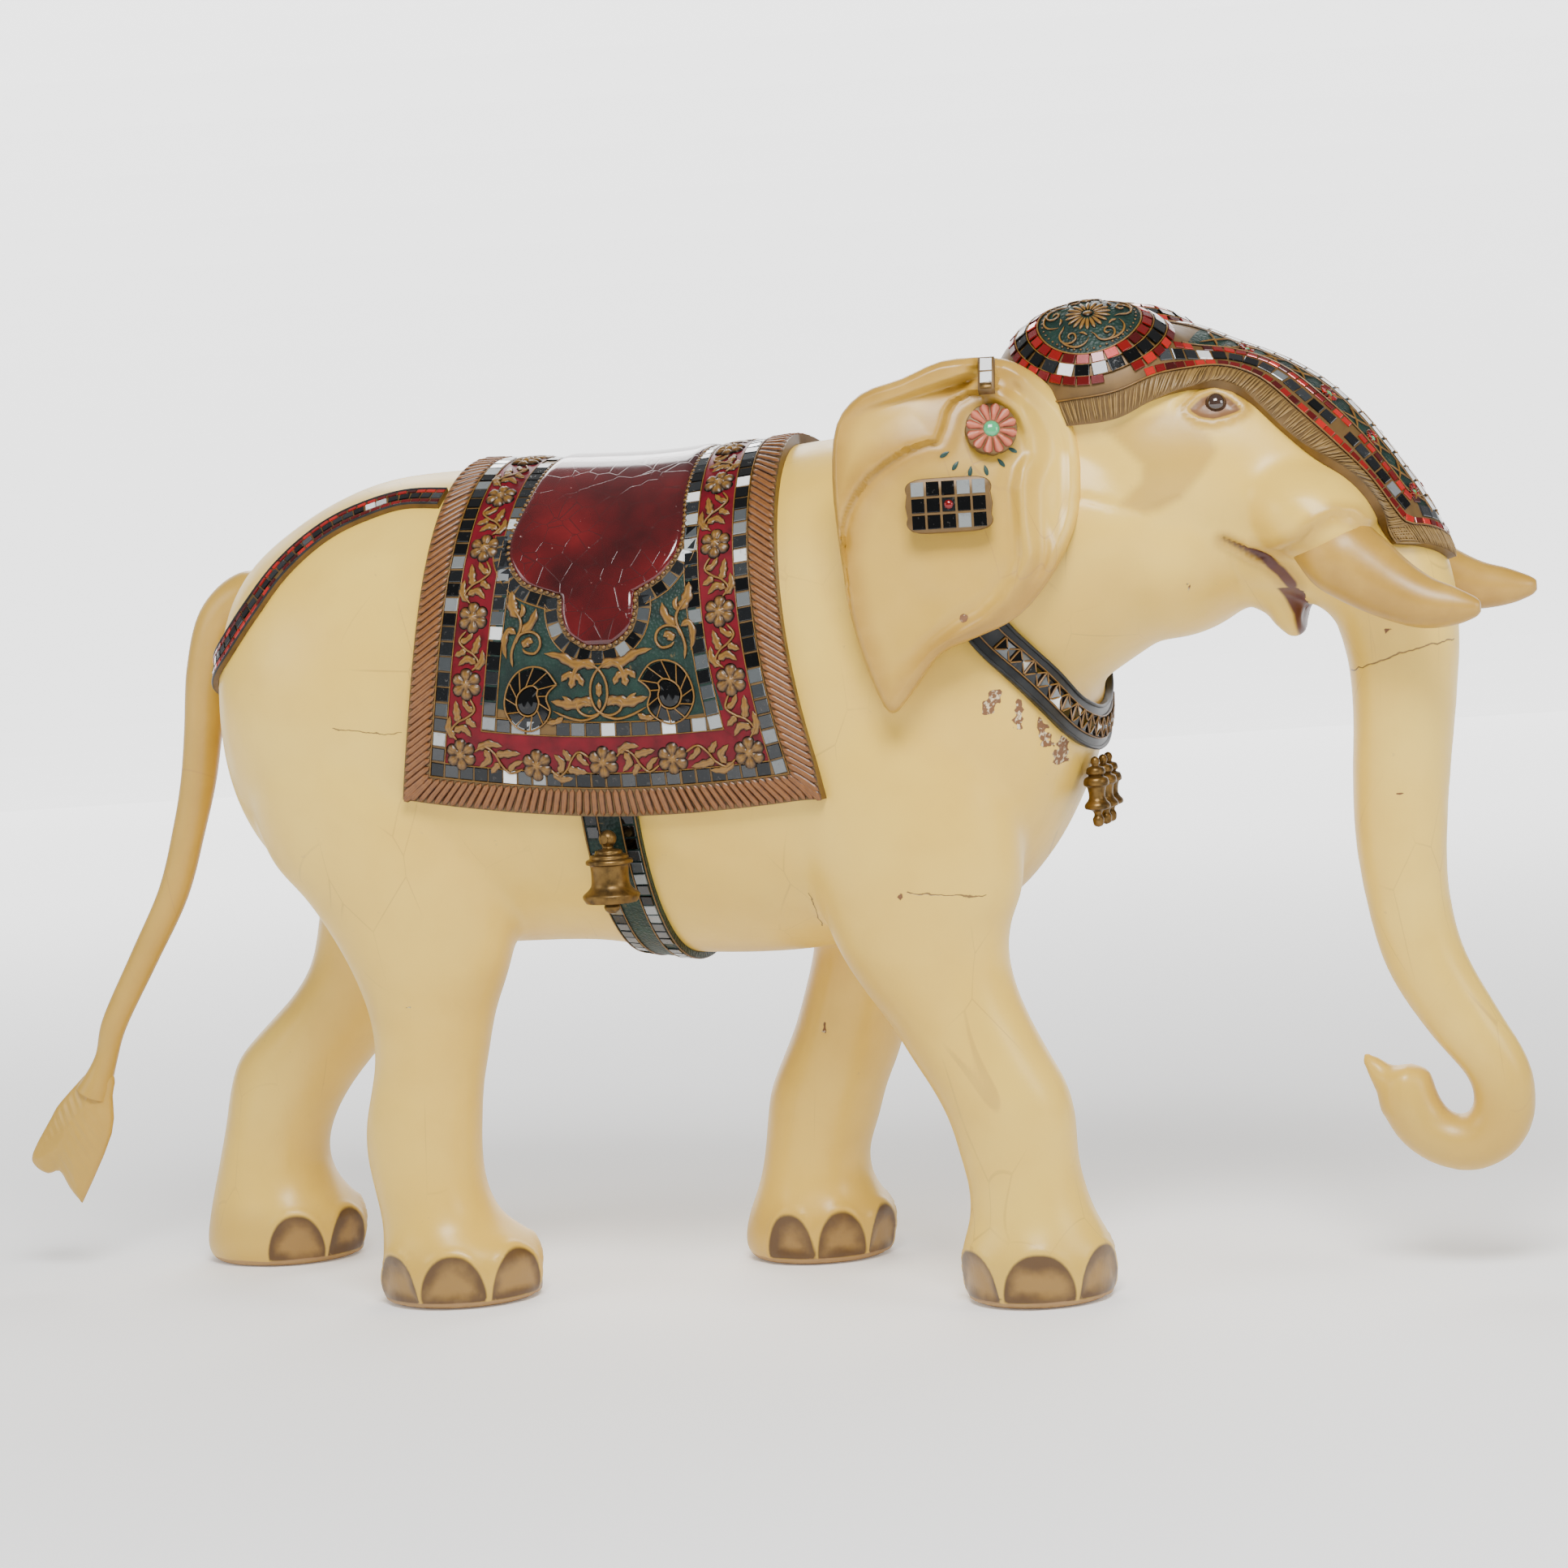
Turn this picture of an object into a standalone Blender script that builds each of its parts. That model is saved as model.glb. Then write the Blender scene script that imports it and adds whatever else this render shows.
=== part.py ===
"""Carved and lacquered wooden elephant with inlaid trappings and two swinging girth bells.

The elephant walks towards +X, its left side is +Y and it stands on Z = 0. All lengths are metres.
The figure is modelled as one carved form, then sawn into the blocks that it is built from.
"""
import math

import bmesh
import bpy
from mathutils import Matrix, Vector
from mathutils.bvhtree import BVHTree

# Driving dimensions
CENTRE_SHIFT = 0.0657        # brings the middle of the whole object's length to X = 0
SOLE_Z = 0.010               # height of the soles in the rows below; the root brings them to 0
GAP = 0.0003                 # clearance between pieces that touch
TRACK = 0.105                # feet, from the middle plane
LEG_JOINT_Z = 0.398          # height of the joints between the legs and the body
NECK_POINT = Vector((0.325, 0.0, 0.548))
NECK_NORMAL = Vector((0.892, 0.0, 0.452))
TRUNK_POINT = Vector((0.620, 0.0, 0.600))
TRUNK_NORMAL = Vector((-0.25, 0.0, 0.968))
BODY_AXIS_Z = 0.60           # height of the barrel's middle
DOWEL_RADIUS = 0.015
DOWEL_REACH = 0.035          # length of a dowel in each of its two blocks
CLOTH_GAP = 0.0015           # faceted trappings over a faceted body
CLOTH_THICKNESS = 0.009
STRAP_THICKNESS = 0.005
COLLAR_WIDTH = 0.042
GIRTH_WIDTH = 0.056
CRUPPER_WIDTH = 0.026
SEAT_THICKNESS = 0.003
CAP_THICKNESS = 0.006
CAP_GAP = 0.0035             # the domes curve tightly under the cap
STRAP_GAP = 0.0020
COLLAR_GAP = 0.0025
SEAT_GAP = 0.0015
LIFT_ROUNDS = 6
ORNAMENT_GAP = 0.0006
ORNAMENT_THICKNESS = 0.0045
EYE_RADIUS = 0.0105
EAR_THICKNESS = 0.016
EAR_FLARE = 0.205            # how far the rear edge stands from the middle plane
EAR_CLEARANCE = 0.012        # front edge of an ear, out from the head and its cap
BELL_PIVOT = (-0.115, 0.197, 0.470)
PIN_RADIUS = 0.0018
PIN_CLEARANCE = 0.0001       # running fit, also with the flats of a round drawn with 12 sides
CROSS_PIN_RADIUS = 0.0010
BELL_WALL = 0.0022


# ---------------------------------------------------------------- collections and materials
def clear_scene():
    """Remove the objects that a new file starts with."""
    for obj in list(bpy.data.objects):
        bpy.data.objects.remove(obj, do_unlink=True)


def new_collection(name):
    """A collection linked into the scene."""
    collection = bpy.data.collections.new(name)
    bpy.context.scene.collection.children.link(collection)
    return collection


def new_material(name, colour, roughness, metallic=0.0):
    """Principled material of one part."""
    material = bpy.data.materials.new(name)
    material.use_nodes = True
    shader = material.node_tree.nodes["Principled BSDF"]
    shader.inputs["Base Color"].default_value = (*colour, 1.0)
    shader.inputs["Roughness"].default_value = roughness
    shader.inputs["Metallic"].default_value = metallic
    return material


# ---------------------------------------------------------------- mesh helpers
def mesh_object(name, mesh, collection):
    """Object at the origin that holds a mesh."""
    obj = bpy.data.objects.new(name, mesh)
    collection.objects.link(obj)
    return obj


def mesh_from_bmesh(name, bm):
    """Mesh with its faces turned outwards."""
    bmesh.ops.recalc_face_normals(bm, faces=bm.faces)
    mesh = bpy.data.meshes.new(name)
    bm.to_mesh(mesh)
    bm.free()
    return mesh


def evaluated_mesh(obj):
    """The object's mesh with all of its modifiers applied."""
    bpy.context.view_layer.update()
    depsgraph = bpy.context.evaluated_depsgraph_get()
    return bpy.data.meshes.new_from_object(obj.evaluated_get(depsgraph))


def settle(obj):
    """Replace the object's mesh with its evaluated one and drop the modifiers."""
    mesh = evaluated_mesh(obj)
    obj.modifiers.clear()
    obj.data = mesh


def surface_tree(obj):
    """Search tree over the object's finished surface."""
    bm = bmesh.new()
    bm.from_mesh(evaluated_mesh(obj))
    tree = BVHTree.FromBMesh(bm)
    bm.free()
    return tree


def boolean(obj, operand, operation):
    """Join, cut or intersect the object with an operand."""
    modifier = obj.modifiers.new(operation.title() + " " + operand.name, "BOOLEAN")
    modifier.operation = operation
    modifier.object = operand
    modifier.solver = "EXACT"
    operand.hide_render = True
    operand.display_type = "WIRE"


def smooth_rows(rows, steps):
    """Rows with further ones between them, on a Catmull-Rom curve through each column."""
    smooth = []
    last = len(rows) - 1
    for index in range(last):
        before, start = rows[max(index - 1, 0)], rows[index]
        end, after = rows[index + 1], rows[min(index + 2, last)]
        for step in range(steps):
            t = step / steps
            row = []
            for a, b, c, d in zip(before, start, end, after):
                slope = c - a
                bend = 2 * a - 5 * b + 4 * c - d
                twist = 3 * b - a - 3 * c + d
                row.append(b + 0.5 * t * (slope + t * (bend + t * twist)))
            smooth.append(tuple(row))
    smooth.append(tuple(rows[-1]))
    return smooth


def superellipse(angle, power):
    """Point on a unit superellipse."""
    c, s = math.cos(angle), math.sin(angle)
    exponent = 2.0 / power
    return (math.copysign(abs(c) ** exponent, c), math.copysign(abs(s) ** exponent, s))


def section(x, y, z, lean, half_width, up, down, sides, power):
    """Ring of points across an axis that leans by an angle in the XZ plane."""
    a = math.radians(lean)
    normal = Vector((-math.sin(a), 0.0, math.cos(a)))
    ring = []
    for index in range(sides):
        across, along = superellipse(2 * math.pi * index / sides, power)
        reach = up if along > 0 else down
        offset = normal * along * reach
        ring.append(Vector((x, y + across * half_width, z)) + offset)
    return ring


def loft(name, rings, collection):
    """Closed solid through rings that all have the same number of points."""
    bm = bmesh.new()
    loops = [[bm.verts.new(point) for point in ring] for ring in rings]
    for lower, upper in zip(loops, loops[1:]):
        count = len(lower)
        for index in range(count):
            following = (index + 1) % count
            bm.faces.new((lower[index], lower[following], upper[following], upper[index]))
    bm.faces.new(list(reversed(loops[0])))
    bm.faces.new(loops[-1])
    return mesh_object(name, mesh_from_bmesh(name, bm), collection)


def form(name, rows, collection, side=0.0, sides=20, steps=2, power=2.0, grow=0.0):
    """Loft through rows of (x, z, lean, half_width, up, down), set at Y = side."""
    rings = []
    for x, z, lean, half_width, up, down in smooth_rows(rows, steps):
        size = (half_width + grow, up + grow, down + grow)
        rings.append(section(x, side, z, lean, *size, sides, power))
    return loft(name, rings, collection)


def ellipsoid(name, centre, radii, lean, collection, segments=24, rings=14):
    """Ball scaled to three radii and leaned in the XZ plane."""
    bm = bmesh.new()
    bmesh.ops.create_uvsphere(bm, u_segments=segments, v_segments=rings, radius=1.0)
    turn = Matrix.Rotation(-math.radians(lean), 4, "Y")
    placed = Matrix.Translation(centre) @ turn @ Matrix.Diagonal((*radii, 1.0))
    bmesh.ops.transform(bm, matrix=placed, verts=bm.verts)
    return mesh_object(name, mesh_from_bmesh(name, bm), collection)


def rod(name, start, end, radius, collection, segments=12, tip_radius=None):
    """Cylinder or cone between two points."""
    start, end = Vector(start), Vector(end)
    axis = end - start
    bm = bmesh.new()
    tip = radius if tip_radius is None else tip_radius
    bmesh.ops.create_cone(
        bm, cap_ends=True, segments=segments, radius1=radius, radius2=tip, depth=axis.length)
    turn = Vector((0, 0, 1)).rotation_difference(axis).to_matrix().to_4x4()
    placed = Matrix.Translation((start + end) / 2) @ turn
    bmesh.ops.transform(bm, matrix=placed, verts=bm.verts)
    return mesh_object(name, mesh_from_bmesh(name, bm), collection)


def block(name, low, high, collection):
    """Box between two corners."""
    low, high = Vector(low), Vector(high)
    bm = bmesh.new()
    bmesh.ops.create_cube(bm, size=1.0)
    placed = Matrix.Translation((low + high) / 2) @ Matrix.Diagonal((*(high - low), 1.0))
    bmesh.ops.transform(bm, matrix=placed, verts=bm.verts)
    return mesh_object(name, mesh_from_bmesh(name, bm), collection)


def half_space(name, point, normal, collection, size=3.0):
    """Large box whose one face lies on a plane, on the side that the normal points to."""
    bm = bmesh.new()
    bmesh.ops.create_cube(bm, size=size)
    bmesh.ops.translate(bm, verts=bm.verts, vec=(0, 0, size / 2))
    turn = Vector((0, 0, 1)).rotation_difference(normal).to_matrix().to_4x4()
    bmesh.ops.transform(bm, matrix=Matrix.Translation(point) @ turn, verts=bm.verts)
    return mesh_object(name, mesh_from_bmesh(name, bm), collection)


def turned(name, profile, location, collection, steps=20):
    """Solid turned about Z from a closed profile of (radius, height), top to bottom outside."""
    mesh = bpy.data.meshes.new(name)
    edges = [(index, index + 1) for index in range(len(profile) - 1)]
    mesh.from_pydata([(radius, 0.0, height) for radius, height in profile], edges, [])
    obj = mesh_object(name, mesh, collection)
    obj.location = location
    screw = obj.modifiers.new("Turn", "SCREW")
    screw.steps = steps
    screw.render_steps = steps
    screw.use_merge_vertices = True
    screw.merge_threshold = 0.00005
    screw.use_smooth_shade = True
    return obj


def lift_clear(bm, tree, gap):
    """Raise a sheet wherever its flat faces dip towards the surface under it."""
    for _ in range(LIFT_ROUNDS):
        raised = {}
        for face in bm.faces:
            corners = [vert.co for vert in face.verts]
            middle = face.calc_center_median()
            samples = [middle]
            for index, corner in enumerate(corners):
                samples.append((corner + corners[index - 1]) / 2)
                samples.append((corner + middle) / 2)
            for sample in samples:
                hit, normal, _, _ = tree.find_nearest(sample)
                short = gap - (sample - hit).dot(normal)
                if short > 0:
                    for vert in face.verts:
                        if short > raised.get(vert, (0.0, normal))[0]:
                            raised[vert] = (short, normal)
        for vert, (short, normal) in raised.items():
            vert.co += normal * short


def grid_shell(name, rows, tree, gap, thickness, collection, closed=False):
    """Sheet over a grid of points, thickened away from the surface that it lies on."""
    bm = bmesh.new()
    grid = [[bm.verts.new(point) for point in row] for row in rows]
    following = grid[1:] + grid[:1] if closed else grid[1:]
    for lower, upper in zip(grid, following):
        for index in range(len(lower) - 1):
            corners = (lower[index], lower[index + 1], upper[index + 1], upper[index])
            bm.faces.new(corners)
    lift_clear(bm, tree, gap)
    return shell(name, bm, tree, thickness, collection)


def shell(name, bm, tree, thickness, collection):
    """Object from a sheet, thickened on the side away from the surface under it."""
    bmesh.ops.recalc_face_normals(bm, faces=bm.faces)
    agreement = 0.0
    for face in bm.faces:
        agreement += face.normal.dot(tree.find_nearest(face.calc_center_median())[1])
    if agreement < 0:
        bmesh.ops.reverse_faces(bm, faces=bm.faces)
    mesh = bpy.data.meshes.new(name)
    bm.to_mesh(mesh)
    bm.free()
    obj = mesh_object(name, mesh, collection)
    add_thickness(obj, thickness)
    return obj


def add_thickness(obj, thickness):
    """Solidify a sheet on its front side."""
    solidify = obj.modifiers.new("Thickness", "SOLIDIFY")
    solidify.thickness = thickness
    solidify.offset = 1.0
    solidify.use_even_offset = True


def shade_round(obj, angle=40.0):
    """Smooth shading with sharp edges where faces meet steeply."""
    obj.data.shade_smooth()
    obj.data.set_sharp_from_angle(angle=math.radians(angle))


# ---------------------------------------------------------------- surface helpers
def cast(tree, source, target, lift):
    """Point where a ray meets the surface, lifted towards the source."""
    direction = (target - source).normalized()
    hit, _, _, _ = tree.ray_cast(source, direction)
    if hit is None:
        hit = target
    return hit - direction * lift


def settle_on(tree, point, lift):
    """Nearest point of the surface, lifted along its normal, and that normal."""
    hit, normal, _, _ = tree.find_nearest(point)
    return hit + normal * lift, normal


def ribbon(name, tree, route, width, thickness, collection, steps=4, across=4, lift=STRAP_GAP):
    """Strap that lies on a surface along a route of nearby points."""
    centres = []
    for point in smooth_rows(route, steps):
        centres.append(settle_on(tree, Vector(point), lift))
    rows = []
    last = len(centres) - 1
    for index, (centre, normal) in enumerate(centres):
        ahead = centres[min(index + 1, last)][0] - centres[max(index - 1, 0)][0]
        side = normal.cross(ahead).normalized()
        row = []
        for step in range(across + 1):
            offset = side * width * (step / across - 0.5)
            row.append(settle_on(tree, centre + offset, lift)[0])
        rows.append(row)
    return grid_shell(name, rows, tree, CLOTH_GAP, thickness, collection)


def mirror_route(route):
    """A route from the right side, carried on over the middle plane to the left side."""
    return route + [(x, -y, z) for x, y, z in reversed(route[:-1])]


# ---------------------------------------------------------------- the carved figure
TORSO = (
    (-0.571, 0.598, 0, 0.018, 0.030, 0.030),
    (-0.565, 0.598, 0, 0.070, 0.080, 0.080),
    (-0.552, 0.600, 0, 0.110, 0.125, 0.125),
    (-0.528, 0.603, 0, 0.143, 0.153, 0.163),
    (-0.490, 0.604, 0, 0.168, 0.179, 0.200),
    (-0.440, 0.603, 0, 0.184, 0.206, 0.234),
    (-0.380, 0.598, 0, 0.191, 0.228, 0.245),
    (-0.290, 0.593, 0, 0.193, 0.236, 0.240),
    (-0.190, 0.590, 0, 0.193, 0.234, 0.238),
    (-0.100, 0.588, 0, 0.192, 0.234, 0.250),
    (0.000, 0.590, 0, 0.189, 0.239, 0.254),
    (0.080, 0.595, 0, 0.186, 0.241, 0.250),
    (0.155, 0.600, 0, 0.180, 0.243, 0.240),
    (0.218, 0.603, 0, 0.166, 0.235, 0.225),
    (0.262, 0.600, 0, 0.147, 0.200, 0.180),
    (0.292, 0.588, 0, 0.118, 0.135, 0.120),
    (0.310, 0.575, 0, 0.082, 0.080, 0.068),
    (0.320, 0.567, 0, 0.030, 0.032, 0.030),
)
NECK = (
    (0.120, 0.655, 20, 0.150, 0.180, 0.150),
    (0.220, 0.690, 22, 0.158, 0.175, 0.143),
    (0.300, 0.718, 25, 0.152, 0.170, 0.126),
    (0.380, 0.740, 25, 0.138, 0.165, 0.102),
    (0.430, 0.755, 25, 0.100, 0.120, 0.080),
)
BROW = (
    (0.360, 0.800, -5, 0.090, 0.090, 0.090),
    (0.420, 0.797, -20, 0.116, 0.106, 0.115),
    (0.485, 0.763, -35, 0.110, 0.112, 0.112),
    (0.545, 0.720, -50, 0.094, 0.091, 0.095),
    (0.592, 0.665, -68, 0.075, 0.075, 0.052),
    (0.616, 0.615, -82, 0.063, 0.055, 0.054),
    (0.616, 0.555, -88, 0.055, 0.049, 0.049),
    (0.610, 0.494, -92, 0.049, 0.0465, 0.0465),
    (0.606, 0.433, -91, 0.045, 0.044, 0.044),
    (0.609, 0.372, -84, 0.041, 0.040, 0.040),
    (0.623, 0.310, -73, 0.038, 0.038, 0.038),
    (0.655, 0.252, -66, 0.034, 0.0345, 0.0345),
    (0.684, 0.208, -76, 0.031, 0.031, 0.031),
    (0.691, 0.174, -98, 0.030, 0.0295, 0.0295),
    (0.680, 0.147, -133, 0.029, 0.029, 0.029),
    (0.654, 0.134, -168, 0.028, 0.0275, 0.0275),
    (0.627, 0.142, -200, 0.028, 0.028, 0.027),
    (0.608, 0.160, -232, 0.028, 0.029, 0.028),
    (0.599, 0.183, -254, 0.027, 0.029, 0.028),
    (0.598, 0.202, -262, 0.023, 0.026, 0.026),
    (0.597, 0.210, -262, 0.012, 0.016, 0.018),
)
TRUNK_FINGER = (
    (0.592, 0.178, 118, 0.018, 0.018, 0.018),
    (0.577, 0.200, 122, 0.015, 0.013, 0.013),
    (0.565, 0.214, 125, 0.009, 0.007, 0.008),
    (0.558, 0.221, 125, 0.003, 0.003, 0.003),
)
LOWER_LIP = (
    (0.400, 0.695, -12, 0.095, 0.060, 0.065),
    (0.455, 0.681, -20, 0.072, 0.040, 0.042),
    (0.492, 0.668, -42, 0.048, 0.024, 0.024),
    (0.512, 0.648, -70, 0.034, 0.020, 0.020),
    (0.516, 0.633, -84, 0.021, 0.013, 0.014),
    (0.514, 0.625, -88, 0.008, 0.005, 0.006),
)
# Limb rows run from inside the body down to the flat sole: x, z, lean, half_width, front, back
REAR_RIGHT = (
    (-0.400, 0.600, -90, 0.076, 0.120, 0.120),
    (-0.388, 0.520, -90, 0.086, 0.134, 0.134),
    (-0.373, 0.456, -90, 0.086, 0.131, 0.131),
    (-0.358, 0.415, -90, 0.081, 0.111, 0.111),
    (-0.348, 0.374, -90, 0.075, 0.094, 0.094),
    (-0.344, 0.334, -90, 0.069, 0.078, 0.078),
    (-0.346, 0.293, -90, 0.062, 0.063, 0.063),
    (-0.350, 0.253, -90, 0.058, 0.057, 0.057),
    (-0.357, 0.220, -90, 0.057, 0.056, 0.057),
    (-0.362, 0.188, -90, 0.058, 0.057, 0.060),
    (-0.363, 0.155, -90, 0.059, 0.055, 0.060),
    (-0.360, 0.122, -90, 0.060, 0.054, 0.057),
    (-0.351, 0.090, -90, 0.063, 0.059, 0.060),
    (-0.335, 0.060, -90, 0.071, 0.078, 0.076),
    (-0.334, 0.032, -90, 0.075, 0.083, 0.083),
    (-0.334, 0.017, -90, 0.072, 0.080, 0.080),
    (-0.334, 0.010, -90, 0.064, 0.071, 0.071),
)
REAR_LEFT = (
    (-0.400, 0.600, -90, 0.076, 0.115, 0.115),
    (-0.415, 0.500, -90, 0.086, 0.120, 0.115),
    (-0.440, 0.420, -90, 0.083, 0.110, 0.104),
    (-0.463, 0.370, -90, 0.077, 0.096, 0.090),
    (-0.489, 0.326, -90, 0.070, 0.078, 0.076),
    (-0.515, 0.292, -90, 0.065, 0.072, 0.074),
    (-0.545, 0.259, -90, 0.061, 0.071, 0.080),
    (-0.577, 0.225, -90, 0.059, 0.070, 0.082),
    (-0.601, 0.190, -90, 0.058, 0.062, 0.071),
    (-0.617, 0.155, -90, 0.058, 0.055, 0.062),
    (-0.628, 0.120, -90, 0.060, 0.056, 0.060),
    (-0.627, 0.088, -90, 0.064, 0.066, 0.070),
    (-0.619, 0.056, -90, 0.071, 0.082, 0.086),
    (-0.621, 0.030, -90, 0.074, 0.086, 0.088),
    (-0.622, 0.017, -90, 0.071, 0.082, 0.084),
    (-0.622, 0.010, -90, 0.064, 0.075, 0.077),
)
FRONT_RIGHT = (
    (0.120, 0.600, -90, 0.072, 0.105, 0.105),
    (0.135, 0.520, -90, 0.080, 0.120, 0.120),
    (0.153, 0.450, -90, 0.081, 0.112, 0.112),
    (0.162, 0.399, -90, 0.079, 0.100, 0.099),
    (0.160, 0.368, -90, 0.075, 0.089, 0.087),
    (0.165, 0.337, -90, 0.070, 0.080, 0.078),
    (0.179, 0.305, -90, 0.066, 0.072, 0.072),
    (0.195, 0.274, -90, 0.062, 0.068, 0.066),
    (0.212, 0.242, -90, 0.060, 0.067, 0.065),
    (0.229, 0.211, -90, 0.059, 0.066, 0.063),
    (0.240, 0.180, -90, 0.057, 0.061, 0.060),
    (0.244, 0.148, -90, 0.055, 0.057, 0.056),
    (0.250, 0.117, -90, 0.056, 0.056, 0.055),
    (0.254, 0.088, -90, 0.060, 0.061, 0.060),
    (0.256, 0.060, -90, 0.067, 0.070, 0.069),
    (0.258, 0.032, -90, 0.071, 0.073, 0.073),
    (0.258, 0.017, -90, 0.068, 0.070, 0.070),
    (0.258, 0.010, -90, 0.061, 0.062, 0.062),
)
FRONT_LEFT = (
    (0.100, 0.600, -90, 0.072, 0.105, 0.105),
    (0.092, 0.520, -90, 0.080, 0.112, 0.105),
    (0.080, 0.450, -90, 0.081, 0.105, 0.090),
    (0.070, 0.400, -90, 0.078, 0.090, 0.076),
    (0.059, 0.360, -90, 0.073, 0.076, 0.064),
    (0.045, 0.318, -90, 0.068, 0.064, 0.057),
    (0.032, 0.280, -90, 0.064, 0.058, 0.056),
    (0.021, 0.247, -90, 0.061, 0.058, 0.057),
    (0.008, 0.214, -90, 0.059, 0.060, 0.060),
    (-0.007, 0.181, -90, 0.058, 0.060, 0.060),
    (-0.015, 0.147, -90, 0.057, 0.057, 0.058),
    (-0.023, 0.114, -90, 0.057, 0.053, 0.055),
    (-0.026, 0.084, -90, 0.060, 0.060, 0.060),
    (-0.024, 0.054, -90, 0.067, 0.075, 0.074),
    (-0.026, 0.030, -90, 0.070, 0.077, 0.077),
    (-0.026, 0.017, -90, 0.068, 0.074, 0.074),
    (-0.026, 0.010, -90, 0.061, 0.067, 0.067),
)
LIMBS = {
    "rear_leg_right": (REAR_RIGHT, -TRACK, (-0.50, -0.23)),
    "rear_leg_left": (REAR_LEFT, TRACK, (-0.75, -0.34)),
    "front_leg_right": (FRONT_RIGHT, -TRACK, (0.03, 0.36)),
    "front_leg_left": (FRONT_LEFT, TRACK, (-0.14, 0.18)),
}
DOWEL_X = {
    "rear_leg_right": -0.355,
    "rear_leg_left": -0.452,
    "front_leg_right": 0.162,
    "front_leg_left": 0.068,
}
LEG_INNER = 0.012            # legs start this far from the middle plane
LEG_OUTER = 0.300
TUSK = (
    (0.538, 0.731, -40, 0.030, 0.030, 0.030),
    (0.572, 0.704, -39, 0.036, 0.037, 0.037),
    (0.600, 0.682, -36, 0.033, 0.035, 0.034),
    (0.630, 0.662, -29, 0.028, 0.029, 0.028),
    (0.658, 0.649, -16, 0.023, 0.024, 0.023),
    (0.684, 0.645, -3, 0.017, 0.018, 0.017),
    (0.702, 0.644, 2, 0.010, 0.010, 0.010),
    (0.708, 0.644, 2, 0.005, 0.005, 0.005),
)
TUSK_BASE_Y = 0.092
TUSK_SPREAD = 0.030          # how far the tip stands out from the base
LEFT_TUSK_REACH = (0.020, 0.008)  # the left tusk is carved longer and higher at its tip
TAIL = (
    (-0.525, 0.712, -170, 0.022, 0.022, 0.022),
    (-0.560, 0.716, -160, 0.026, 0.024, 0.026),
    (-0.593, 0.690, -125, 0.026, 0.024, 0.027),
    (-0.613, 0.640, -105, 0.023, 0.021, 0.024),
    (-0.624, 0.580, -96, 0.020, 0.019, 0.021),
    (-0.634, 0.530, -99, 0.018, 0.018, 0.019),
    (-0.649, 0.480, -103, 0.016, 0.017, 0.017),
    (-0.673, 0.413, -113, 0.015, 0.016, 0.016),
    (-0.712, 0.346, -121, 0.014, 0.0145, 0.015),
    (-0.752, 0.279, -110, 0.013, 0.0135, 0.0135),
    (-0.766, 0.240, -106, 0.012, 0.012, 0.012),
    (-0.784, 0.203, -116, 0.017, 0.018, 0.019),
    (-0.806, 0.165, -119, 0.018, 0.027, 0.031),
    (-0.828, 0.130, -118, 0.014, 0.024, 0.036),
    (-0.843, 0.102, -116, 0.006, 0.010, 0.017),
)


def carve_figure(workshop):
    """The whole animal without ears, tusks and tail, as one form."""
    figure = form("figure", TORSO, workshop, sides=26, steps=1, power=2.15)
    additions = [
        form("neck", NECK, workshop, sides=20, steps=1),
        form("brow_and_trunk", BROW, workshop, sides=16, steps=2),
        form("trunk_finger", TRUNK_FINGER, workshop, sides=10, steps=1),
        form("lower_lip", LOWER_LIP, workshop, sides=14, steps=1),
        ellipsoid("skull", (0.395, 0, 0.785), (0.135, 0.128, 0.132), -15, workshop, 20, 12),
        ellipsoid("jowl", (0.402, 0, 0.708), (0.100, 0.122, 0.084), 14, workshop, 18, 10),
    ]
    for side in (-1, 1):
        dome = (0.354, side * 0.064, 0.852)
        lip = (0.548, side * 0.082, 0.742)
        additions.append(ellipsoid("dome", dome, (0.096, 0.068, 0.086), -8, workshop, 18, 10))
        additions.append(ellipsoid("lip", lip, (0.062, 0.048, 0.042), -15, workshop, 14, 8))
    for rows, side, _ in LIMBS.values():
        additions.append(form("limb", rows, workshop, side=side, sides=16, steps=1))
    for addition in additions:
        boolean(figure, addition, "UNION")
        settle(figure)
    return figure


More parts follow.
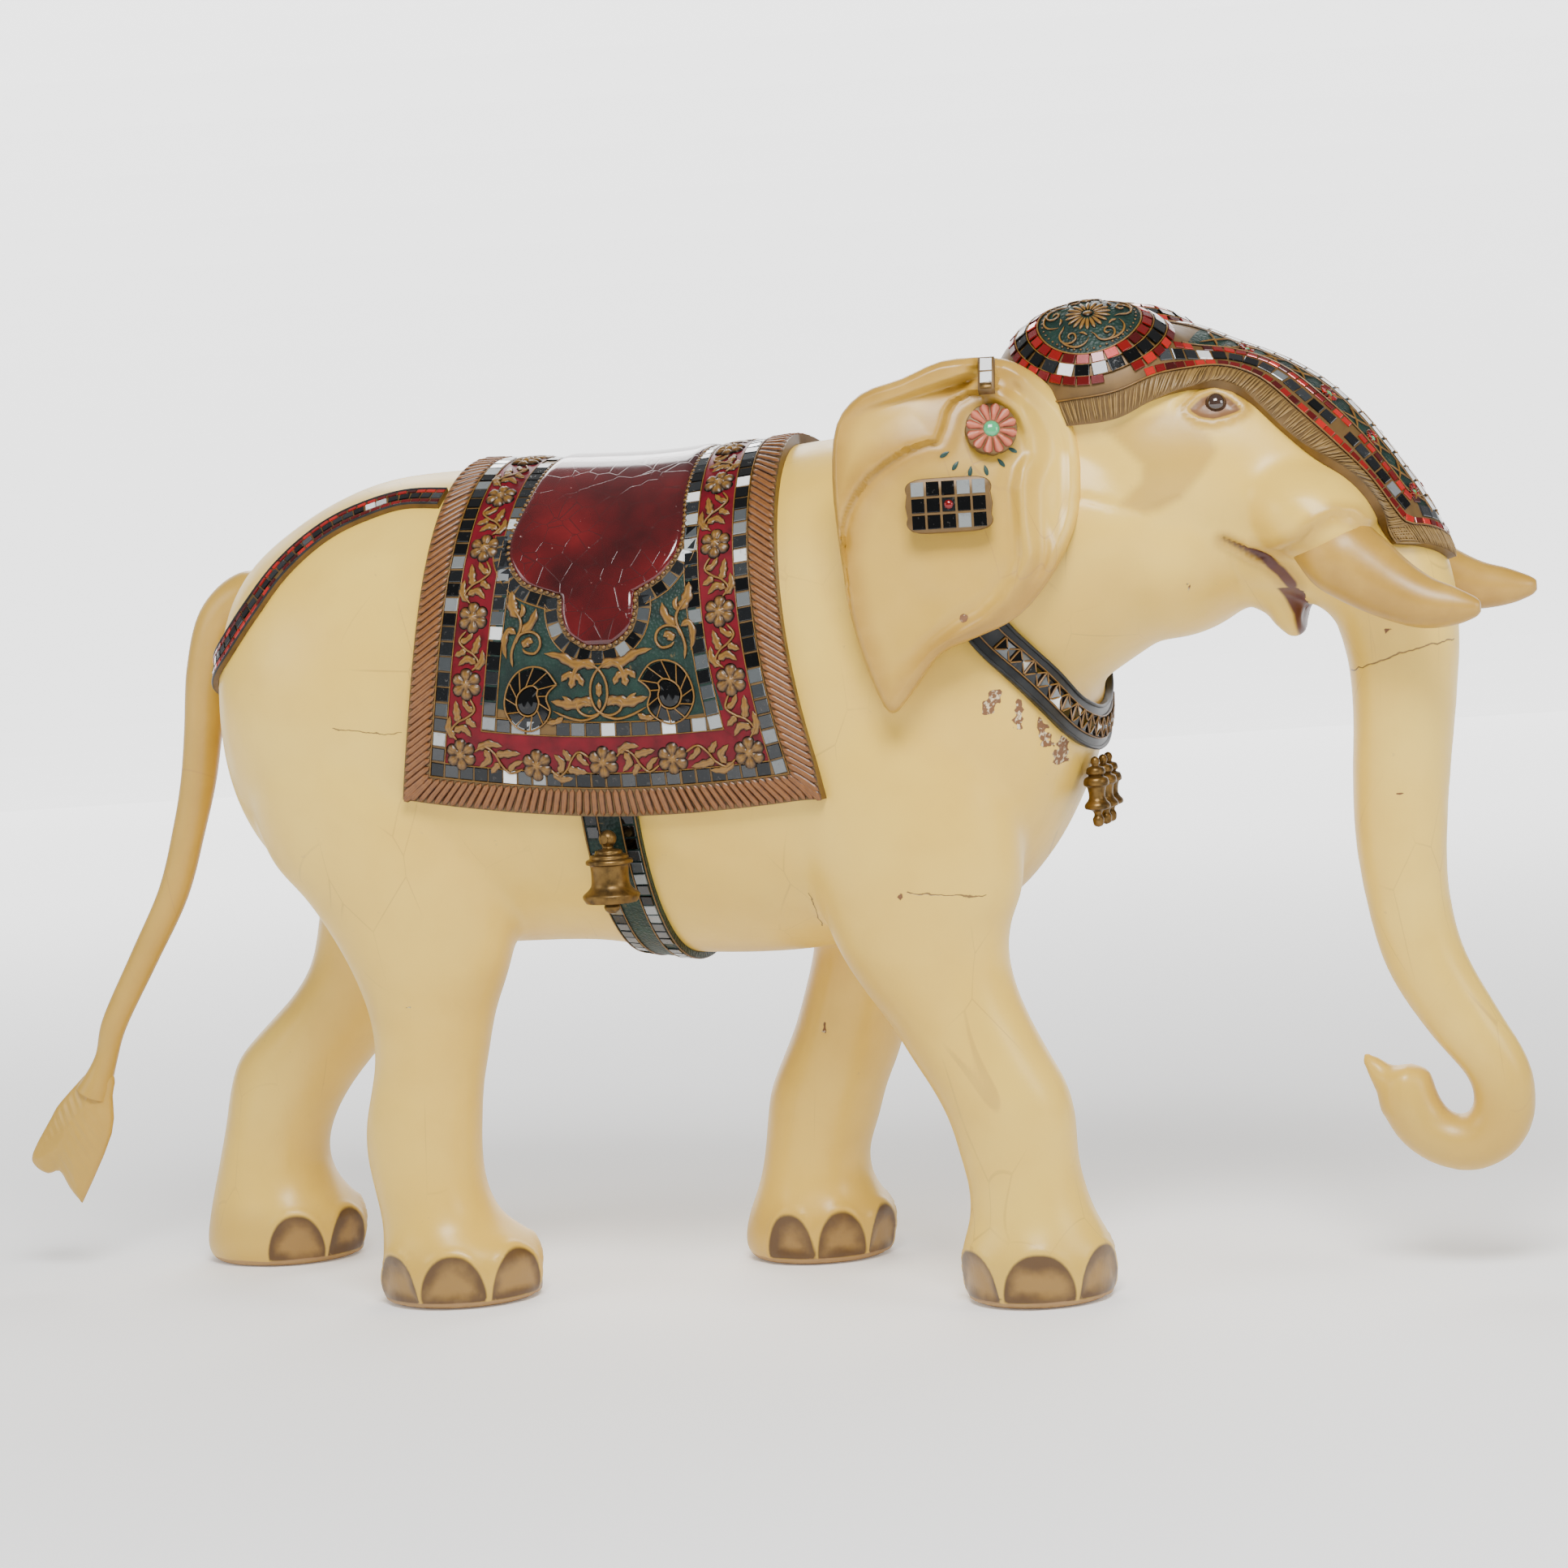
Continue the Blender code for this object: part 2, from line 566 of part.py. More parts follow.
def saw_blocks(figure, parts, workshop):
    """Cut the figure at its joints and return the blocks by name."""
    blocks = {}
    in_front = half_space(
        "neck_front", NECK_POINT + NECK_NORMAL * GAP / 2, NECK_NORMAL, workshop)
    behind = half_space("neck_back", NECK_POINT - NECK_NORMAL * GAP / 2, -NECK_NORMAL, workshop)
    below = half_space(
        "trunk_below", TRUNK_POINT - TRUNK_NORMAL * GAP / 2, -TRUNK_NORMAL, workshop)
    above = half_space("trunk_above", TRUNK_POINT + TRUNK_NORMAL * GAP / 2, TRUNK_NORMAL, workshop)
    trunk_side = block("trunk_side", (0.50, -0.2, 0.05), (0.80, 0.2, 0.80), workshop)
    mouth_side = block("mouth_side", (0.20, -0.3, 0.60), (0.545, 0.3, 1.10), workshop)

    trunk = mesh_object("trunk", figure.data.copy(), parts)
    boolean(trunk, trunk_side, "INTERSECT")
    settle(trunk)
    boolean(trunk, below, "INTERSECT")
    settle(trunk)
    keep_largest(trunk)
    blocks["trunk"] = trunk

    boolean(above, mouth_side, "UNION")
    settle(above)
    head = mesh_object("head", figure.data.copy(), parts)
    for cutter in (in_front, above):
        boolean(head, cutter, "INTERSECT")
        settle(head)
    keep_largest(head)
    blocks["head"] = head

    torso = mesh_object("torso", figure.data.copy(), parts)
    boolean(torso, behind, "INTERSECT")
    settle(torso)
    for name, (_, side, reach) in LIMBS.items():
        span = sorted((math.copysign(LEG_INNER, side), math.copysign(LEG_OUTER, side)))
        leg = mesh_object(name, figure.data.copy(), parts)
        seat = block(name + "_block", (reach[0], span[0], -0.1), (reach[1], span[1], LEG_JOINT_Z),
                     workshop)
        boolean(leg, seat, "INTERSECT")
        settle(leg)
        keep_largest(leg)
        blocks[name] = leg
        room = block(
            name + "_room",
            (reach[0] - GAP, span[0] - GAP, -0.2),
            (reach[1] + GAP, span[1] + GAP, LEG_JOINT_Z + GAP), workshop)
        boolean(torso, room, "DIFFERENCE")
        settle(torso)
    keep_largest(torso)
    blocks["torso"] = torso
    return blocks


def keep_largest(obj):
    """Drop offcuts that a saw cut leaves loose."""
    bm = bmesh.new()
    bm.from_mesh(obj.data)
    bmesh.ops.remove_doubles(bm, verts=bm.verts, dist=0.00001)
    left = set(bm.verts)
    islands = []
    while left:
        seed = left.pop()
        island = {seed}
        edge_of = [seed]
        while edge_of:
            for edge in edge_of.pop().link_edges:
                for vert in edge.verts:
                    if vert in left:
                        left.discard(vert)
                        island.add(vert)
                        edge_of.append(vert)
        islands.append(island)
    islands.sort(key=len)
    for island in islands[:-1]:
        bmesh.ops.delete(bm, geom=list(island), context="VERTS")
    bm.to_mesh(obj.data)
    bm.free()


# ---------------------------------------------------------------- fitted pieces
def dowel(name, middle, axis, pieces, parts, workshop):
    """Round dowel half in each of two blocks, with its holes cut."""
    middle, axis = Vector(middle), Vector(axis).normalized()
    reach = axis * DOWEL_REACH
    hole_reach = axis * (DOWEL_REACH + GAP)
    pin = rod(name, middle - reach, middle + reach, DOWEL_RADIUS, parts)
    hole = rod(name + "_hole", middle - hole_reach, middle + hole_reach, DOWEL_RADIUS + GAP,
               workshop)
    for piece in pieces:
        boolean(piece, hole, "DIFFERENCE")
        settle(piece)
    return pin


def tusk(name, side, head, parts, workshop):
    """Tusk with its root let into the upper lip."""
    def rings(grow):
        out = []
        rows = smooth_rows(TUSK, 2)
        first, last = rows[0][0], rows[-1][0]
        for x, z, lean, half_width, up, down in rows:
            along = (x - first) / (last - first)
            y = side * (TUSK_BASE_Y + TUSK_SPREAD * along)
            if side > 0:
                x += LEFT_TUSK_REACH[0] * along
                z += LEFT_TUSK_REACH[1] * along
            size = (half_width + grow, up + grow, down + grow)
            out.append(section(x, y, z, lean, *size, 12, 2.0))
        return out

    piece = loft(name, rings(0.0), parts)
    socket = loft(name + "_socket", rings(GAP), workshop)
    for point in socket.data.vertices:
        if point.co.x < TUSK[0][0] + 0.03:
            point.co += Vector((-0.7, 0.0, 0.7)) * GAP
    boolean(head, socket, "DIFFERENCE")
    settle(head)
    return piece


def tail(torso, parts, workshop):
    """Tail with a brush, let into the rump."""
    piece = form("tail", TAIL, parts, sides=10, steps=2)
    root_row = (TAIL[0][0] + GAP, *TAIL[0][1:])
    socket_rows = (root_row, *TAIL[1:6])
    socket = form("tail_socket", socket_rows, workshop, sides=10, steps=2, grow=GAP)
    boolean(torso, socket, "DIFFERENCE")
    settle(torso)
    return piece


EAR_OUTLINE = (
    (0.277, 0.898), (0.240, 0.897), (0.203, 0.883), (0.166, 0.872), (0.141, 0.845),
    (0.134, 0.796), (0.137, 0.735), (0.143, 0.668), (0.158, 0.612), (0.175, 0.577),
    (0.195, 0.594), (0.223, 0.628), (0.253, 0.641), (0.287, 0.655), (0.313, 0.678),
    (0.339, 0.719), (0.350, 0.772), (0.342, 0.835), (0.321, 0.874), (0.299, 0.892),
)
EAR_MIDDLE = Vector((0.250, 0.775))
EAR_REAR_X = 0.134
EAR_FRONT_X = 0.350


def ear_rest(tree, x, z, side):
    """Back of an ear: it flares at the rear edge and lies near the head at the front edge."""
    beyond = Vector((x, side * 0.6, z))
    hit = tree.ray_cast(beyond, Vector((0.0, -side, 0.0)))[0]
    forward = (x - EAR_REAR_X) / (EAR_FRONT_X - EAR_REAR_X)
    hold = max(0.0, min(1.0, forward)) ** 2
    near = abs(hit.y) if hit is not None else 0.12
    flare = EAR_FLARE * (1.0 - hold) + (near + EAR_CLEARANCE) * hold
    return max(flare, near + EAR_CLEARANCE * 0.5)


def ear(name, side, tree, parts):
    """Ear blade: a sheet that flares from the head towards the shoulder."""
    outline = smooth_rows(EAR_OUTLINE + EAR_OUTLINE[:1], 2)[:-1]
    bm = bmesh.new()

    def vertex(flat):
        rest = ear_rest(tree, flat.x, flat.y, side)
        return bm.verts.new((flat.x, side * rest, flat.y))

    loops = []
    for share in (1.0, 0.72, 0.38):
        points = [EAR_MIDDLE.lerp(Vector(point), share) for point in outline]
        loops.append([vertex(point) for point in points])
    centre = vertex(EAR_MIDDLE)
    count = len(outline)
    for outer, inner in zip(loops, loops[1:]):
        for index in range(count):
            following = (index + 1) % count
            bm.faces.new((outer[index], outer[following], inner[following], inner[index]))
    for index in range(count):
        bm.faces.new((loops[-1][index], loops[-1][(index + 1) % count], centre))
    return shell(name, bm, tree, EAR_THICKNESS, parts)


def eye(name, side, head, parts, workshop):
    """Glass ball set in the side of the head."""
    tree = surface_tree(head)
    hit = cast(tree, Vector((0.470, side * 0.4, 0.842)), Vector((0.470, 0.0, 0.842)), 0.0)
    centre = hit - Vector((0.0, side * 0.0055, 0.0))
    ball = ellipsoid(name, centre, (EYE_RADIUS,) * 3, 0, parts, 12, 8)
    room = ellipsoid(name + "_socket", centre, (EYE_RADIUS + GAP,) * 3, 0, workshop, 12, 8)
    boolean(head, room, "DIFFERENCE")
    settle(head)
    return ball


# ---------------------------------------------------------------- trappings
def over_back(tree, x, turn, lift):
    """Point on the barrel at an angle from the vertical, positive to the left side."""
    centre = Vector((x, 0.0, BODY_AXIS_Z))
    outwards = Vector((0.0, math.sin(turn), math.cos(turn)))
    return cast(tree, centre + outwards * 0.5, centre, lift)


def saddle_edge(share):
    """X of the cloth's rear and front edge; share is 0 on the spine and 1 at the hem."""
    rear = -0.290 - 0.004 * share - 0.030 * share ** 3
    front = 0.039 + 0.048 * share + 0.013 * share ** 4
    return rear, front


def saddle_cloth(tree, parts):
    """Cloth panel over the back with a sagging hem on each flank."""
    rows = []
    columns, lines = 8, 26
    for line in range(lines + 1):
        share = 2.0 * line / lines - 1.0
        rear, front = saddle_edge(abs(share))
        row = []
        for column in range(columns + 1):
            across = column / columns
            hem = 0.511 - 0.0205 * across - 0.0175 * math.sin(math.pi * across)
            limit = math.pi / 2 + math.atan2(BODY_AXIS_Z - hem, 0.196)
            x = rear + (front - rear) * across
            row.append(over_back(tree, x, share * limit, CLOTH_GAP))
        rows.append(row)
    return grid_shell("saddle_cloth", rows, tree, CLOTH_GAP, CLOTH_THICKNESS, parts)


SEAT_HALF = (
    (0.000, -0.197, -0.045),
    (0.150, -0.197, -0.044),
    (0.300, -0.198, -0.0425),
    (0.450, -0.200, -0.041),
    (0.600, -0.203, -0.039),
    (0.742, -0.209, -0.035),
    (0.863, -0.207, -0.037),
    (0.980, -0.190, -0.052),
    (1.040, -0.160, -0.072),
    (1.060, -0.151, -0.077),
    (1.150, -0.149, -0.077),
    (1.240, -0.141, -0.083),
    (1.300, -0.122, -0.100),
)
SEAT_COLUMNS = 5


def saddle_seat(tree, parts):
    """Lacquered seat panel, one piece across the back, with a lobe on each flank."""
    lines = [(-turn, rear, front) for turn, rear, front in reversed(SEAT_HALF)]
    lines += SEAT_HALF[1:]
    rows = []
    for turn, rear, front in lines:
        row = []
        for column in range(SEAT_COLUMNS + 1):
            x = rear + (front - rear) * column / SEAT_COLUMNS
            row.append(over_back(tree, x, turn, SEAT_GAP))
        rows.append(row)
    return grid_shell("saddle_seat", rows, tree, SEAT_GAP / 2, SEAT_THICKNESS, parts)


GIRTH_ROUTE = (
    (-0.117, -0.176, 0.4805),
    (-0.117, -0.162, 0.446),
    (-0.117, -0.141, 0.412),
    (-0.117, -0.106, 0.376),
    (-0.117, -0.050, 0.347),
    (-0.117, 0.000, 0.338),
)
CRUPPER_ROUTE = (
    (-0.2985, -0.0995, 0.800),
    (-0.340, -0.0970, 0.801),
    (-0.380, -0.1065, 0.792),
    (-0.420, -0.1170, 0.774),
    (-0.460, -0.1320, 0.742),
    (-0.492, -0.1410, 0.702),
    (-0.520, -0.1280, 0.664),
    (-0.545, -0.0900, 0.640),
    (-0.562, -0.0450, 0.627),
    (-0.569, 0.000, 0.622),
)
COLLAR_ROUTE = (
    (0.175, 0.000, 0.868),
    (0.188, -0.080, 0.852),
    (0.203, -0.135, 0.805),
    (0.219, -0.162, 0.745),
    (0.236, -0.162, 0.690),
    (0.257, -0.147, 0.645),
    (0.286, -0.124, 0.6065),
    (0.309, -0.088, 0.5695),
    (0.318, -0.050, 0.551),
    (0.322, 0.000, 0.543),
)


def collar(tree, parts):
    """Band round the neck, in one piece."""
    half = list(COLLAR_ROUTE)
    around = half + [(x, -y, z) for x, y, z in reversed(half[1:-1])]
    route = smooth_rows(around + around[:1], 3)[:-1]
    centres = [settle_on(tree, Vector(point), COLLAR_GAP) for point in route]
    count = len(centres)
    rows = []
    for index, (centre, normal) in enumerate(centres):
        ahead = centres[(index + 1) % count][0] - centres[index - 1][0]
        side = normal.cross(ahead).normalized()
        row = []
        for step in range(4):
            offset = side * COLLAR_WIDTH * (step / 3 - 0.5)
            row.append(settle_on(tree, centre + offset, COLLAR_GAP)[0])
        rows.append(row)
    return grid_shell("collar", rows, tree, CLOTH_GAP, STRAP_THICKNESS, parts, closed=True)


# Head cap rows: a point inside the head (x, z), lean of the middle, and the right edge (x, y, z)
CAP_ROWS = (
    (0.352, 0.800, 150, 0.267, -0.087, 0.896),
    (0.355, 0.803, 138, 0.287, -0.112, 0.881),
    (0.360, 0.805, 126, 0.305, -0.123, 0.866),
    (0.366, 0.802, 114, 0.3295, -0.128, 0.835),
    (0.374, 0.800, 102, 0.351, -0.129, 0.832),
    (0.390, 0.796, 89, 0.387, -0.123, 0.834),
    (0.410, 0.790, 78, 0.417, -0.111, 0.847),
    (0.435, 0.785, 68, 0.458, -0.092, 0.858),
    (0.460, 0.770, 59, 0.494, -0.086, 0.850),
    (0.487, 0.750, 51, 0.524, -0.088, 0.819),
    (0.520, 0.725, 44, 0.558, -0.086, 0.786),
    (0.550, 0.703, 36, 0.588, -0.084, 0.757),
    (0.572, 0.686, 27, 0.606, -0.077, 0.731),
    (0.586, 0.674, 19, 0.614, -0.067, 0.713),
    (0.594, 0.668, 13, 0.620, -0.059, 0.700),
)
CAP_COLUMNS = 16


def head_cap(tree, parts):
    """Carved cap over both domes, the brow and the top of the trunk."""
    rows = []
    for x, z, lean, *edge in CAP_ROWS:
        a = math.radians(lean)
        middle = Vector((math.cos(a), 0.0, math.sin(a)))
        inner = Vector((x, 0.0, z))
        right = (Vector(edge) - inner).normalized()
        left = Vector((right.x, -right.y, right.z))
        row = []
        for step in range(CAP_COLUMNS + 1):
            share = 2.0 * step / CAP_COLUMNS - 1.0
            side = right if share < 0 else left
            outwards = middle.slerp(side, abs(share))
            row.append(cast(tree, inner + outwards * 0.4, inner, CAP_GAP))
        rows.append(row)
    return grid_shell("head_cap", rows, tree, CAP_GAP, CAP_THICKNESS, parts)


def ear_ornament(name, side, flat, radii, tree, parts, sides=12):
    """Small inlaid plate on the outer face of an ear."""
    def on_ear(x, z):
        return cast(tree, Vector((x, side * 0.6, z)), Vector((x, 0.0, z)), 0.0)

    x, z = flat
    centre = on_ear(x, z)
    across = (on_ear(x + radii[0], z) - on_ear(x - radii[0], z)).normalized()
    rise = on_ear(x, z + radii[1]) - on_ear(x, z - radii[1])
    normal = rise.cross(across).normalized()
    if normal.y * side < 0:
        normal = -normal
    upwards = normal.cross(across)
    turn = math.pi / 4 if sides == 4 else 0.0
    stretch = math.sqrt(2) if sides == 4 else 1.0
    outline = []
    height = 0.0
    for index in range(sides):
        angle = 2 * math.pi * index / sides + turn
        offset = across * math.cos(angle) * radii[0] + upwards * math.sin(angle) * radii[1]
        outline.append(centre + offset * stretch)
        for share in (0.5, 1.0):
            foot = centre + offset * stretch * share
            height = max(height, (on_ear(foot.x, foot.z) - centre).dot(normal))
    bm = bmesh.new()
    rings = []
    for lift in (height + ORNAMENT_GAP, height + ORNAMENT_GAP + ORNAMENT_THICKNESS):
        rings.append([bm.verts.new(point + normal * lift) for point in outline])
    for index in range(sides):
        following = (index + 1) % sides
        bm.faces.new((rings[0][index], rings[0][following], rings[1][following], rings[1][index]))
    bm.faces.new(rings[0])
    bm.faces.new(rings[1])
    return mesh_object(name, mesh_from_bmesh(name, bm), parts)


# ---------------------------------------------------------------- bells and pendants
BELL_OUTSIDE = (
    (0.0000, 0.0085), (0.0048, 0.0070), (0.0078, 0.0035), (0.0085, 0.0000), (0.0078, -0.0035),
    (0.0052, -0.0068), (0.0056, -0.0090), (0.0125, -0.0110), (0.0135, -0.0140),
    (0.0180, -0.0155), (0.0190, -0.0185), (0.0220, -0.0200), (0.0225, -0.0235),
    (0.0185, -0.0260), (0.0183, -0.0420), (0.0215, -0.0480), (0.0268, -0.0525),
    (0.0270, -0.0560), (0.0245, -0.0605),
)
BELL_STEPS = 16
CLAPPER_PIVOT_DROP = 0.0265  # from the bell's pin to the clapper's pin
PENDANT = (
    (0.0000, 0.0100), (0.0032, 0.0085), (0.0044, 0.0045), (0.0034, 0.0010), (0.0080, -0.0010),
    (0.0092, -0.0060), (0.0070, -0.0085), (0.0112, -0.0110), (0.0122, -0.0170),
    (0.0090, -0.0200), (0.0080, -0.0300), (0.0122, -0.0360), (0.0118, -0.0400),
    (0.0058, -0.0420), (0.0036, -0.0460), (0.0054, -0.0500), (0.0044, -0.0560),
    (0.0000, -0.0580),
)
PENDANT_Z = 0.5065           # middle of the bead that a pendant hangs from
PENDANT_OFFSET = 0.0135      # axis of a pendant, out from the chest
PENDANT_STEPS = 10
PENDANT_PLACES = {
    "collar_pendant_right": -0.027,
    "collar_pendant_middle": 0.0,
    "collar_pendant_left": 0.027,
}


def bell_profile():
    """Closed profile of the bell: down the outside, back up the inside."""
    inside = []
    for radius, height in reversed(BELL_OUTSIDE[13:]):
        inside.append((radius - BELL_WALL, height))
    inside[0] = (BELL_OUTSIDE[-1][0] - BELL_WALL, BELL_OUTSIDE[-1][1])
    inside.append((0.0150, -0.0215))
    inside.append((0.0000, -0.0205))
    return list(BELL_OUTSIDE) + inside


def girth_bell(label, side, torso, strap, parts, workshop):
    """Bell that swings on a pin driven into the flank, with its clapper on a cross pin."""
    pivot = Vector((BELL_PIVOT[0], side * BELL_PIVOT[1], BELL_PIVOT[2]))
    bell = turned("girth_bell_" + label, bell_profile(), (0, 0, 0), parts, BELL_STEPS)
    settle(bell)
    bore = rod("bead_bore", (0, -0.02, 0), (0, 0.02, 0), PIN_RADIUS + PIN_CLEARANCE, workshop)
    low = Vector((0.0, 0.0, -CLAPPER_PIVOT_DROP))
    span = Vector((0.0, 0.0183, 0.0))
    cross_hole = rod("cross_hole", low - span * 1.2, low + span * 1.2, CROSS_PIN_RADIUS + GAP,
                     workshop)
    for cutter in (bore, cross_hole):
        boolean(bell, cutter, "DIFFERENCE")
        settle(bell)
    bell.location = pivot

    cross_pin = rod("clapper_pin_" + label, -span * 0.97, span * 0.97, CROSS_PIN_RADIUS, parts)
    cross_pin.location = pivot + low

    clapper = rod("clapper_" + label, (0, 0, -0.034), (0, 0, -0.0035), 0.0016, parts, 8)
    ball = ellipsoid("clapper_ball", (0, 0, -0.0385), (0.0078, 0.0078, 0.0068), 0, workshop, 12, 6)
    hub = rod("clapper_hub", (0, -0.0030, 0), (0, 0.0030, 0), 0.0040, workshop, 12)
    eyelet = rod("clapper_eye", (0, -0.01, 0), (0, 0.01, 0), CROSS_PIN_RADIUS + PIN_CLEARANCE,
                 workshop)
    boolean(clapper, ball, "UNION")
    boolean(clapper, hub, "UNION")
    boolean(clapper, eyelet, "DIFFERENCE")
    settle(clapper)
    clapper.location = pivot + low

    inwards = Vector((0.0, -side, 0.0))
    head_start = pivot - inwards * 0.0093
    pin = rod("bell_pin_" + label, head_start, pivot + inwards * 0.045, PIN_RADIUS, parts)
    knob = rod("bell_pin_knob", head_start - inwards * 0.0016, head_start, 0.0038, workshop)
    knob.data.transform(Matrix.Translation(inwards * 0.0002))
    boolean(pin, knob, "UNION")
    settle(pin)
    hole = rod("bell_pin_hole", pivot + inwards * 0.002, pivot + inwards * 0.0453,
               PIN_RADIUS + GAP, workshop)
    for piece in (torso, strap):
        boolean(piece, hole, "DIFFERENCE")
        settle(piece)
    return [bell, cross_pin, clapper, pin]


# ---------------------------------------------------------------- assembly
def main():
    """Build every piece, paint it and place it under the object's root."""
    clear_scene()
    parts = new_collection("carved_wooden_elephant")
    workshop = new_collection("cutters")

    cream = new_material("cream_lacquer", (0.81, 0.63, 0.31), 0.35)
    ochre = new_material("ochre_lacquer", (0.68, 0.44, 0.16), 0.38)
    beech = new_material("bare_wood", (0.52, 0.36, 0.20), 0.70)
    glass = new_material("eye_glass", (0.05, 0.04, 0.03), 0.08)
    cloth = new_material("painted_cloth", (0.42, 0.10, 0.09), 0.45)
    lacquer = new_material("red_lacquer", (0.25, 0.01, 0.02), 0.15)
    tiles = new_material("mirror_tiles", (0.55, 0.57, 0.58), 0.08, 1.0)
    dark = new_material("dark_green_paint", (0.03, 0.07, 0.05), 0.45)
    gilt = new_material("gilt_relief", (0.52, 0.33, 0.10), 0.40, 0.6)
    brass = new_material("aged_brass", (0.42, 0.30, 0.13), 0.38, 1.0)
    rose = new_material("rose_enamel", (0.66, 0.25, 0.18), 0.40)

    figure = carve_figure(workshop)
    figure.hide_render = True
    figure.display_type = "WIRE"
    blocks = saw_blocks(figure, parts, workshop)
    torso, head, trunk = blocks["torso"], blocks["head"], blocks["trunk"]
    skin = surface_tree(figure)
    look = {torso: cream, head: cream, trunk: cream}

    for name, x in DOWEL_X.items():
        leg = blocks[name]
        look[leg] = cream
        middle = (x, math.copysign(TRACK, LIMBS[name][1]), LEG_JOINT_Z + GAP / 2)
        pin = dowel("dowel_" + name, middle, (0, 0, 1), (leg, torso), parts, workshop)
        look[pin] = beech
    trunk_dowel = dowel(
        "dowel_trunk", TRUNK_POINT, TRUNK_NORMAL, (trunk, head), parts, workshop)
    neck_middle = NECK_POINT + Vector((-0.452, 0.0, 0.892)) * 0.165
    neck_dowel = dowel("dowel_neck", neck_middle, NECK_NORMAL, (head, torso), parts, workshop)
    look[trunk_dowel] = beech
    look[neck_dowel] = beech

    look[tail(torso, parts, workshop)] = ochre
    for label, side in (("right", -1), ("left", 1)):
        look[tusk("tusk_" + label, side, head, parts, workshop)] = ochre
        look[eye("eye_" + label, side, head, parts, workshop)] = glass

    over_figure = saddle_cloth(skin, parts)
    look[over_figure] = cloth
    look[saddle_seat(surface_tree(over_figure), parts)] = lacquer
    strap = ribbon("girth_strap", skin, mirror_route(list(GIRTH_ROUTE)), GIRTH_WIDTH,
                   STRAP_THICKNESS, parts, steps=3, across=3)
    crupper = ribbon("crupper_strap", skin, mirror_route(list(CRUPPER_ROUTE)), CRUPPER_WIDTH,
                     STRAP_THICKNESS, parts, steps=3, across=2)
    look[strap] = dark
    look[crupper] = tiles
    neck_band = collar(skin, parts)
    look[neck_band] = dark
    look[head_cap(skin, parts)] = gilt
    settle(strap)

    for label, side in (("right", -1), ("left", 1)):
        blade = ear("ear_" + label, side, skin, parts)
        settle(blade)
        look[blade] = ochre
        face = surface_tree(blade)
        peg_middle = Vector((0.305, side * 0.150, 0.770))
        look[ear_ornament("ear_rosette_" + label, side, (0.2775, 0.8295), (0.0245, 0.0245), face,
                          parts)] = rose
        look[ear_ornament("ear_mirror_panel_" + label, side, (0.242, 0.764), (0.038, 0.0255), face,
                          parts, sides=4)] = tiles
        look[ear_ornament("ear_clip_" + label, side, (0.279, 0.876), (0.0075, 0.0165), face, parts,
                          sides=4)] = tiles
        peg = rod("ear_peg_" + label, peg_middle - Vector((0, side * 0.045, 0)),
                  peg_middle + Vector((0, side * 0.012, 0)), 0.008, parts)
        look[peg] = beech
        hole = rod("ear_peg_hole", peg_middle - Vector((0, side * 0.0453, 0)),
                   peg_middle + Vector((0, side * 0.0123, 0)), 0.008 + GAP, workshop)
        for piece in (head, blade):
            boolean(piece, hole, "DIFFERENCE")
            settle(piece)
        bell, cross_pin, clapper, pin = girth_bell(label, side, torso, strap, parts, workshop)
        for piece in (bell, cross_pin, clapper, pin):
            look[piece] = brass

    for name, y in PENDANT_PLACES.items():
        chest = cast(skin, Vector((0.45, y, PENDANT_Z)), Vector((0.0, y, PENDANT_Z)), 0.0)
        place = (chest.x + PENDANT_OFFSET, y, PENDANT_Z)
        look[turned(name, PENDANT, place, parts, PENDANT_STEPS)] = gilt

    root = bpy.data.objects.new("elephant_root", None)
    parts.objects.link(root)
    root.location = (CENTRE_SHIFT, 0.0, -SOLE_Z)
    for obj in list(parts.objects) + list(workshop.objects):
        if obj is not root:
            obj.parent = root
    for obj, material in look.items():
        obj.data.materials.clear()
        obj.data.materials.append(material)
        shade_round(obj)
    for obj in workshop.objects:
        obj.hide_render = True
        obj.display_type = "WIRE"
    bpy.context.view_layer.update()


main()
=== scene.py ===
"""Looks of the carved and lacquered wooden elephant with mirror-inlaid trappings.

Shapes are given where the CAD rows give them: the middle of the stance at X = 0 before ORIGIN is
added, +X the way the elephant walks, +Y its left side. All lengths are metres.
"""

import math
import random

import bmesh
import bpy
import numpy as np
from mathutils import Matrix, Quaternion, Vector
from mathutils.bvhtree import BVHTree


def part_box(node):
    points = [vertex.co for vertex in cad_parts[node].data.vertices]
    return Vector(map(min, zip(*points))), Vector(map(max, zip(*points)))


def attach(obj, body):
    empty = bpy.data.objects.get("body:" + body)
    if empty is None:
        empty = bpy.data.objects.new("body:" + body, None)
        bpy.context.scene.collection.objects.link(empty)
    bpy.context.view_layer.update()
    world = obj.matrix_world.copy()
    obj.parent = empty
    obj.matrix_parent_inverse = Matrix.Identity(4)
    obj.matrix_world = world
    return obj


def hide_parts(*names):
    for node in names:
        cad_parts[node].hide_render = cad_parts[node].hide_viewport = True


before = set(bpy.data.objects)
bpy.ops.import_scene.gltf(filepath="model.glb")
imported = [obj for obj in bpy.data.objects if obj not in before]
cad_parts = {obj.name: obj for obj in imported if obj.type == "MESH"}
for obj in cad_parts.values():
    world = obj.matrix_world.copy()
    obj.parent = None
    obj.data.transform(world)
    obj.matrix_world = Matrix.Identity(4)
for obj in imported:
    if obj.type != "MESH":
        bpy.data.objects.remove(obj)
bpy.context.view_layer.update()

ORIGIN = np.array((0.0657, 0.0, -0.010))   # from the rows below to the part's frame
ROOT = "elephant"
VOXEL = 0.0045                             # grain of the carved figure's mesh
SIDES = ((-1, "right"), (1, "left"))
rng = random.Random(7)


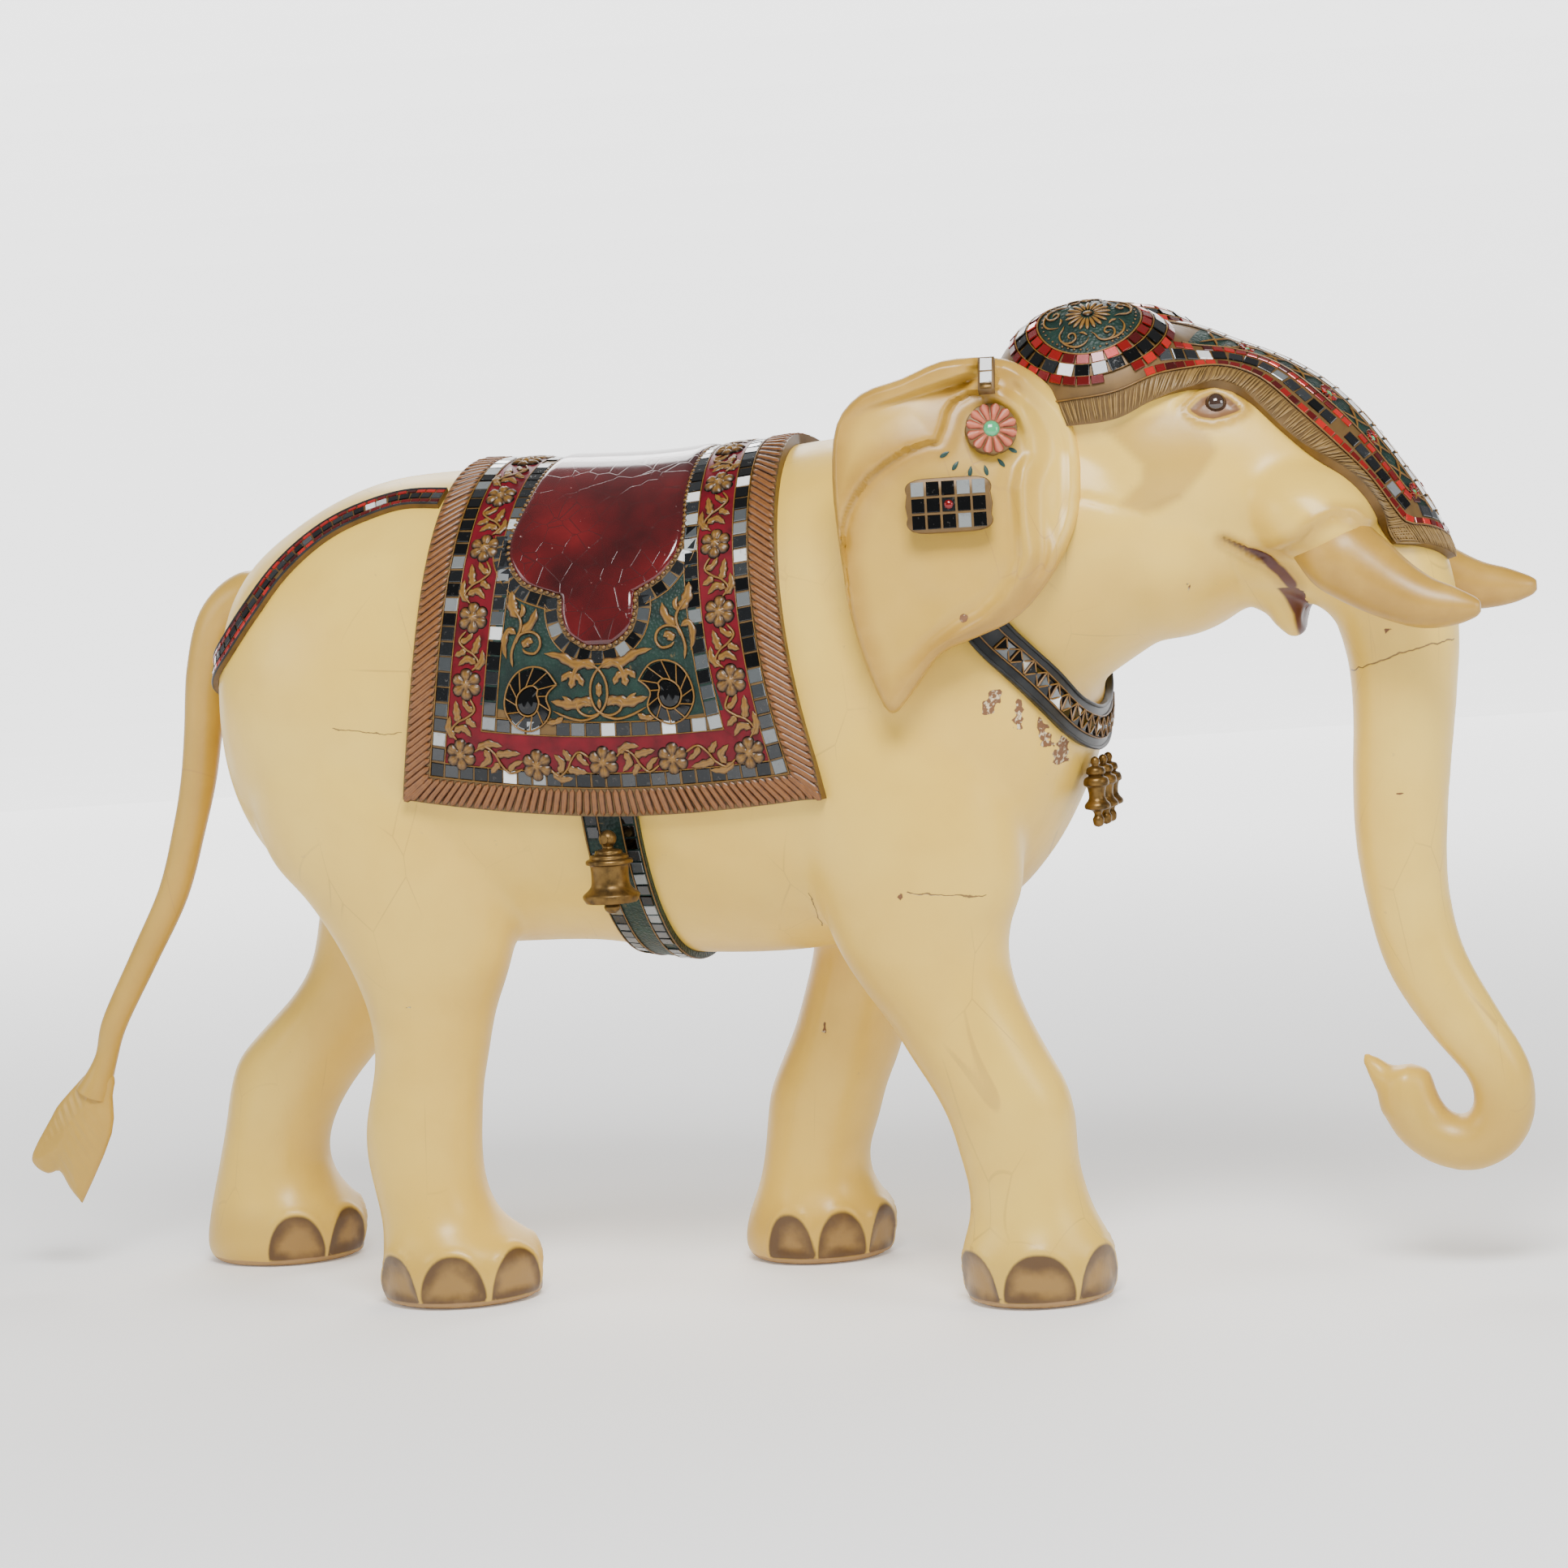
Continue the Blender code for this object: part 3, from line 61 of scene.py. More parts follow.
# ---------------------------------------------------------------- numbers and curves
def smooth_rows(rows, steps):
    """Rows with further ones between them, on a Catmull-Rom curve through each column."""
    rows = np.asarray(rows, float)
    last = len(rows) - 1
    smooth = []
    for index in range(last):
        a, b = rows[max(index - 1, 0)], rows[index]
        c, d = rows[index + 1], rows[min(index + 2, last)]
        for step in range(steps):
            t = step / steps
            bend = 2 * a - 5 * b + 4 * c - d
            smooth.append(b + 0.5 * t * (c - a + t * (bend + t * (3 * b - a - 3 * c + d))))
    smooth.append(rows[-1])
    return np.array(smooth)


def smoothstep(low, high, value):
    """0 below low, 1 above high and a soft rise between."""
    t = np.clip((value - low) / (high - low), 0.0, 1.0)
    return t * t * (3 - 2 * t)


def unit(vectors):
    """Vectors scaled to length 1 along the last axis."""
    vectors = np.asarray(vectors, float)
    return vectors / np.maximum(np.linalg.norm(vectors, axis=-1, keepdims=True), 1e-12)


def path_distance(points, path):
    """Distance from 2-D points to a polyline."""
    best = np.full(len(points), 1e9)
    for start, end in zip(path[:-1], path[1:]):
        start, along = np.asarray(start), np.asarray(end) - np.asarray(start)
        t = np.clip(((points - start) @ along) / max(along @ along, 1e-12), 0.0, 1.0)
        best = np.minimum(best, np.linalg.norm(points - start - t[:, None] * along, axis=1))
    return best


def outline_distance(points, outline):
    """Distance from 2-D points to a closed outline, negative inside it."""
    closed = list(outline) + [outline[0]]
    distance = path_distance(points, closed)
    inside = np.zeros(len(points), bool)
    for (x0, z0), (x1, z1) in zip(closed[:-1], closed[1:]):
        if z0 == z1:
            continue
        crosses = (points[:, 1] < z0) != (points[:, 1] < z1)
        at = x0 + (points[:, 1] - z0) * (x1 - x0) / (z1 - z0)
        inside ^= crosses & (points[:, 0] < at)
    return np.where(inside, -distance, distance)


def lengths(points):
    """Arc length at each point of a polyline."""
    steps = np.linalg.norm(np.diff(points, axis=0), axis=1)
    return np.concatenate(([0.0], np.cumsum(steps)))


def resample(points, count):
    """Points spread evenly along a polyline."""
    at = lengths(points)
    wanted = np.linspace(0.0, at[-1], count)
    return np.stack([np.interp(wanted, at, points[:, k]) for k in range(points.shape[1])], 1)


# ---------------------------------------------------------------- meshes
class Bag:
    """Gathers many small shapes into one mesh, with a tone and a rise at each vertex."""

    def __init__(self):
        self.points, self.faces, self.tones, self.rises = [], [], [], []
        self.count = 0

    def add(self, points, faces, tone=0.5, rise=1.0):
        """Add vertices and faces; tone picks a colour and rise is 0 in hollows and 1 on tops."""
        points = np.asarray(points, float).reshape(-1, 3)
        self.points.append(points)
        self.faces.extend(tuple(int(i) + self.count for i in face) for face in faces)
        self.tones.append(np.broadcast_to(np.asarray(tone, float), (len(points),)))
        self.rises.append(np.broadcast_to(np.asarray(rise, float).reshape(-1), (len(points),)))
        self.count += len(points)

    def grid(self, points, outward=None, tone=0.5, rise=1.0, wrap=False):
        """Add a sheet of rows and columns of points, turned to face outward."""
        rows, columns, _ = points.shape
        index = np.arange(rows * columns).reshape(rows, columns)
        if wrap:
            index = np.concatenate([index, index[:, :1]], 1)
        quads = np.stack([index[:-1, :-1], index[:-1, 1:], index[1:, 1:], index[1:, :-1]], -1)
        quads = quads.reshape(-1, 4)
        flat = points.reshape(-1, 3)
        if outward is not None:
            corner = flat[quads]
            normals = np.cross(corner[:, 2] - corner[:, 0], corner[:, 3] - corner[:, 1])
            if (normals @ np.asarray(outward)).sum() < 0:
                quads = quads[:, ::-1]
        self.add(flat, quads, tone, rise)

    def tile(self, centre, along, normal, length, width, height, tone, bevel=0.0006, tilt=0.0):
        """Add a bevelled plate: a hand-cut tile or a small block."""
        along, normal = unit(along), unit(normal)
        side = unit(np.cross(normal, along))
        if tilt:
            lean, pitch = rng.uniform(-tilt, tilt), rng.uniform(-tilt, tilt)
            normal = unit(normal + side * lean + along * pitch)
            along = unit(along - normal * (along @ normal))
            side = np.cross(normal, along)
        shapes = ((0.0, 0.0), (height - bevel, 0.0), (height, bevel))
        rings = []
        for lift, inset in shapes:
            for i, j in ((-1, -1), (1, -1), (1, 1), (-1, 1)):
                rings.append(centre + along * i * (length / 2 - inset)
                             + side * j * (width / 2 - inset) + normal * lift)
        faces = []
        for ring in (0, 4):
            for index in range(4):
                following = (index + 1) % 4
                faces.append((ring + index, ring + following,
                              ring + 4 + following, ring + 4 + index))
        faces.append((8, 9, 10, 11))
        self.add(rings, faces, tone)

    def bead(self, centre, normal, radius, tone=0.5, segments=8, squash=0.8):
        """Add a domed bead that sits on a surface."""
        normal = unit(normal)
        across = unit(np.cross(normal, (0.31, 0.87, 0.39)))
        side = np.cross(normal, across)
        points = []
        rise = []
        for level in range(3):
            angle = level * math.pi / 6
            for index in range(segments):
                turn = 2 * math.pi * index / segments
                flat = across * math.cos(turn) + side * math.sin(turn)
                points.append(centre + flat * radius * math.cos(angle)
                              + normal * radius * squash * math.sin(angle))
                rise.append(level / 3)
        points.append(centre + normal * radius * squash)
        rise.append(1.0)
        faces = []
        for level in range(2):
            for index in range(segments):
                following = (index + 1) % segments
                faces.append((level * segments + index, level * segments + following,
                              (level + 1) * segments + following, (level + 1) * segments + index))
        for index in range(segments):
            faces.append((2 * segments + index, 2 * segments + (index + 1) % segments,
                          3 * segments))
        self.add(points, faces, tone, rise)

    def mesh(self, name):
        """Plain mesh of all that was gathered."""
        mesh = bpy.data.meshes.new(name)
        mesh.from_pydata(np.concatenate(self.points).tolist(), [], self.faces)
        return mesh

    def welded(self, name, gap=0.00002):
        """Closed mesh of the gathered sheets: seams joined and faces turned outward."""
        mesh = self.mesh(name)
        bm = bmesh.new()
        bm.from_mesh(mesh)
        bmesh.ops.remove_doubles(bm, verts=bm.verts, dist=gap)
        bmesh.ops.recalc_face_normals(bm, faces=bm.faces)
        bm.to_mesh(mesh)
        bm.free()
        return mesh

    def build(self, name, material, body=ROOT, smooth=True):
        """Make the object, ride it on its body and return it."""
        mesh = self.mesh(name)
        tone = mesh.attributes.new("tone", "FLOAT", "POINT")
        tone.data.foreach_set("value", np.concatenate(self.tones).astype(np.float32))
        rise = mesh.attributes.new("rise", "FLOAT", "POINT")
        rise.data.foreach_set("value", np.concatenate(self.rises).astype(np.float32))
        mesh.validate()
        return place_mesh(name, mesh, material, body, smooth)


def place_mesh(name, mesh, material, body=ROOT, smooth=True, sharp=None):
    """Object from a mesh in the part's frame, riding on a body."""
    obj = bpy.data.objects.new(name, mesh)
    bpy.context.scene.collection.objects.link(obj)
    mesh.materials.clear()
    mesh.materials.append(material)
    if smooth:
        mesh.shade_smooth()
        if sharp is not None:
            mesh.set_sharp_from_angle(angle=math.radians(sharp))
    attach(obj, body)
    return obj


def coordinates(mesh):
    """Vertex positions as an array."""
    points = np.empty(len(mesh.vertices) * 3)
    mesh.vertices.foreach_get("co", points)
    return points.reshape(-1, 3)


def set_coordinates(mesh, points):
    """Write vertex positions back."""
    mesh.vertices.foreach_set("co", np.asarray(points, float).reshape(-1))
    mesh.update()


def vertex_normals(mesh):
    """Smooth vertex normals as an array."""
    normals = np.empty(len(mesh.vertices) * 3, np.float32)
    mesh.vertices.foreach_get("normal", normals)
    return normals.reshape(-1, 3).astype(float)


def relax(mesh, rounds, weight=None, factor=0.5):
    """Even out the surface by moving each vertex towards its neighbours."""
    points = coordinates(mesh)
    edges = np.empty(len(mesh.edges) * 2, np.int32)
    mesh.edges.foreach_get("vertices", edges)
    one, two = edges.reshape(-1, 2).T
    count = len(points)
    degree = np.bincount(one, minlength=count) + np.bincount(two, minlength=count)
    degree = np.maximum(degree, 1)[:, None]
    share = factor if weight is None else factor * weight[:, None]
    for _ in range(rounds):
        total = np.empty_like(points)
        for k in range(3):
            total[:, k] = (np.bincount(one, points[two, k], count)
                           + np.bincount(two, points[one, k], count))
        points += share * (total / degree - points)
    set_coordinates(mesh, points)


def set_attribute(mesh, name, values):
    """Store one number at each vertex for the material to read."""
    layer = mesh.attributes.get(name) or mesh.attributes.new(name, "FLOAT", "POINT")
    layer.data.foreach_set("value", np.asarray(values, np.float32))


def skin_over(mesh):
    """Search tree over a mesh."""
    bm = bmesh.new()
    bm.from_mesh(mesh)
    tree = BVHTree.FromBMesh(bm)
    bm.free()
    return tree


def superellipse_ring(centre, lean, half_width, up, down, sides, power=2.0):
    """Ring across an axis that leans by an angle in the XZ plane."""
    a = math.radians(lean)
    normal = np.array((-math.sin(a), 0.0, math.cos(a)))
    turn = 2 * math.pi * np.arange(sides) / sides
    c, s = np.cos(turn), np.sin(turn)
    across = np.sign(c) * np.abs(c) ** (2 / power)
    along = np.sign(s) * np.abs(s) ** (2 / power)
    reach = np.where(along > 0, up, down) * along
    return centre + np.outer(reach, normal) + np.outer(across * half_width, (0.0, 1.0, 0.0))


def tube_rings(rows, side=0.0, sides=48, steps=5, power=2.0):
    """Rings through rows of (x, z, lean, half_width, up, down), set at Y = side."""
    rings = []
    for x, z, lean, half_width, up, down in smooth_rows(rows, steps):
        centre = np.array((x, side, z)) + ORIGIN
        rings.append(superellipse_ring(centre, lean, half_width, up, down, sides, power))
    return np.array(rings)


def solid_from_rings(bm, rings):
    """Closed tube through rings, added to a bmesh."""
    loops = [[bm.verts.new(point) for point in ring] for ring in rings]
    count = len(loops[0])
    for lower, upper in zip(loops, loops[1:]):
        for index in range(count):
            following = (index + 1) % count
            bm.faces.new((lower[index], lower[following], upper[following], upper[index]))
    for loop, turn in ((loops[0], -1), (loops[-1], 1)):
        middle = bm.verts.new(sum((vert.co for vert in loop), Vector()) / count)
        for index in range(count):
            pair = (loop[index], loop[(index + 1) % count])[::turn]
            bm.faces.new((*pair, middle))


def add_ball(bm, centre, radii, lean, segments=40, rings=24):
    """Ball scaled to three radii, added to a bmesh."""
    turn = Matrix.Rotation(-math.radians(lean), 4, "Y")
    placed = Matrix.Translation(Vector(centre) + Vector(ORIGIN)) @ turn
    placed = placed @ Matrix.Diagonal((*radii, 1.0))
    bmesh.ops.create_uvsphere(
        bm, u_segments=segments, v_segments=rings, radius=1.0, matrix=placed)


def mesh_of(bm, name):
    """Finished mesh from a bmesh, faces outward."""
    bmesh.ops.recalc_face_normals(bm, faces=bm.faces)
    mesh = bpy.data.meshes.new(name)
    bm.to_mesh(mesh)
    bm.free()
    return mesh


# ---------------------------------------------------------------- rows shared with the CAD
# x, z, lean, half width, reach up (or forward), reach down (or back)
TORSO = (
    (-0.571, 0.598, 0, 0.018, 0.030, 0.030),
    (-0.565, 0.598, 0, 0.070, 0.080, 0.080),
    (-0.552, 0.600, 0, 0.110, 0.125, 0.125),
    (-0.528, 0.603, 0, 0.143, 0.153, 0.163),
    (-0.490, 0.604, 0, 0.168, 0.179, 0.200),
    (-0.440, 0.603, 0, 0.184, 0.206, 0.234),
    (-0.380, 0.598, 0, 0.191, 0.228, 0.245),
    (-0.290, 0.593, 0, 0.193, 0.236, 0.240),
    (-0.190, 0.590, 0, 0.193, 0.234, 0.238),
    (-0.100, 0.588, 0, 0.192, 0.234, 0.250),
    (0.000, 0.590, 0, 0.189, 0.239, 0.254),
    (0.080, 0.595, 0, 0.186, 0.241, 0.250),
    (0.155, 0.600, 0, 0.180, 0.243, 0.240),
    (0.218, 0.603, 0, 0.166, 0.235, 0.225),
    (0.262, 0.600, 0, 0.147, 0.200, 0.180),
    (0.292, 0.588, 0, 0.118, 0.135, 0.120),
    (0.310, 0.575, 0, 0.082, 0.080, 0.068),
    (0.320, 0.567, 0, 0.030, 0.032, 0.030),
)
NECK = (
    (0.120, 0.655, 20, 0.150, 0.180, 0.150),
    (0.220, 0.690, 22, 0.158, 0.175, 0.143),
    (0.300, 0.718, 25, 0.152, 0.170, 0.126),
    (0.380, 0.740, 25, 0.138, 0.165, 0.102),
    (0.430, 0.755, 25, 0.100, 0.120, 0.080),
)
BROW = (
    (0.360, 0.800, -5, 0.090, 0.090, 0.090),
    (0.420, 0.797, -20, 0.116, 0.106, 0.115),
    (0.485, 0.763, -35, 0.110, 0.112, 0.112),
    (0.545, 0.720, -50, 0.094, 0.091, 0.095),
    (0.592, 0.665, -68, 0.075, 0.075, 0.052),
    (0.616, 0.615, -82, 0.063, 0.055, 0.054),
    (0.616, 0.555, -88, 0.055, 0.049, 0.049),
    (0.610, 0.494, -92, 0.049, 0.0465, 0.0465),
    (0.606, 0.433, -91, 0.045, 0.044, 0.044),
    (0.609, 0.372, -84, 0.041, 0.040, 0.040),
    (0.623, 0.310, -73, 0.038, 0.038, 0.038),
    (0.655, 0.252, -66, 0.034, 0.0345, 0.0345),
    (0.684, 0.208, -76, 0.031, 0.031, 0.031),
    (0.691, 0.174, -98, 0.030, 0.0295, 0.0295),
    (0.680, 0.147, -133, 0.029, 0.029, 0.029),
    (0.654, 0.134, -168, 0.028, 0.0275, 0.0275),
    (0.627, 0.142, -200, 0.028, 0.028, 0.027),
    (0.608, 0.160, -232, 0.028, 0.029, 0.028),
    (0.599, 0.183, -254, 0.027, 0.029, 0.028),
    (0.598, 0.202, -262, 0.023, 0.026, 0.026),
    (0.597, 0.210, -262, 0.012, 0.016, 0.018),
)
TRUNK_FINGER = (
    (0.592, 0.178, 118, 0.018, 0.018, 0.018),
    (0.577, 0.200, 122, 0.015, 0.013, 0.013),
    (0.565, 0.214, 125, 0.009, 0.007, 0.008),
    (0.558, 0.221, 125, 0.003, 0.003, 0.003),
)
LOWER_LIP = (
    (0.400, 0.695, -12, 0.095, 0.060, 0.065),
    (0.455, 0.681, -20, 0.072, 0.040, 0.030),
    (0.492, 0.668, -42, 0.048, 0.024, 0.024),
    (0.512, 0.648, -70, 0.034, 0.020, 0.020),
    (0.516, 0.633, -84, 0.021, 0.013, 0.014),
    (0.514, 0.625, -88, 0.008, 0.005, 0.006),
)
LIP_POINT = (
    (0.452, 0.690, -30, 0.068, 0.034, 0.034),
    (0.486, 0.676, -42, 0.056, 0.031, 0.026),
    (0.505, 0.658, -58, 0.046, 0.028, 0.019),
    (0.514, 0.640, -72, 0.034, 0.020, 0.018),
    (0.517, 0.627, -82, 0.020, 0.012, 0.012),
    (0.516, 0.619, -88, 0.006, 0.004, 0.004),
)
REAR_RIGHT = (
    (-0.400, 0.600, -90, 0.076, 0.120, 0.120),
    (-0.388, 0.520, -90, 0.086, 0.134, 0.134),
    (-0.373, 0.456, -90, 0.086, 0.131, 0.131),
    (-0.358, 0.415, -90, 0.081, 0.111, 0.111),
    (-0.348, 0.374, -90, 0.075, 0.094, 0.094),
    (-0.344, 0.334, -90, 0.069, 0.078, 0.078),
    (-0.346, 0.293, -90, 0.062, 0.063, 0.063),
    (-0.350, 0.253, -90, 0.058, 0.057, 0.057),
    (-0.357, 0.220, -90, 0.057, 0.056, 0.057),
    (-0.362, 0.188, -90, 0.058, 0.057, 0.060),
    (-0.363, 0.155, -90, 0.059, 0.055, 0.060),
    (-0.360, 0.122, -90, 0.060, 0.054, 0.057),
    (-0.351, 0.090, -90, 0.063, 0.059, 0.060),
    (-0.335, 0.060, -90, 0.071, 0.078, 0.076),
    (-0.334, 0.032, -90, 0.075, 0.083, 0.083),
    (-0.334, 0.017, -90, 0.072, 0.080, 0.080),
    (-0.334, 0.010, -90, 0.064, 0.071, 0.071),
)
REAR_LEFT = (
    (-0.400, 0.600, -90, 0.076, 0.115, 0.115),
    (-0.415, 0.500, -90, 0.086, 0.120, 0.115),
    (-0.440, 0.420, -90, 0.083, 0.110, 0.104),
    (-0.463, 0.370, -90, 0.077, 0.096, 0.090),
    (-0.489, 0.326, -90, 0.070, 0.078, 0.076),
    (-0.515, 0.292, -90, 0.065, 0.072, 0.074),
    (-0.545, 0.259, -90, 0.061, 0.071, 0.080),
    (-0.577, 0.225, -90, 0.059, 0.070, 0.082),
    (-0.601, 0.190, -90, 0.058, 0.062, 0.071),
    (-0.617, 0.155, -90, 0.058, 0.055, 0.062),
    (-0.628, 0.120, -90, 0.060, 0.056, 0.060),
    (-0.627, 0.088, -90, 0.064, 0.066, 0.070),
    (-0.619, 0.056, -90, 0.071, 0.082, 0.086),
    (-0.621, 0.030, -90, 0.074, 0.086, 0.088),
    (-0.622, 0.017, -90, 0.071, 0.082, 0.084),
    (-0.622, 0.010, -90, 0.064, 0.075, 0.077),
)
FRONT_RIGHT = (
    (0.120, 0.600, -90, 0.072, 0.105, 0.105),
    (0.135, 0.520, -90, 0.080, 0.120, 0.120),
    (0.153, 0.450, -90, 0.081, 0.112, 0.112),
    (0.162, 0.399, -90, 0.079, 0.100, 0.099),
    (0.160, 0.368, -90, 0.075, 0.089, 0.087),
    (0.165, 0.337, -90, 0.070, 0.080, 0.078),
    (0.179, 0.305, -90, 0.066, 0.072, 0.072),
    (0.195, 0.274, -90, 0.062, 0.068, 0.066),
    (0.212, 0.242, -90, 0.060, 0.067, 0.065),
    (0.229, 0.211, -90, 0.059, 0.066, 0.063),
    (0.240, 0.180, -90, 0.057, 0.061, 0.060),
    (0.244, 0.148, -90, 0.055, 0.057, 0.056),
    (0.250, 0.117, -90, 0.056, 0.056, 0.055),
    (0.254, 0.088, -90, 0.060, 0.061, 0.060),
    (0.256, 0.060, -90, 0.067, 0.070, 0.069),
    (0.258, 0.032, -90, 0.071, 0.073, 0.073),
    (0.258, 0.017, -90, 0.068, 0.070, 0.070),
    (0.258, 0.010, -90, 0.061, 0.062, 0.062),
)
FRONT_LEFT = (
    (0.100, 0.600, -90, 0.072, 0.105, 0.105),
    (0.092, 0.520, -90, 0.080, 0.112, 0.105),
    (0.080, 0.450, -90, 0.081, 0.105, 0.090),
    (0.070, 0.400, -90, 0.078, 0.090, 0.076),
    (0.059, 0.360, -90, 0.073, 0.076, 0.064),
    (0.045, 0.318, -90, 0.068, 0.064, 0.057),
    (0.032, 0.280, -90, 0.064, 0.058, 0.056),
    (0.021, 0.247, -90, 0.061, 0.058, 0.057),
    (0.008, 0.214, -90, 0.059, 0.060, 0.060),
    (-0.007, 0.181, -90, 0.058, 0.060, 0.060),
    (-0.015, 0.147, -90, 0.057, 0.057, 0.058),
    (-0.023, 0.114, -90, 0.057, 0.053, 0.055),
    (-0.026, 0.084, -90, 0.060, 0.060, 0.060),
    (-0.024, 0.054, -90, 0.067, 0.075, 0.074),
    (-0.026, 0.030, -90, 0.070, 0.077, 0.077),
    (-0.026, 0.017, -90, 0.068, 0.074, 0.074),
    (-0.026, 0.010, -90, 0.061, 0.067, 0.067),
)
TUSK = (
    (0.538, 0.731, -40, 0.030, 0.030, 0.030),
    (0.572, 0.704, -39, 0.036, 0.037, 0.037),
    (0.600, 0.682, -36, 0.033, 0.035, 0.034),
    (0.630, 0.662, -29, 0.028, 0.029, 0.028),
    (0.658, 0.649, -16, 0.023, 0.024, 0.023),
    (0.684, 0.645, -3, 0.017, 0.018, 0.017),
    (0.702, 0.644, 2, 0.010, 0.010, 0.010),
    (0.708, 0.644, 2, 0.005, 0.005, 0.005),
)
TAIL = (
    (-0.525, 0.712, -170, 0.022, 0.022, 0.022),
    (-0.560, 0.716, -160, 0.026, 0.024, 0.026),
    (-0.593, 0.690, -125, 0.026, 0.024, 0.027),
    (-0.613, 0.640, -105, 0.023, 0.021, 0.024),
    (-0.624, 0.580, -96, 0.020, 0.019, 0.021),
    (-0.634, 0.530, -99, 0.018, 0.018, 0.019),
    (-0.649, 0.480, -103, 0.016, 0.017, 0.017),
    (-0.673, 0.413, -113, 0.015, 0.016, 0.016),
    (-0.712, 0.346, -121, 0.014, 0.0145, 0.015),
    (-0.752, 0.279, -110, 0.013, 0.0135, 0.0135),
    (-0.766, 0.240, -106, 0.012, 0.012, 0.012),
    (-0.784, 0.203, -116, 0.017, 0.018, 0.019),
    (-0.806, 0.165, -119, 0.018, 0.027, 0.031),
    (-0.828, 0.130, -118, 0.014, 0.024, 0.036),
    (-0.843, 0.102, -116, 0.006, 0.010, 0.017),
)
EAR_OUTLINE = (
    (0.277, 0.898), (0.240, 0.897), (0.203, 0.883), (0.166, 0.872), (0.141, 0.845),
    (0.134, 0.796), (0.137, 0.735), (0.143, 0.668), (0.158, 0.612), (0.175, 0.577),
    (0.195, 0.594), (0.223, 0.628), (0.253, 0.641), (0.287, 0.655), (0.313, 0.678),
    (0.339, 0.719), (0.350, 0.772), (0.342, 0.835), (0.321, 0.874), (0.299, 0.892),
)
SEAT_HALF = (
    (0.000, -0.197, -0.045),
    (0.150, -0.197, -0.044),
    (0.300, -0.198, -0.0425),
    (0.450, -0.200, -0.041),
    (0.600, -0.203, -0.039),
    (0.742, -0.209, -0.035),
    (0.863, -0.207, -0.037),
    (0.980, -0.190, -0.052),
    (1.040, -0.160, -0.072),
    (1.060, -0.151, -0.077),
    (1.150, -0.149, -0.077),
    (1.240, -0.141, -0.083),
    (1.300, -0.122, -0.100),
)
GIRTH_ROUTE = (
    (-0.117, -0.186, 0.508),
    (-0.117, -0.176, 0.4805),
    (-0.117, -0.162, 0.446),
    (-0.117, -0.141, 0.412),
    (-0.117, -0.106, 0.376),
    (-0.117, -0.050, 0.347),
    (-0.117, 0.000, 0.338),
)
CRUPPER_ROUTE = (
    (-0.2985, -0.0995, 0.800),
    (-0.340, -0.0970, 0.801),
    (-0.380, -0.1065, 0.792),
    (-0.420, -0.1170, 0.774),
    (-0.460, -0.1320, 0.742),
    (-0.492, -0.1410, 0.702),
    (-0.520, -0.1280, 0.664),
    (-0.545, -0.0900, 0.640),
    (-0.562, -0.0450, 0.627),
    (-0.569, 0.000, 0.622),
)
COLLAR_ROUTE = (
    (0.175, 0.000, 0.868),
    (0.188, -0.080, 0.852),
    (0.203, -0.135, 0.805),
    (0.219, -0.162, 0.745),
    (0.236, -0.162, 0.690),
    (0.257, -0.147, 0.645),
    (0.286, -0.124, 0.6065),
    (0.309, -0.088, 0.5695),
    (0.318, -0.050, 0.551),
    (0.322, 0.000, 0.543),
)
CAP_ROWS = (
    (0.352, 0.800, 150, 0.267, -0.087, 0.896),
    (0.355, 0.803, 138, 0.287, -0.112, 0.881),
    (0.360, 0.805, 126, 0.305, -0.123, 0.866),
    (0.366, 0.802, 114, 0.3295, -0.128, 0.835),
    (0.374, 0.800, 102, 0.351, -0.129, 0.832),
    (0.390, 0.796, 89, 0.387, -0.123, 0.834),
    (0.410, 0.790, 78, 0.417, -0.111, 0.847),
    (0.435, 0.785, 68, 0.458, -0.092, 0.858),
    (0.460, 0.770, 59, 0.494, -0.086, 0.850),
    (0.487, 0.750, 51, 0.524, -0.088, 0.819),
    (0.520, 0.725, 44, 0.558, -0.086, 0.786),
    (0.550, 0.703, 36, 0.588, -0.084, 0.757),
    (0.572, 0.686, 27, 0.606, -0.077, 0.731),
    (0.586, 0.674, 19, 0.614, -0.067, 0.713),
    (0.594, 0.668, 13, 0.620, -0.059, 0.700),
)
BELL_OUTSIDE = (
    (0.0000, 0.0085), (0.0048, 0.0070), (0.0078, 0.0035), (0.0085, 0.0000), (0.0078, -0.0035),
    (0.0052, -0.0068), (0.0056, -0.0090), (0.0125, -0.0110), (0.0135, -0.0140),
    (0.0180, -0.0155), (0.0190, -0.0185), (0.0220, -0.0200), (0.0225, -0.0235),
    (0.0185, -0.0260), (0.0183, -0.0420), (0.0215, -0.0480), (0.0268, -0.0525),
    (0.0270, -0.0560), (0.0245, -0.0605),
)
PENDANT = (
    (0.0000, 0.0100), (0.0032, 0.0085), (0.0044, 0.0045), (0.0034, 0.0010), (0.0080, -0.0010),
    (0.0092, -0.0060), (0.0070, -0.0085), (0.0112, -0.0110), (0.0122, -0.0170),
    (0.0090, -0.0200), (0.0080, -0.0300), (0.0122, -0.0360), (0.0118, -0.0400),
    (0.0058, -0.0420), (0.0036, -0.0460), (0.0054, -0.0500), (0.0044, -0.0560),
    (0.0000, -0.0580),
)
TRACK = 0.105
LEG_JOINT_Z = 0.398
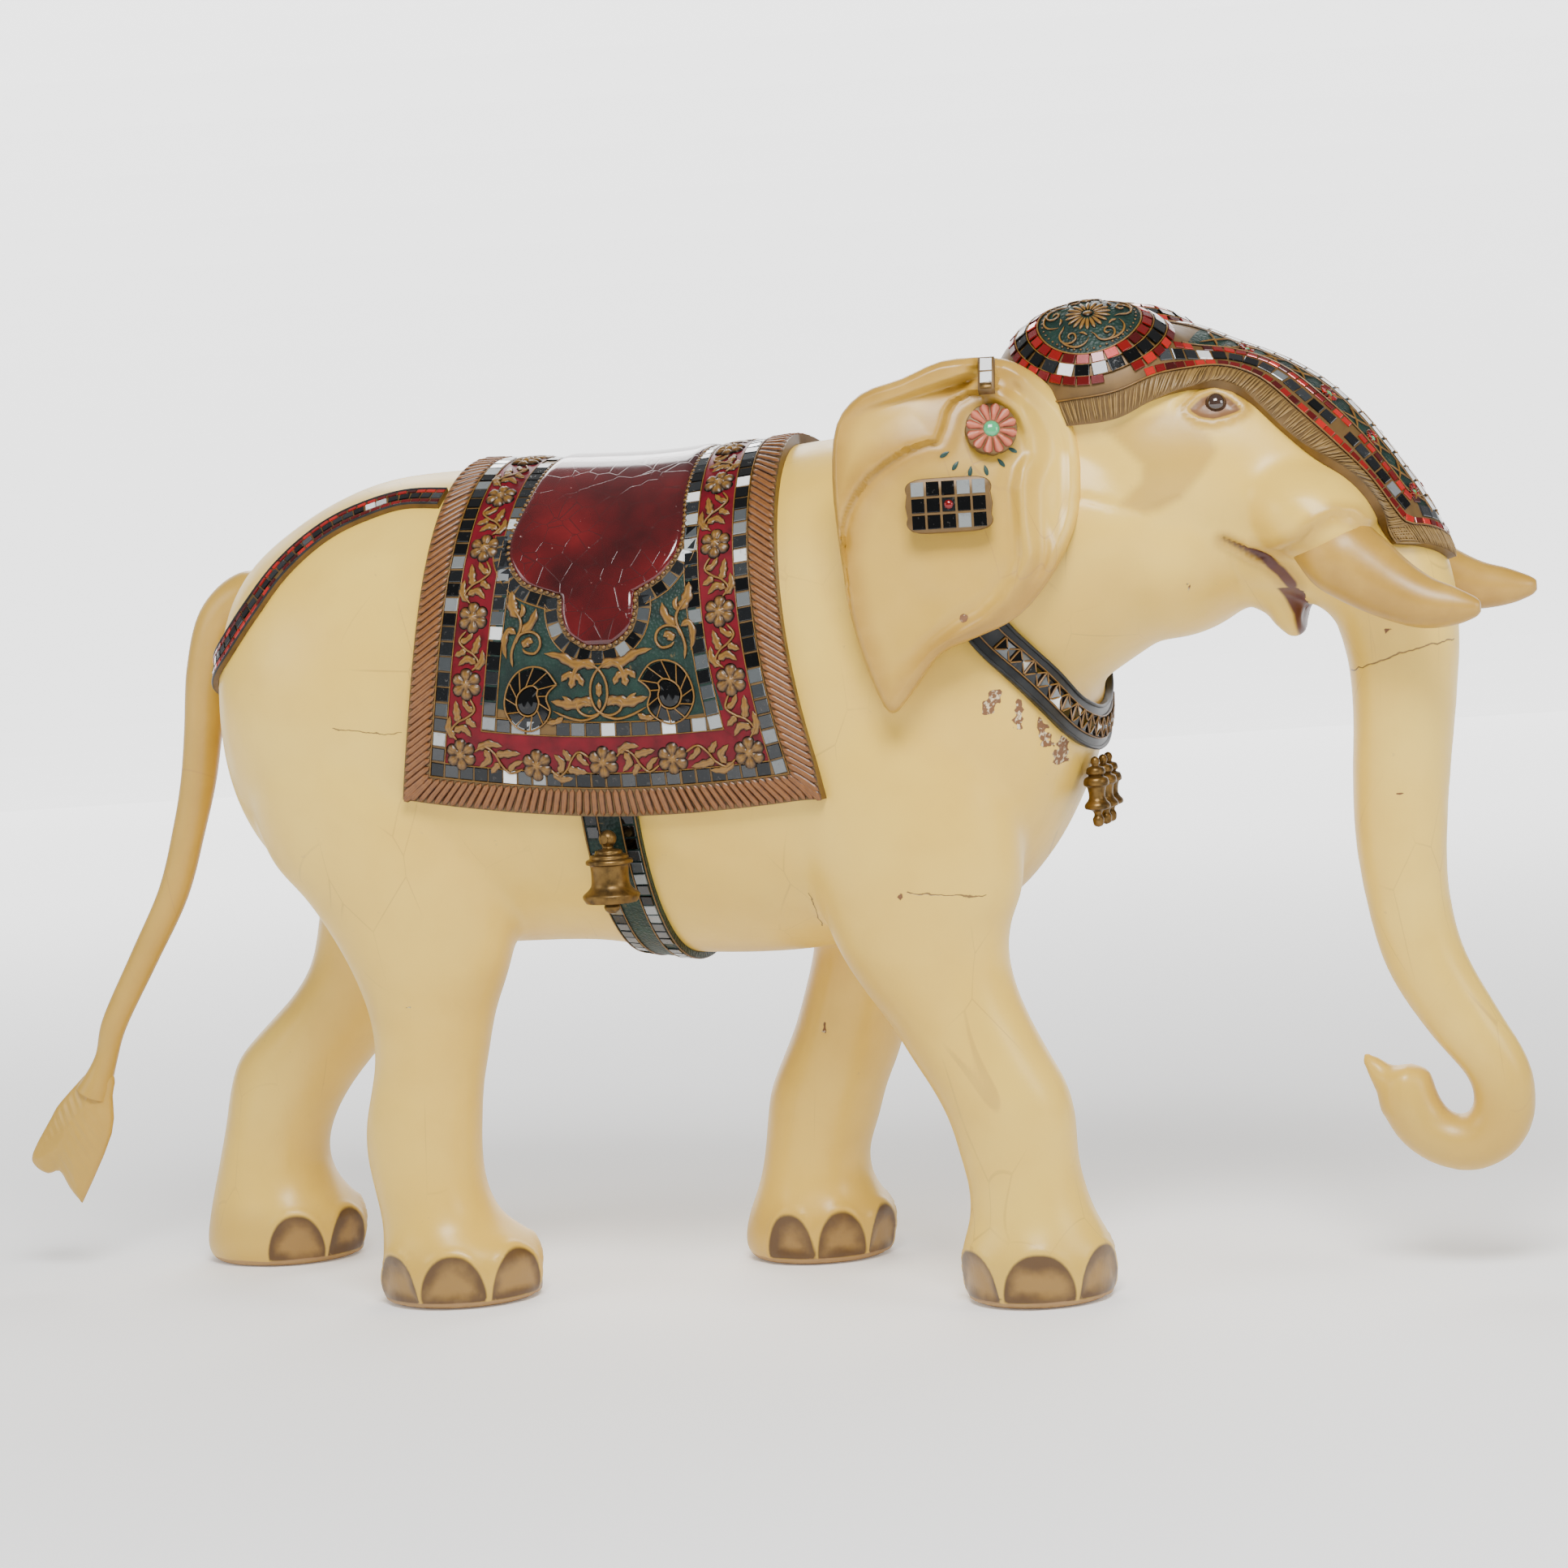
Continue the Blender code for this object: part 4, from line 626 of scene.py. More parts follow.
LIMBS = {   # rows, distance from the middle plane, reach in X of the sawn block
    "rear_leg_right": (REAR_RIGHT, -TRACK, (-0.50, -0.23)),
    "rear_leg_left": (REAR_LEFT, TRACK, (-0.75, -0.34)),
    "front_leg_right": (FRONT_RIGHT, -TRACK, (0.03, 0.36)),
    "front_leg_left": (FRONT_LEFT, TRACK, (-0.14, 0.18)),
}
NECK_PLANE = ((0.325, 0.0, 0.548), (0.892, 0.0, 0.452))
TRUNK_PLANE = ((0.620, 0.0, 0.600), (-0.25, 0.0, 0.968))
MOUTH_X = 0.545
# Middle of each foot, its two radii and the directions of its nails in degrees about it
FEET = (
    ((0.258, -0.105), (0.073, 0.071), (-138, -77, -17, 43, 100)),
    ((-0.334, -0.105), (0.083, 0.075), (-127, -77, -25, 27, 78)),
    ((-0.026, 0.105), (0.077, 0.070), (-99, -57, -14, 40, 95)),
    ((-0.622, 0.105), (0.087, 0.074), (-62, -17, 28, 75)),
)
EYE_LINE = (
    (0.449, 0.838), (0.453, 0.842), (0.459, 0.848), (0.470, 0.8515), (0.482, 0.847),
    (0.490, 0.840), (0.494, 0.835), (0.483, 0.831), (0.471, 0.8285), (0.459, 0.831),
)
CHEEK_LINE = (
    (0.372, 0.824), (0.387, 0.830), (0.426, 0.838), (0.452, 0.832), (0.469, 0.811),
    (0.474, 0.798), (0.458, 0.777), (0.440, 0.758), (0.420, 0.747), (0.404, 0.745),
    (0.384, 0.755), (0.394, 0.766), (0.405, 0.775), (0.406, 0.790), (0.386, 0.811),
)
CHEEK_CREASE = ((0.350, 0.764), (0.384, 0.754), (0.407, 0.747), (0.437, 0.756))
SHEATH_LINE = (
    (0.500, 0.707), (0.508, 0.705), (0.525, 0.704), (0.551, 0.714), (0.568, 0.728),
    (0.582, 0.735), (0.597, 0.732), (0.603, 0.725),
)
MOUTH_LINE = (
    (0.472, 0.717), (0.482, 0.710), (0.494, 0.703), (0.508, 0.695), (0.520, 0.684),
    (0.527, 0.672),
)
LIP_RIM = ((0.622, 0.642, 0.660, 0.680, 0.700, 0.712),        # z, then x
           (0.5200, 0.5205, 0.5150, 0.5060, 0.4930, 0.4830))
UPPER_LIP = ((0.470, 0.494, 0.508, 0.520, 0.536),             # x, then z
             (0.7200, 0.7070, 0.7020, 0.6910, 0.6800))
FAR = 9.0                                  # distance for points that have no such detail


# ---------------------------------------------------------------- the carved figure
def carve_figure():
    """The whole animal as one fine mesh in the rows' coordinates, with its carved details."""
    bm = bmesh.new()
    solid_from_rings(bm, tube_rings(TORSO, sides=72, steps=5, power=2.12))
    solid_from_rings(bm, tube_rings(NECK, sides=56, steps=5))
    solid_from_rings(bm, tube_rings(BROW, sides=48, steps=6))
    solid_from_rings(bm, tube_rings(TRUNK_FINGER, sides=24, steps=5))
    solid_from_rings(bm, tube_rings(LOWER_LIP, sides=40, steps=6))
    solid_from_rings(bm, tube_rings(LIP_POINT, sides=40, steps=6))
    add_ball(bm, (0.395, 0, 0.785), (0.135, 0.128, 0.132), -15)
    add_ball(bm, (0.402, 0, 0.708), (0.100, 0.122, 0.084), 14)
    for side, _ in SIDES:
        add_ball(bm, (0.354, side * 0.064, 0.852), (0.096, 0.068, 0.086), -8)
        add_ball(bm, (0.548, side * 0.082, 0.742), (0.062, 0.048, 0.042), -15)
        add_ball(bm, (0.556, side * 0.090, 0.732), (0.060, 0.051, 0.042), -22)
    for rows, side, _ in LIMBS.values():
        solid_from_rings(bm, tube_rings(rows, side=side, sides=48, steps=5))
    rough = mesh_of(bm, "rough_figure")
    obj = bpy.data.objects.new("rough_figure", rough)
    bpy.context.scene.collection.objects.link(obj)
    remesh = obj.modifiers.new("Grain", "REMESH")
    remesh.mode = "VOXEL"
    remesh.voxel_size = VOXEL
    bpy.context.view_layer.update()
    depsgraph = bpy.context.evaluated_depsgraph_get()
    mesh = bpy.data.meshes.new_from_object(obj.evaluated_get(depsgraph))
    bpy.data.objects.remove(obj)

    points = coordinates(mesh) - ORIGIN
    x, z = points[:, 0], points[:, 2]
    lip = (x > 0.475) & (x < 0.545) & (z > 0.60) & (z < 0.695)
    finger = (x > 0.54) & (x < 0.606) & (z > 0.165) & (z < 0.24)
    keep = np.where(lip | finger, 0.12, 1.0)
    relax(mesh, 8, keep)
    relax(mesh, 16, keep * smoothstep(0.055, 0.10, z))
    carve_details(mesh)
    return mesh


def side_mask(points):
    """1 on the outer flank of either side, 0 near the middle plane."""
    return smoothstep(0.035, 0.06, np.abs(points[:, 1]))


def groove(distance, width):
    """Profile of a rounded groove, 1 on its line."""
    return np.exp(-(distance / width) ** 2)


def carve_eye(push, flat, lid):
    """Eye socket with its lids; gives the distance from the eye's outline."""
    eye = outline_distance(flat, EYE_LINE)
    upper = smoothstep(0.835, 0.850, flat[:, 1])
    push -= lid * 0.0042 * smoothstep(0.0015, -0.0035, eye)
    push += lid * 0.0024 * groove(eye - 0.0035, 0.0028)
    push -= lid * 0.0016 * groove(eye - 0.0095, 0.0028) * upper
    push += lid * 0.0012 * groove(eye - 0.0140, 0.0035) * upper
    return eye


def carve_mouth(push, points, flat, head):
    """Lip fold and mouth; gives distances from the fold, the mouth line and the dark inside."""
    x, y, z = points.T
    sheath = path_distance(flat, SHEATH_LINE)
    above = smoothstep(-0.002, 0.002, z - np.interp(x, *np.transpose(SHEATH_LINE)))
    near_lip = head * (x > 0.49) * (x < 0.63)
    push += near_lip * above * 0.0030 * np.exp(-(sheath / 0.010) ** 2)
    push -= near_lip * 0.0026 * groove(sheath, 0.0020)
    mouth = path_distance(flat, MOUTH_LINE) - np.interp(x, (0.472, 0.525), (0.0015, 0.0065))
    hollow = x - 0.519 + 0.25 * (z - 0.65)
    front = (x > 0.47) & (x < 0.56) & (z > 0.618) & (z < 0.712) & (np.abs(y) < 0.06)
    inside = np.maximum(0.8 * (np.interp(z, *LIP_RIM) - x), 0.8 * (z - np.interp(x, *UPPER_LIP)))
    inside = np.where(front & (x < 0.5365), inside, FAR)
    inner = np.minimum(np.where(head > 0.5, mouth, FAR), inside)
    push -= head * 0.0080 * smoothstep(0.003, -0.004, mouth) * smoothstep(0.688, 0.698, z)
    push -= front * 0.0040 * smoothstep(0.0, 0.008, hollow) * smoothstep(0.026, 0.012, np.abs(y))
    push += head * 0.0016 * groove(mouth - 0.0045, 0.0030) * (z > 0.69)
    return sheath, mouth, inner


def carve_nails(push, points):
    """Toenails with their toes; gives the distance from the nails' outlines."""
    nails = np.full(len(points), FAR)
    rim = np.zeros(len(points))
    bottom, height = 0.0165, 0.0475
    z = points[:, 2]
    for (x, y), (rx, ry), directions in FEET:
        local = points[:, :2] - (x, y)
        foot = (np.abs(local[:, 0]) < rx + 0.03) & (np.abs(local[:, 1]) < ry + 0.03)
        foot &= z < 0.110
        radius = (rx + ry) / 2
        turn = np.degrees(np.arctan2(local[:, 1] / ry, local[:, 0] / rx))
        for direction in directions:
            across = np.radians((turn - direction + 180) % 360 - 180) * radius
            gaps = [abs(direction - other) for other in directions if other != direction]
            half = min(0.0385, 0.485 * math.radians(min(gaps)) * radius)
            up = (z - bottom) / height
            shape = (np.abs(across) / half) ** 2.3 + np.clip(up, 0, None) ** 2.1
            measure = (shape ** 0.45 - 1.0) * half
            measure = np.where(foot, np.maximum(measure, bottom - z), FAR)
            nails = np.minimum(nails, measure)
            scoop = smoothstep(0.0, -0.012, measure)
            edge = groove(measure - 0.0012, 0.0022) * (z > 0.014)
            push -= foot * 0.0040 * scoop * (0.45 + 0.55 * np.cos(
                np.clip(across / half, -1, 1) * math.pi / 2))
            rim = np.maximum(rim, np.where(foot, edge, 0.0))
            toe = np.exp(-(across / half) ** 2) * np.exp(-((z - 0.060) / 0.022) ** 2)
            push += foot * 0.0036 * toe
    push += 0.0015 * rim
    return nails


def carve_details(mesh):
    """Displace the figure's surface and mark where its colours change."""
    normals = vertex_normals(mesh)
    points = coordinates(mesh) - ORIGIN
    push = np.zeros(len(points))
    flat = points[:, [0, 2]]
    head = side_mask(points) * (points[:, 0] > 0.33) * (points[:, 2] > 0.55)
    lid = head * (points[:, 2] > 0.80)
    eye = carve_eye(push, flat, lid)
    push -= head * 0.0022 * groove(path_distance(flat, CHEEK_CREASE), 0.0035)
    sheath, mouth, inner = carve_mouth(push, points, flat, head)
    nails = carve_nails(push, points)
    scar = scar_distance(points)
    push -= 0.0010 * smoothstep(0.001, -0.0015, scar)
    set_coordinates(mesh, points + ORIGIN + normals * push[:, None])

    points = coordinates(mesh) - ORIGIN
    values = {"nail": nails, "scar": scar, "sole": points[:, 2] - 0.0172,
              "socket": np.where(lid > 0.5, eye, FAR), "mouth": inner,
              "ochre": ochre_and_shade_share(points, normals, head, eye, sheath, mouth)}
    values.update(zip(("nx", "ny", "nz"), vertex_normals(mesh).T))
    for name, value in values.items():
        set_attribute(mesh, name, value)


SCARS = (   # x, z, length, half width, lean in degrees, side
    (0.256, 0.580, 0.008, 0.0050, 60, -1), (0.277, 0.566, 0.010, 0.0034, 80, -1),
    (0.294, 0.546, 0.011, 0.0030, 95, -1), (0.303, 0.527, 0.010, 0.0036, 75, -1),
    (0.438, 0.674, 0.002, 0.0014, 80, -1), (0.249, 0.661, 0.002, 0.0030, 70, -1),
    (0.614, 0.624, 0.002, 0.0016, 60, -1), (0.614, 0.470, 0.001, 0.0016, 20, -1),
    (-0.345, 0.310, 0.001, 0.0018, 50, -1), (0.010, 0.250, 0.003, 0.0022, 80, 1),
    (0.285, 0.553, 0.009, 0.0030, 85, 1), (0.165, 0.404, 0.010, 0.0016, 10, -1),
)


def scar_distance(points):
    """Distance to the flaked spots, negative on them."""
    best = np.full(len(points), FAR)
    ragged = 0.0012 * np.sin(points[:, 0] * 900) + 0.0012 * np.sin(points[:, 2] * 700 + 1.3)
    for x, z, length, half, lean, side in SCARS:
        a = math.radians(lean)
        dx, dz = points[:, 0] - x, points[:, 2] - z
        along = dx * math.cos(a) + dz * math.sin(a)
        across = dz * math.cos(a) - dx * math.sin(a)
        past = np.maximum(np.abs(along) - length, 0.0)
        distance = np.hypot(past, across) - half + ragged
        best = np.where(points[:, 1] * side > 0, np.minimum(best, distance), best)
    return best


def ochre_and_shade_share(points, normals, head, eye, sheath, mouth):
    """How much of the darker ochre lacquer shows at each point, as ochre paint and as painted
    shade.
    """
    x, y, z = points.T
    cheek = outline_distance(points[:, [0, 2]], CHEEK_LINE)
    shares = (
        head * 0.62 * smoothstep(0.005, -0.005, cheek),
        head * 0.75 * smoothstep(0.016, 0.006, eye),
        head * 0.65 * smoothstep(0.016, 0.004, sheath),
        head * 0.6 * smoothstep(0.012, 0.002, mouth),
        # darker ochre on the feet and the tip of the trunk; painted shade under the belly and
        # between the legs where they join the body
        0.5 * smoothstep(0.36, 0.33, z) * (np.abs(x) < 0.4) * smoothstep(0.0, -0.8, normals[:, 2]),
        0.35 * smoothstep(0.085, 0.045, z),
        0.55 * smoothstep(0.26, 0.15, z) * (x > 0.5),
        0.35 * groove(z - 0.40, 0.03) * smoothstep(0.10, 0.04, np.abs(y)) * (x < 0.3),
    )
    return np.maximum(np.max(shares, axis=0), 0.0)


def block_of(points):
    """Name index of the sawn block that each point belongs to."""
    x, y, z = points.T
    names = ["torso", "head", "trunk", *LIMBS]
    index = np.zeros(len(points), int)
    for number, (_, side, reach) in enumerate(LIMBS.values()):
        mine = (z < LEG_JOINT_Z) & (x > reach[0]) & (x < reach[1]) & (y * side > 0)
        index[mine & (np.abs(y) > 0.012)] = 3 + number
    neck = (points - NECK_PLANE[0]) @ np.array(NECK_PLANE[1]) > 0
    in_leg = index > 0
    trunk = (points - TRUNK_PLANE[0]) @ np.array(TRUNK_PLANE[1]) < 0
    index[neck & ~(in_leg & (z < 0.42) & (x < 0.37))] = 1
    index[neck & trunk & (x > MOUTH_X)] = 2
    return names, index


def saw_figure(mesh, material):
    """Cut the figure into its blocks and put each in place of its CAD node."""
    bm = bmesh.new()
    bm.from_mesh(mesh)
    planes = [((0, 0, LEG_JOINT_Z), (0, 0, 1)), ((0, 0.012, 0), (0, 1, 0)),
              ((0, -0.012, 0), (0, 1, 0)), NECK_PLANE, TRUNK_PLANE]
    for point, normal in planes:
        place = Vector(point) + Vector(ORIGIN)
        bmesh.ops.bisect_plane(bm, geom=bm.verts[:] + bm.edges[:] + bm.faces[:],
                               plane_co=place, plane_no=Vector(normal).normalized())
    whole = bpy.data.meshes.new("figure")
    bm.to_mesh(whole)
    bm.free()
    points = coordinates(whole)
    normals = np.stack([read_attribute(whole, name) for name in ("nx", "ny", "nz")], 1)
    normals = unit(normals)
    faces = [tuple(polygon.vertices) for polygon in whole.polygons]
    middles = np.array([points[list(face)].mean(0) for face in faces])
    names, index = block_of(middles - ORIGIN)
    kept = ("nail", "scar", "sole", "socket", "mouth", "ochre")
    values = {name: read_attribute(whole, name) for name in kept}
    for number, name in enumerate(names):
        mine = [faces[k] for k in np.flatnonzero(index == number)]
        used = np.unique(np.concatenate([np.array(face) for face in mine]))
        renumber = np.full(len(points), -1)
        renumber[used] = np.arange(len(used))
        piece = bpy.data.meshes.new("carved_" + name)
        piece.from_pydata(points[used].tolist(), [], [tuple(renumber[list(f)]) for f in mine])
        for key, value in values.items():
            set_attribute(piece, key, value[used])
        obj = place_mesh("carved_" + name, piece, material)
        piece.normals_split_custom_set_from_vertices(normals[used].tolist())
        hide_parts(name)


def read_attribute(mesh, name):
    """One number at each vertex as an array."""
    values = np.empty(len(mesh.vertices), np.float32)
    mesh.attributes[name].data.foreach_get("value", values)
    return values.astype(float)


# ---------------------------------------------------------------- ears, eyes, tusks, tail
EAR_MIDDLE = (0.250, 0.775)
RIM_LINE = (   # inner edge of the rim that is folded over the ear's rear and upper edge
    (0.285, 0.868), (0.270, 0.867), (0.258, 0.866), (0.246, 0.859), (0.241, 0.850),
    (0.238, 0.837), (0.233, 0.824), (0.224, 0.824), (0.207, 0.819), (0.189, 0.809),
    (0.171, 0.796), (0.157, 0.780), (0.148, 0.765), (0.143, 0.750), (0.141, 0.735),
)
FRONT_RIDGE = (
    (0.283, 0.866), (0.304, 0.850), (0.316, 0.827), (0.319, 0.806), (0.309, 0.792),
    (0.306, 0.777), (0.307, 0.753), (0.308, 0.733), (0.309, 0.714), (0.301, 0.693),
    (0.285, 0.673), (0.268, 0.658), (0.248, 0.648), (0.225, 0.631), (0.206, 0.613),
    (0.190, 0.603),
)
FRONT_FOLD = (
    (0.300, 0.866), (0.318, 0.846), (0.327, 0.820), (0.324, 0.796), (0.318, 0.775),
    (0.318, 0.750), (0.322, 0.722), (0.318, 0.700),
)
EAR_REST = {"rear": 0.134, "front": 0.350, "flare": 0.205, "clearance": 0.012}


def cast_side(tree, x, z, side, fallback):
    """Distance from the middle plane to the surface at a side view's point."""
    beyond = Vector(np.array((x, side * 0.6, z)) + ORIGIN)
    hit = tree.ray_cast(beyond, Vector((0.0, -side, 0.0)))[0]
    return fallback if hit is None else abs(hit.y)


def ear_rest(tree, x, z, side):
    """Back of an ear: flared at the rear edge and close to the head at the front."""
    near = cast_side(tree, x, z, side, 0.12)
    forward = (x - EAR_REST["rear"]) / (EAR_REST["front"] - EAR_REST["rear"])
    hold = max(0.0, min(1.0, forward)) ** 2
    flare = EAR_REST["flare"] * (1.0 - hold) + (near + EAR_REST["clearance"]) * hold
    return max(flare, near + EAR_REST["clearance"] * 0.5), near


def ear(label, side, tree, material):
    """Ear blade with its folded rim, its ridges and an edge that melts into the cheek."""
    outline = smooth_rows(EAR_OUTLINE + EAR_OUTLINE[:1], 3)
    outline = resample(outline, 241)[:-1]
    middle = np.array(EAR_MIDDLE)
    shares = np.concatenate((np.linspace(0.02, 0.80, 42), np.linspace(0.81, 1.0, 18)))
    flat = middle + shares[:, None, None] * (outline - middle)
    rows, columns, _ = flat.shape
    rest = np.empty((rows, columns))
    near = np.empty((rows, columns))
    for i in range(rows):
        for j in range(columns):
            rest[i, j], near[i, j] = ear_rest(tree, *flat[i, j], side)
    for _ in range(3):
        rest[1:-1] = 0.25 * (rest[:-2] + rest[2:] + 2 * rest[1:-1])
        rest = 0.25 * (np.roll(rest, 1, 1) + np.roll(rest, -1, 1) + 2 * rest)
    points = flat.reshape(-1, 2)
    edge = -outline_distance(points, outline).reshape(rows, columns)
    rim = path_distance(points, RIM_LINE).reshape(rows, columns)
    ridge = path_distance(points, FRONT_RIDGE).reshape(rows, columns)
    x, z = flat[..., 0], flat[..., 1]
    line = np.array(RIM_LINE)[::-1]
    beyond = (z - np.interp(x, line[:, 0], line[:, 1])) > 0
    beyond |= x < 0.1435
    beyond &= (x < 0.286) & (z > 0.60)
    signed = np.where(beyond, rim, -rim)
    thick = 0.0115 + 0.0078 * smoothstep(-0.0018, 0.0018, signed)
    thick -= 0.0034 * smoothstep(0.0, 0.034, signed)
    thick -= 0.0022 * groove(signed + 0.003, 0.0040)
    lower = smoothstep(0.66, 0.60, z)
    thick += 0.0046 * groove(ridge, 0.0075) * (1 - lower)
    thick -= 0.0030 * groove(ridge - 0.013, 0.007) * (1 - lower)
    fold = path_distance(points, FRONT_FOLD).reshape(rows, columns)
    thick -= 0.0036 * groove(fold, 0.0055)
    bowl = smoothstep(0.012, 0.05, edge) * smoothstep(0.0, -0.02, signed)
    thick -= 0.0030 * bowl
    thick += 0.0014 * np.sin((x + 0.35 * z) * 95.0) * bowl * smoothstep(0.74, 0.68, z)
    melt = smoothstep(0.306, 0.338, x) * smoothstep(0.70, 0.76, z)
    round_off = np.sqrt(np.clip(edge / 0.007, 0.0, 1.0))
    thick = thick * (0.30 + 0.70 * round_off)
    outer = rest + thick
    outer = outer * (1 - melt) + np.minimum(outer, near + 0.002 + 0.010 * round_off) * melt
    inner = np.minimum(rest, outer - 0.0035)
    bag = Bag()

    def sheet(depth, inwards):
        points = np.stack([x, side * depth, z], -1) + ORIGIN
        bag.grid(points, outward=(0, side * inwards, 0), wrap=True)
        hub = points[0].mean(0)
        base = bag.count
        ring = [base - rows * columns + j for j in range(columns)]
        bag.add([hub], [])
        turn = 1 if side * inwards > 0 else -1
        for j in range(columns):
            pair = (ring[j], ring[(j + 1) % columns])
            bag.faces.append((*(pair if turn < 0 else pair[::-1]), base))
        return points

    front = sheet(outer, 1)
    back = sheet(inner, -1)
    bag.grid(np.stack([front[-1], back[-1]]), wrap=True)
    mesh = bag.welded("carved_ear_" + label, 0.00001)
    at = coordinates(mesh) - ORIGIN
    edge_at = -outline_distance(at[:, [0, 2]], outline)
    rim_at = path_distance(at[:, [0, 2]], RIM_LINE)
    # the ear's own ochre, with painted shade deepening it towards the edges and the folded rim,
    # and less of it where the ear melts into the cheek
    share = 0.60 + 0.4 * smoothstep(0.030, 0.006, np.minimum(edge_at, rim_at))
    share *= 1 - 0.85 * smoothstep(0.300, 0.335, at[:, 0]) * smoothstep(0.68, 0.76, at[:, 2])
    plain_attributes(mesh, share)
    set_attribute(mesh, "scar", np.hypot(at[:, 0] - 0.249, at[:, 2] - 0.661) - 0.004)
    obj = place_mesh("carved_ear_" + label, mesh, material, sharp=50)
    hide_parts("ear_" + label, "ear_peg_" + label)


def plain_attributes(mesh, ochre):
    """Attributes of a piece that has the animal's lacquer but no painted details."""
    count = len(mesh.vertices)
    for name in ("nail", "scar", "sole", "socket", "mouth"):
        set_attribute(mesh, name, np.full(count, FAR))
    set_attribute(mesh, "ochre", np.broadcast_to(ochre, (count,)))


def tusk(label, side, material):
    """Tusk on its carved root."""
    rings = []
    rows = smooth_rows(TUSK, 7)
    rows = [row if row[0] > 0.585 else (*row[:3], *(
        size * (0.80 + 0.20 * smoothstep(0.545, 0.585, row[0])) for size in row[3:]))
        for row in rows]
    first, last = TUSK[0][0], TUSK[-1][0]
    for x, z, lean, half_width, up, down in rows:
        along = (x - first) / (last - first)
        y = side * (0.092 + 0.030 * along)
        if side > 0:
            x, z = x + 0.020 * along, z + 0.008 * along
        rings.append(superellipse_ring(
            np.array((x, y, z)) + ORIGIN, lean, half_width, up, down, 36))
    bm = bmesh.new()
    solid_from_rings(bm, rings)
    mesh = mesh_of(bm, "carved_tusk_" + label)
    plain_attributes(mesh, 1.0)
    obj = place_mesh("carved_tusk_" + label, mesh, material, sharp=60)
    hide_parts("tusk_" + label)


TUFT_LINE = (
    (-0.786, 0.226), (-0.812, 0.202), (-0.821, 0.190), (-0.841, 0.160), (-0.840, 0.149),
    (-0.829, 0.142), (-0.817, 0.144), (-0.809, 0.130), (-0.800, 0.119), (-0.796, 0.121),
    (-0.7665, 0.175), (-0.763, 0.207), (-0.760, 0.222), (-0.770, 0.236),
)


def tail(material):
    """Tail with a flat brush that ends in two unequal points."""
    bm = bmesh.new()
    solid_from_rings(bm, tube_rings(TAIL[:-3], sides=32, steps=8))
    outline = resample(smooth_rows(TUFT_LINE + TUFT_LINE[:1], 3), 161)[:-1]
    top = np.array((-0.768, 0.230))
    outline = top + (outline - top) * 1.26
    hub = top + (np.array((-0.794, 0.185)) - top) * 1.26
    sheets = []
    for side in (1, -1):
        rows = []
        for share in np.concatenate((np.linspace(0.0, 0.85, 16), np.linspace(0.9, 1.0, 6))):
            flat = hub + share * (outline - hub)
            edge = np.clip(-outline_distance(flat, outline), 0.0, None)
            swell = 0.0145 * np.sqrt(np.clip(edge / 0.026, 0.0, 1.0))
            across = flat[:, 0] * 0.88 + flat[:, 1] * 0.47
            swell -= 0.0012 * np.abs(np.sin(across * 330)) * smoothstep(0.002, 0.010, edge)
            points = np.stack([flat[:, 0], side * swell, flat[:, 1]], 1) + ORIGIN
            rows.append([bm.verts.new(point) for point in points])
        sheets.append(rows)
    count = len(outline)
    for rows, turn in zip(sheets, (1, -1)):
        for lower, upper in zip(rows, rows[1:]):
            for index in range(count):
                following = (index + 1) % count
                bm.faces.new((lower[index], lower[following], upper[following],
                              upper[index])[::turn])
    bmesh.ops.remove_doubles(bm, verts=bm.verts, dist=0.00002)
    mesh = mesh_of(bm, "carved_tail")
    plain_attributes(mesh, 0.72)
    obj = place_mesh("carved_tail", mesh, material, sharp=60)
    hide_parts("tail")


def eye(label, material):
    """Glass eye with a fine grain in place of the CAD ball."""
    low, high = (np.array(v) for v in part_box("eye_" + label))
    bm = bmesh.new()
    bmesh.ops.create_uvsphere(bm, u_segments=40, v_segments=28, radius=0.0105)
    bmesh.ops.translate(bm, verts=bm.verts, vec=Vector((low + high) / 2))
    mesh = mesh_of(bm, "glass_eye_" + label)
    obj = place_mesh("glass_eye_" + label, mesh, material)
    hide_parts("eye_" + label)


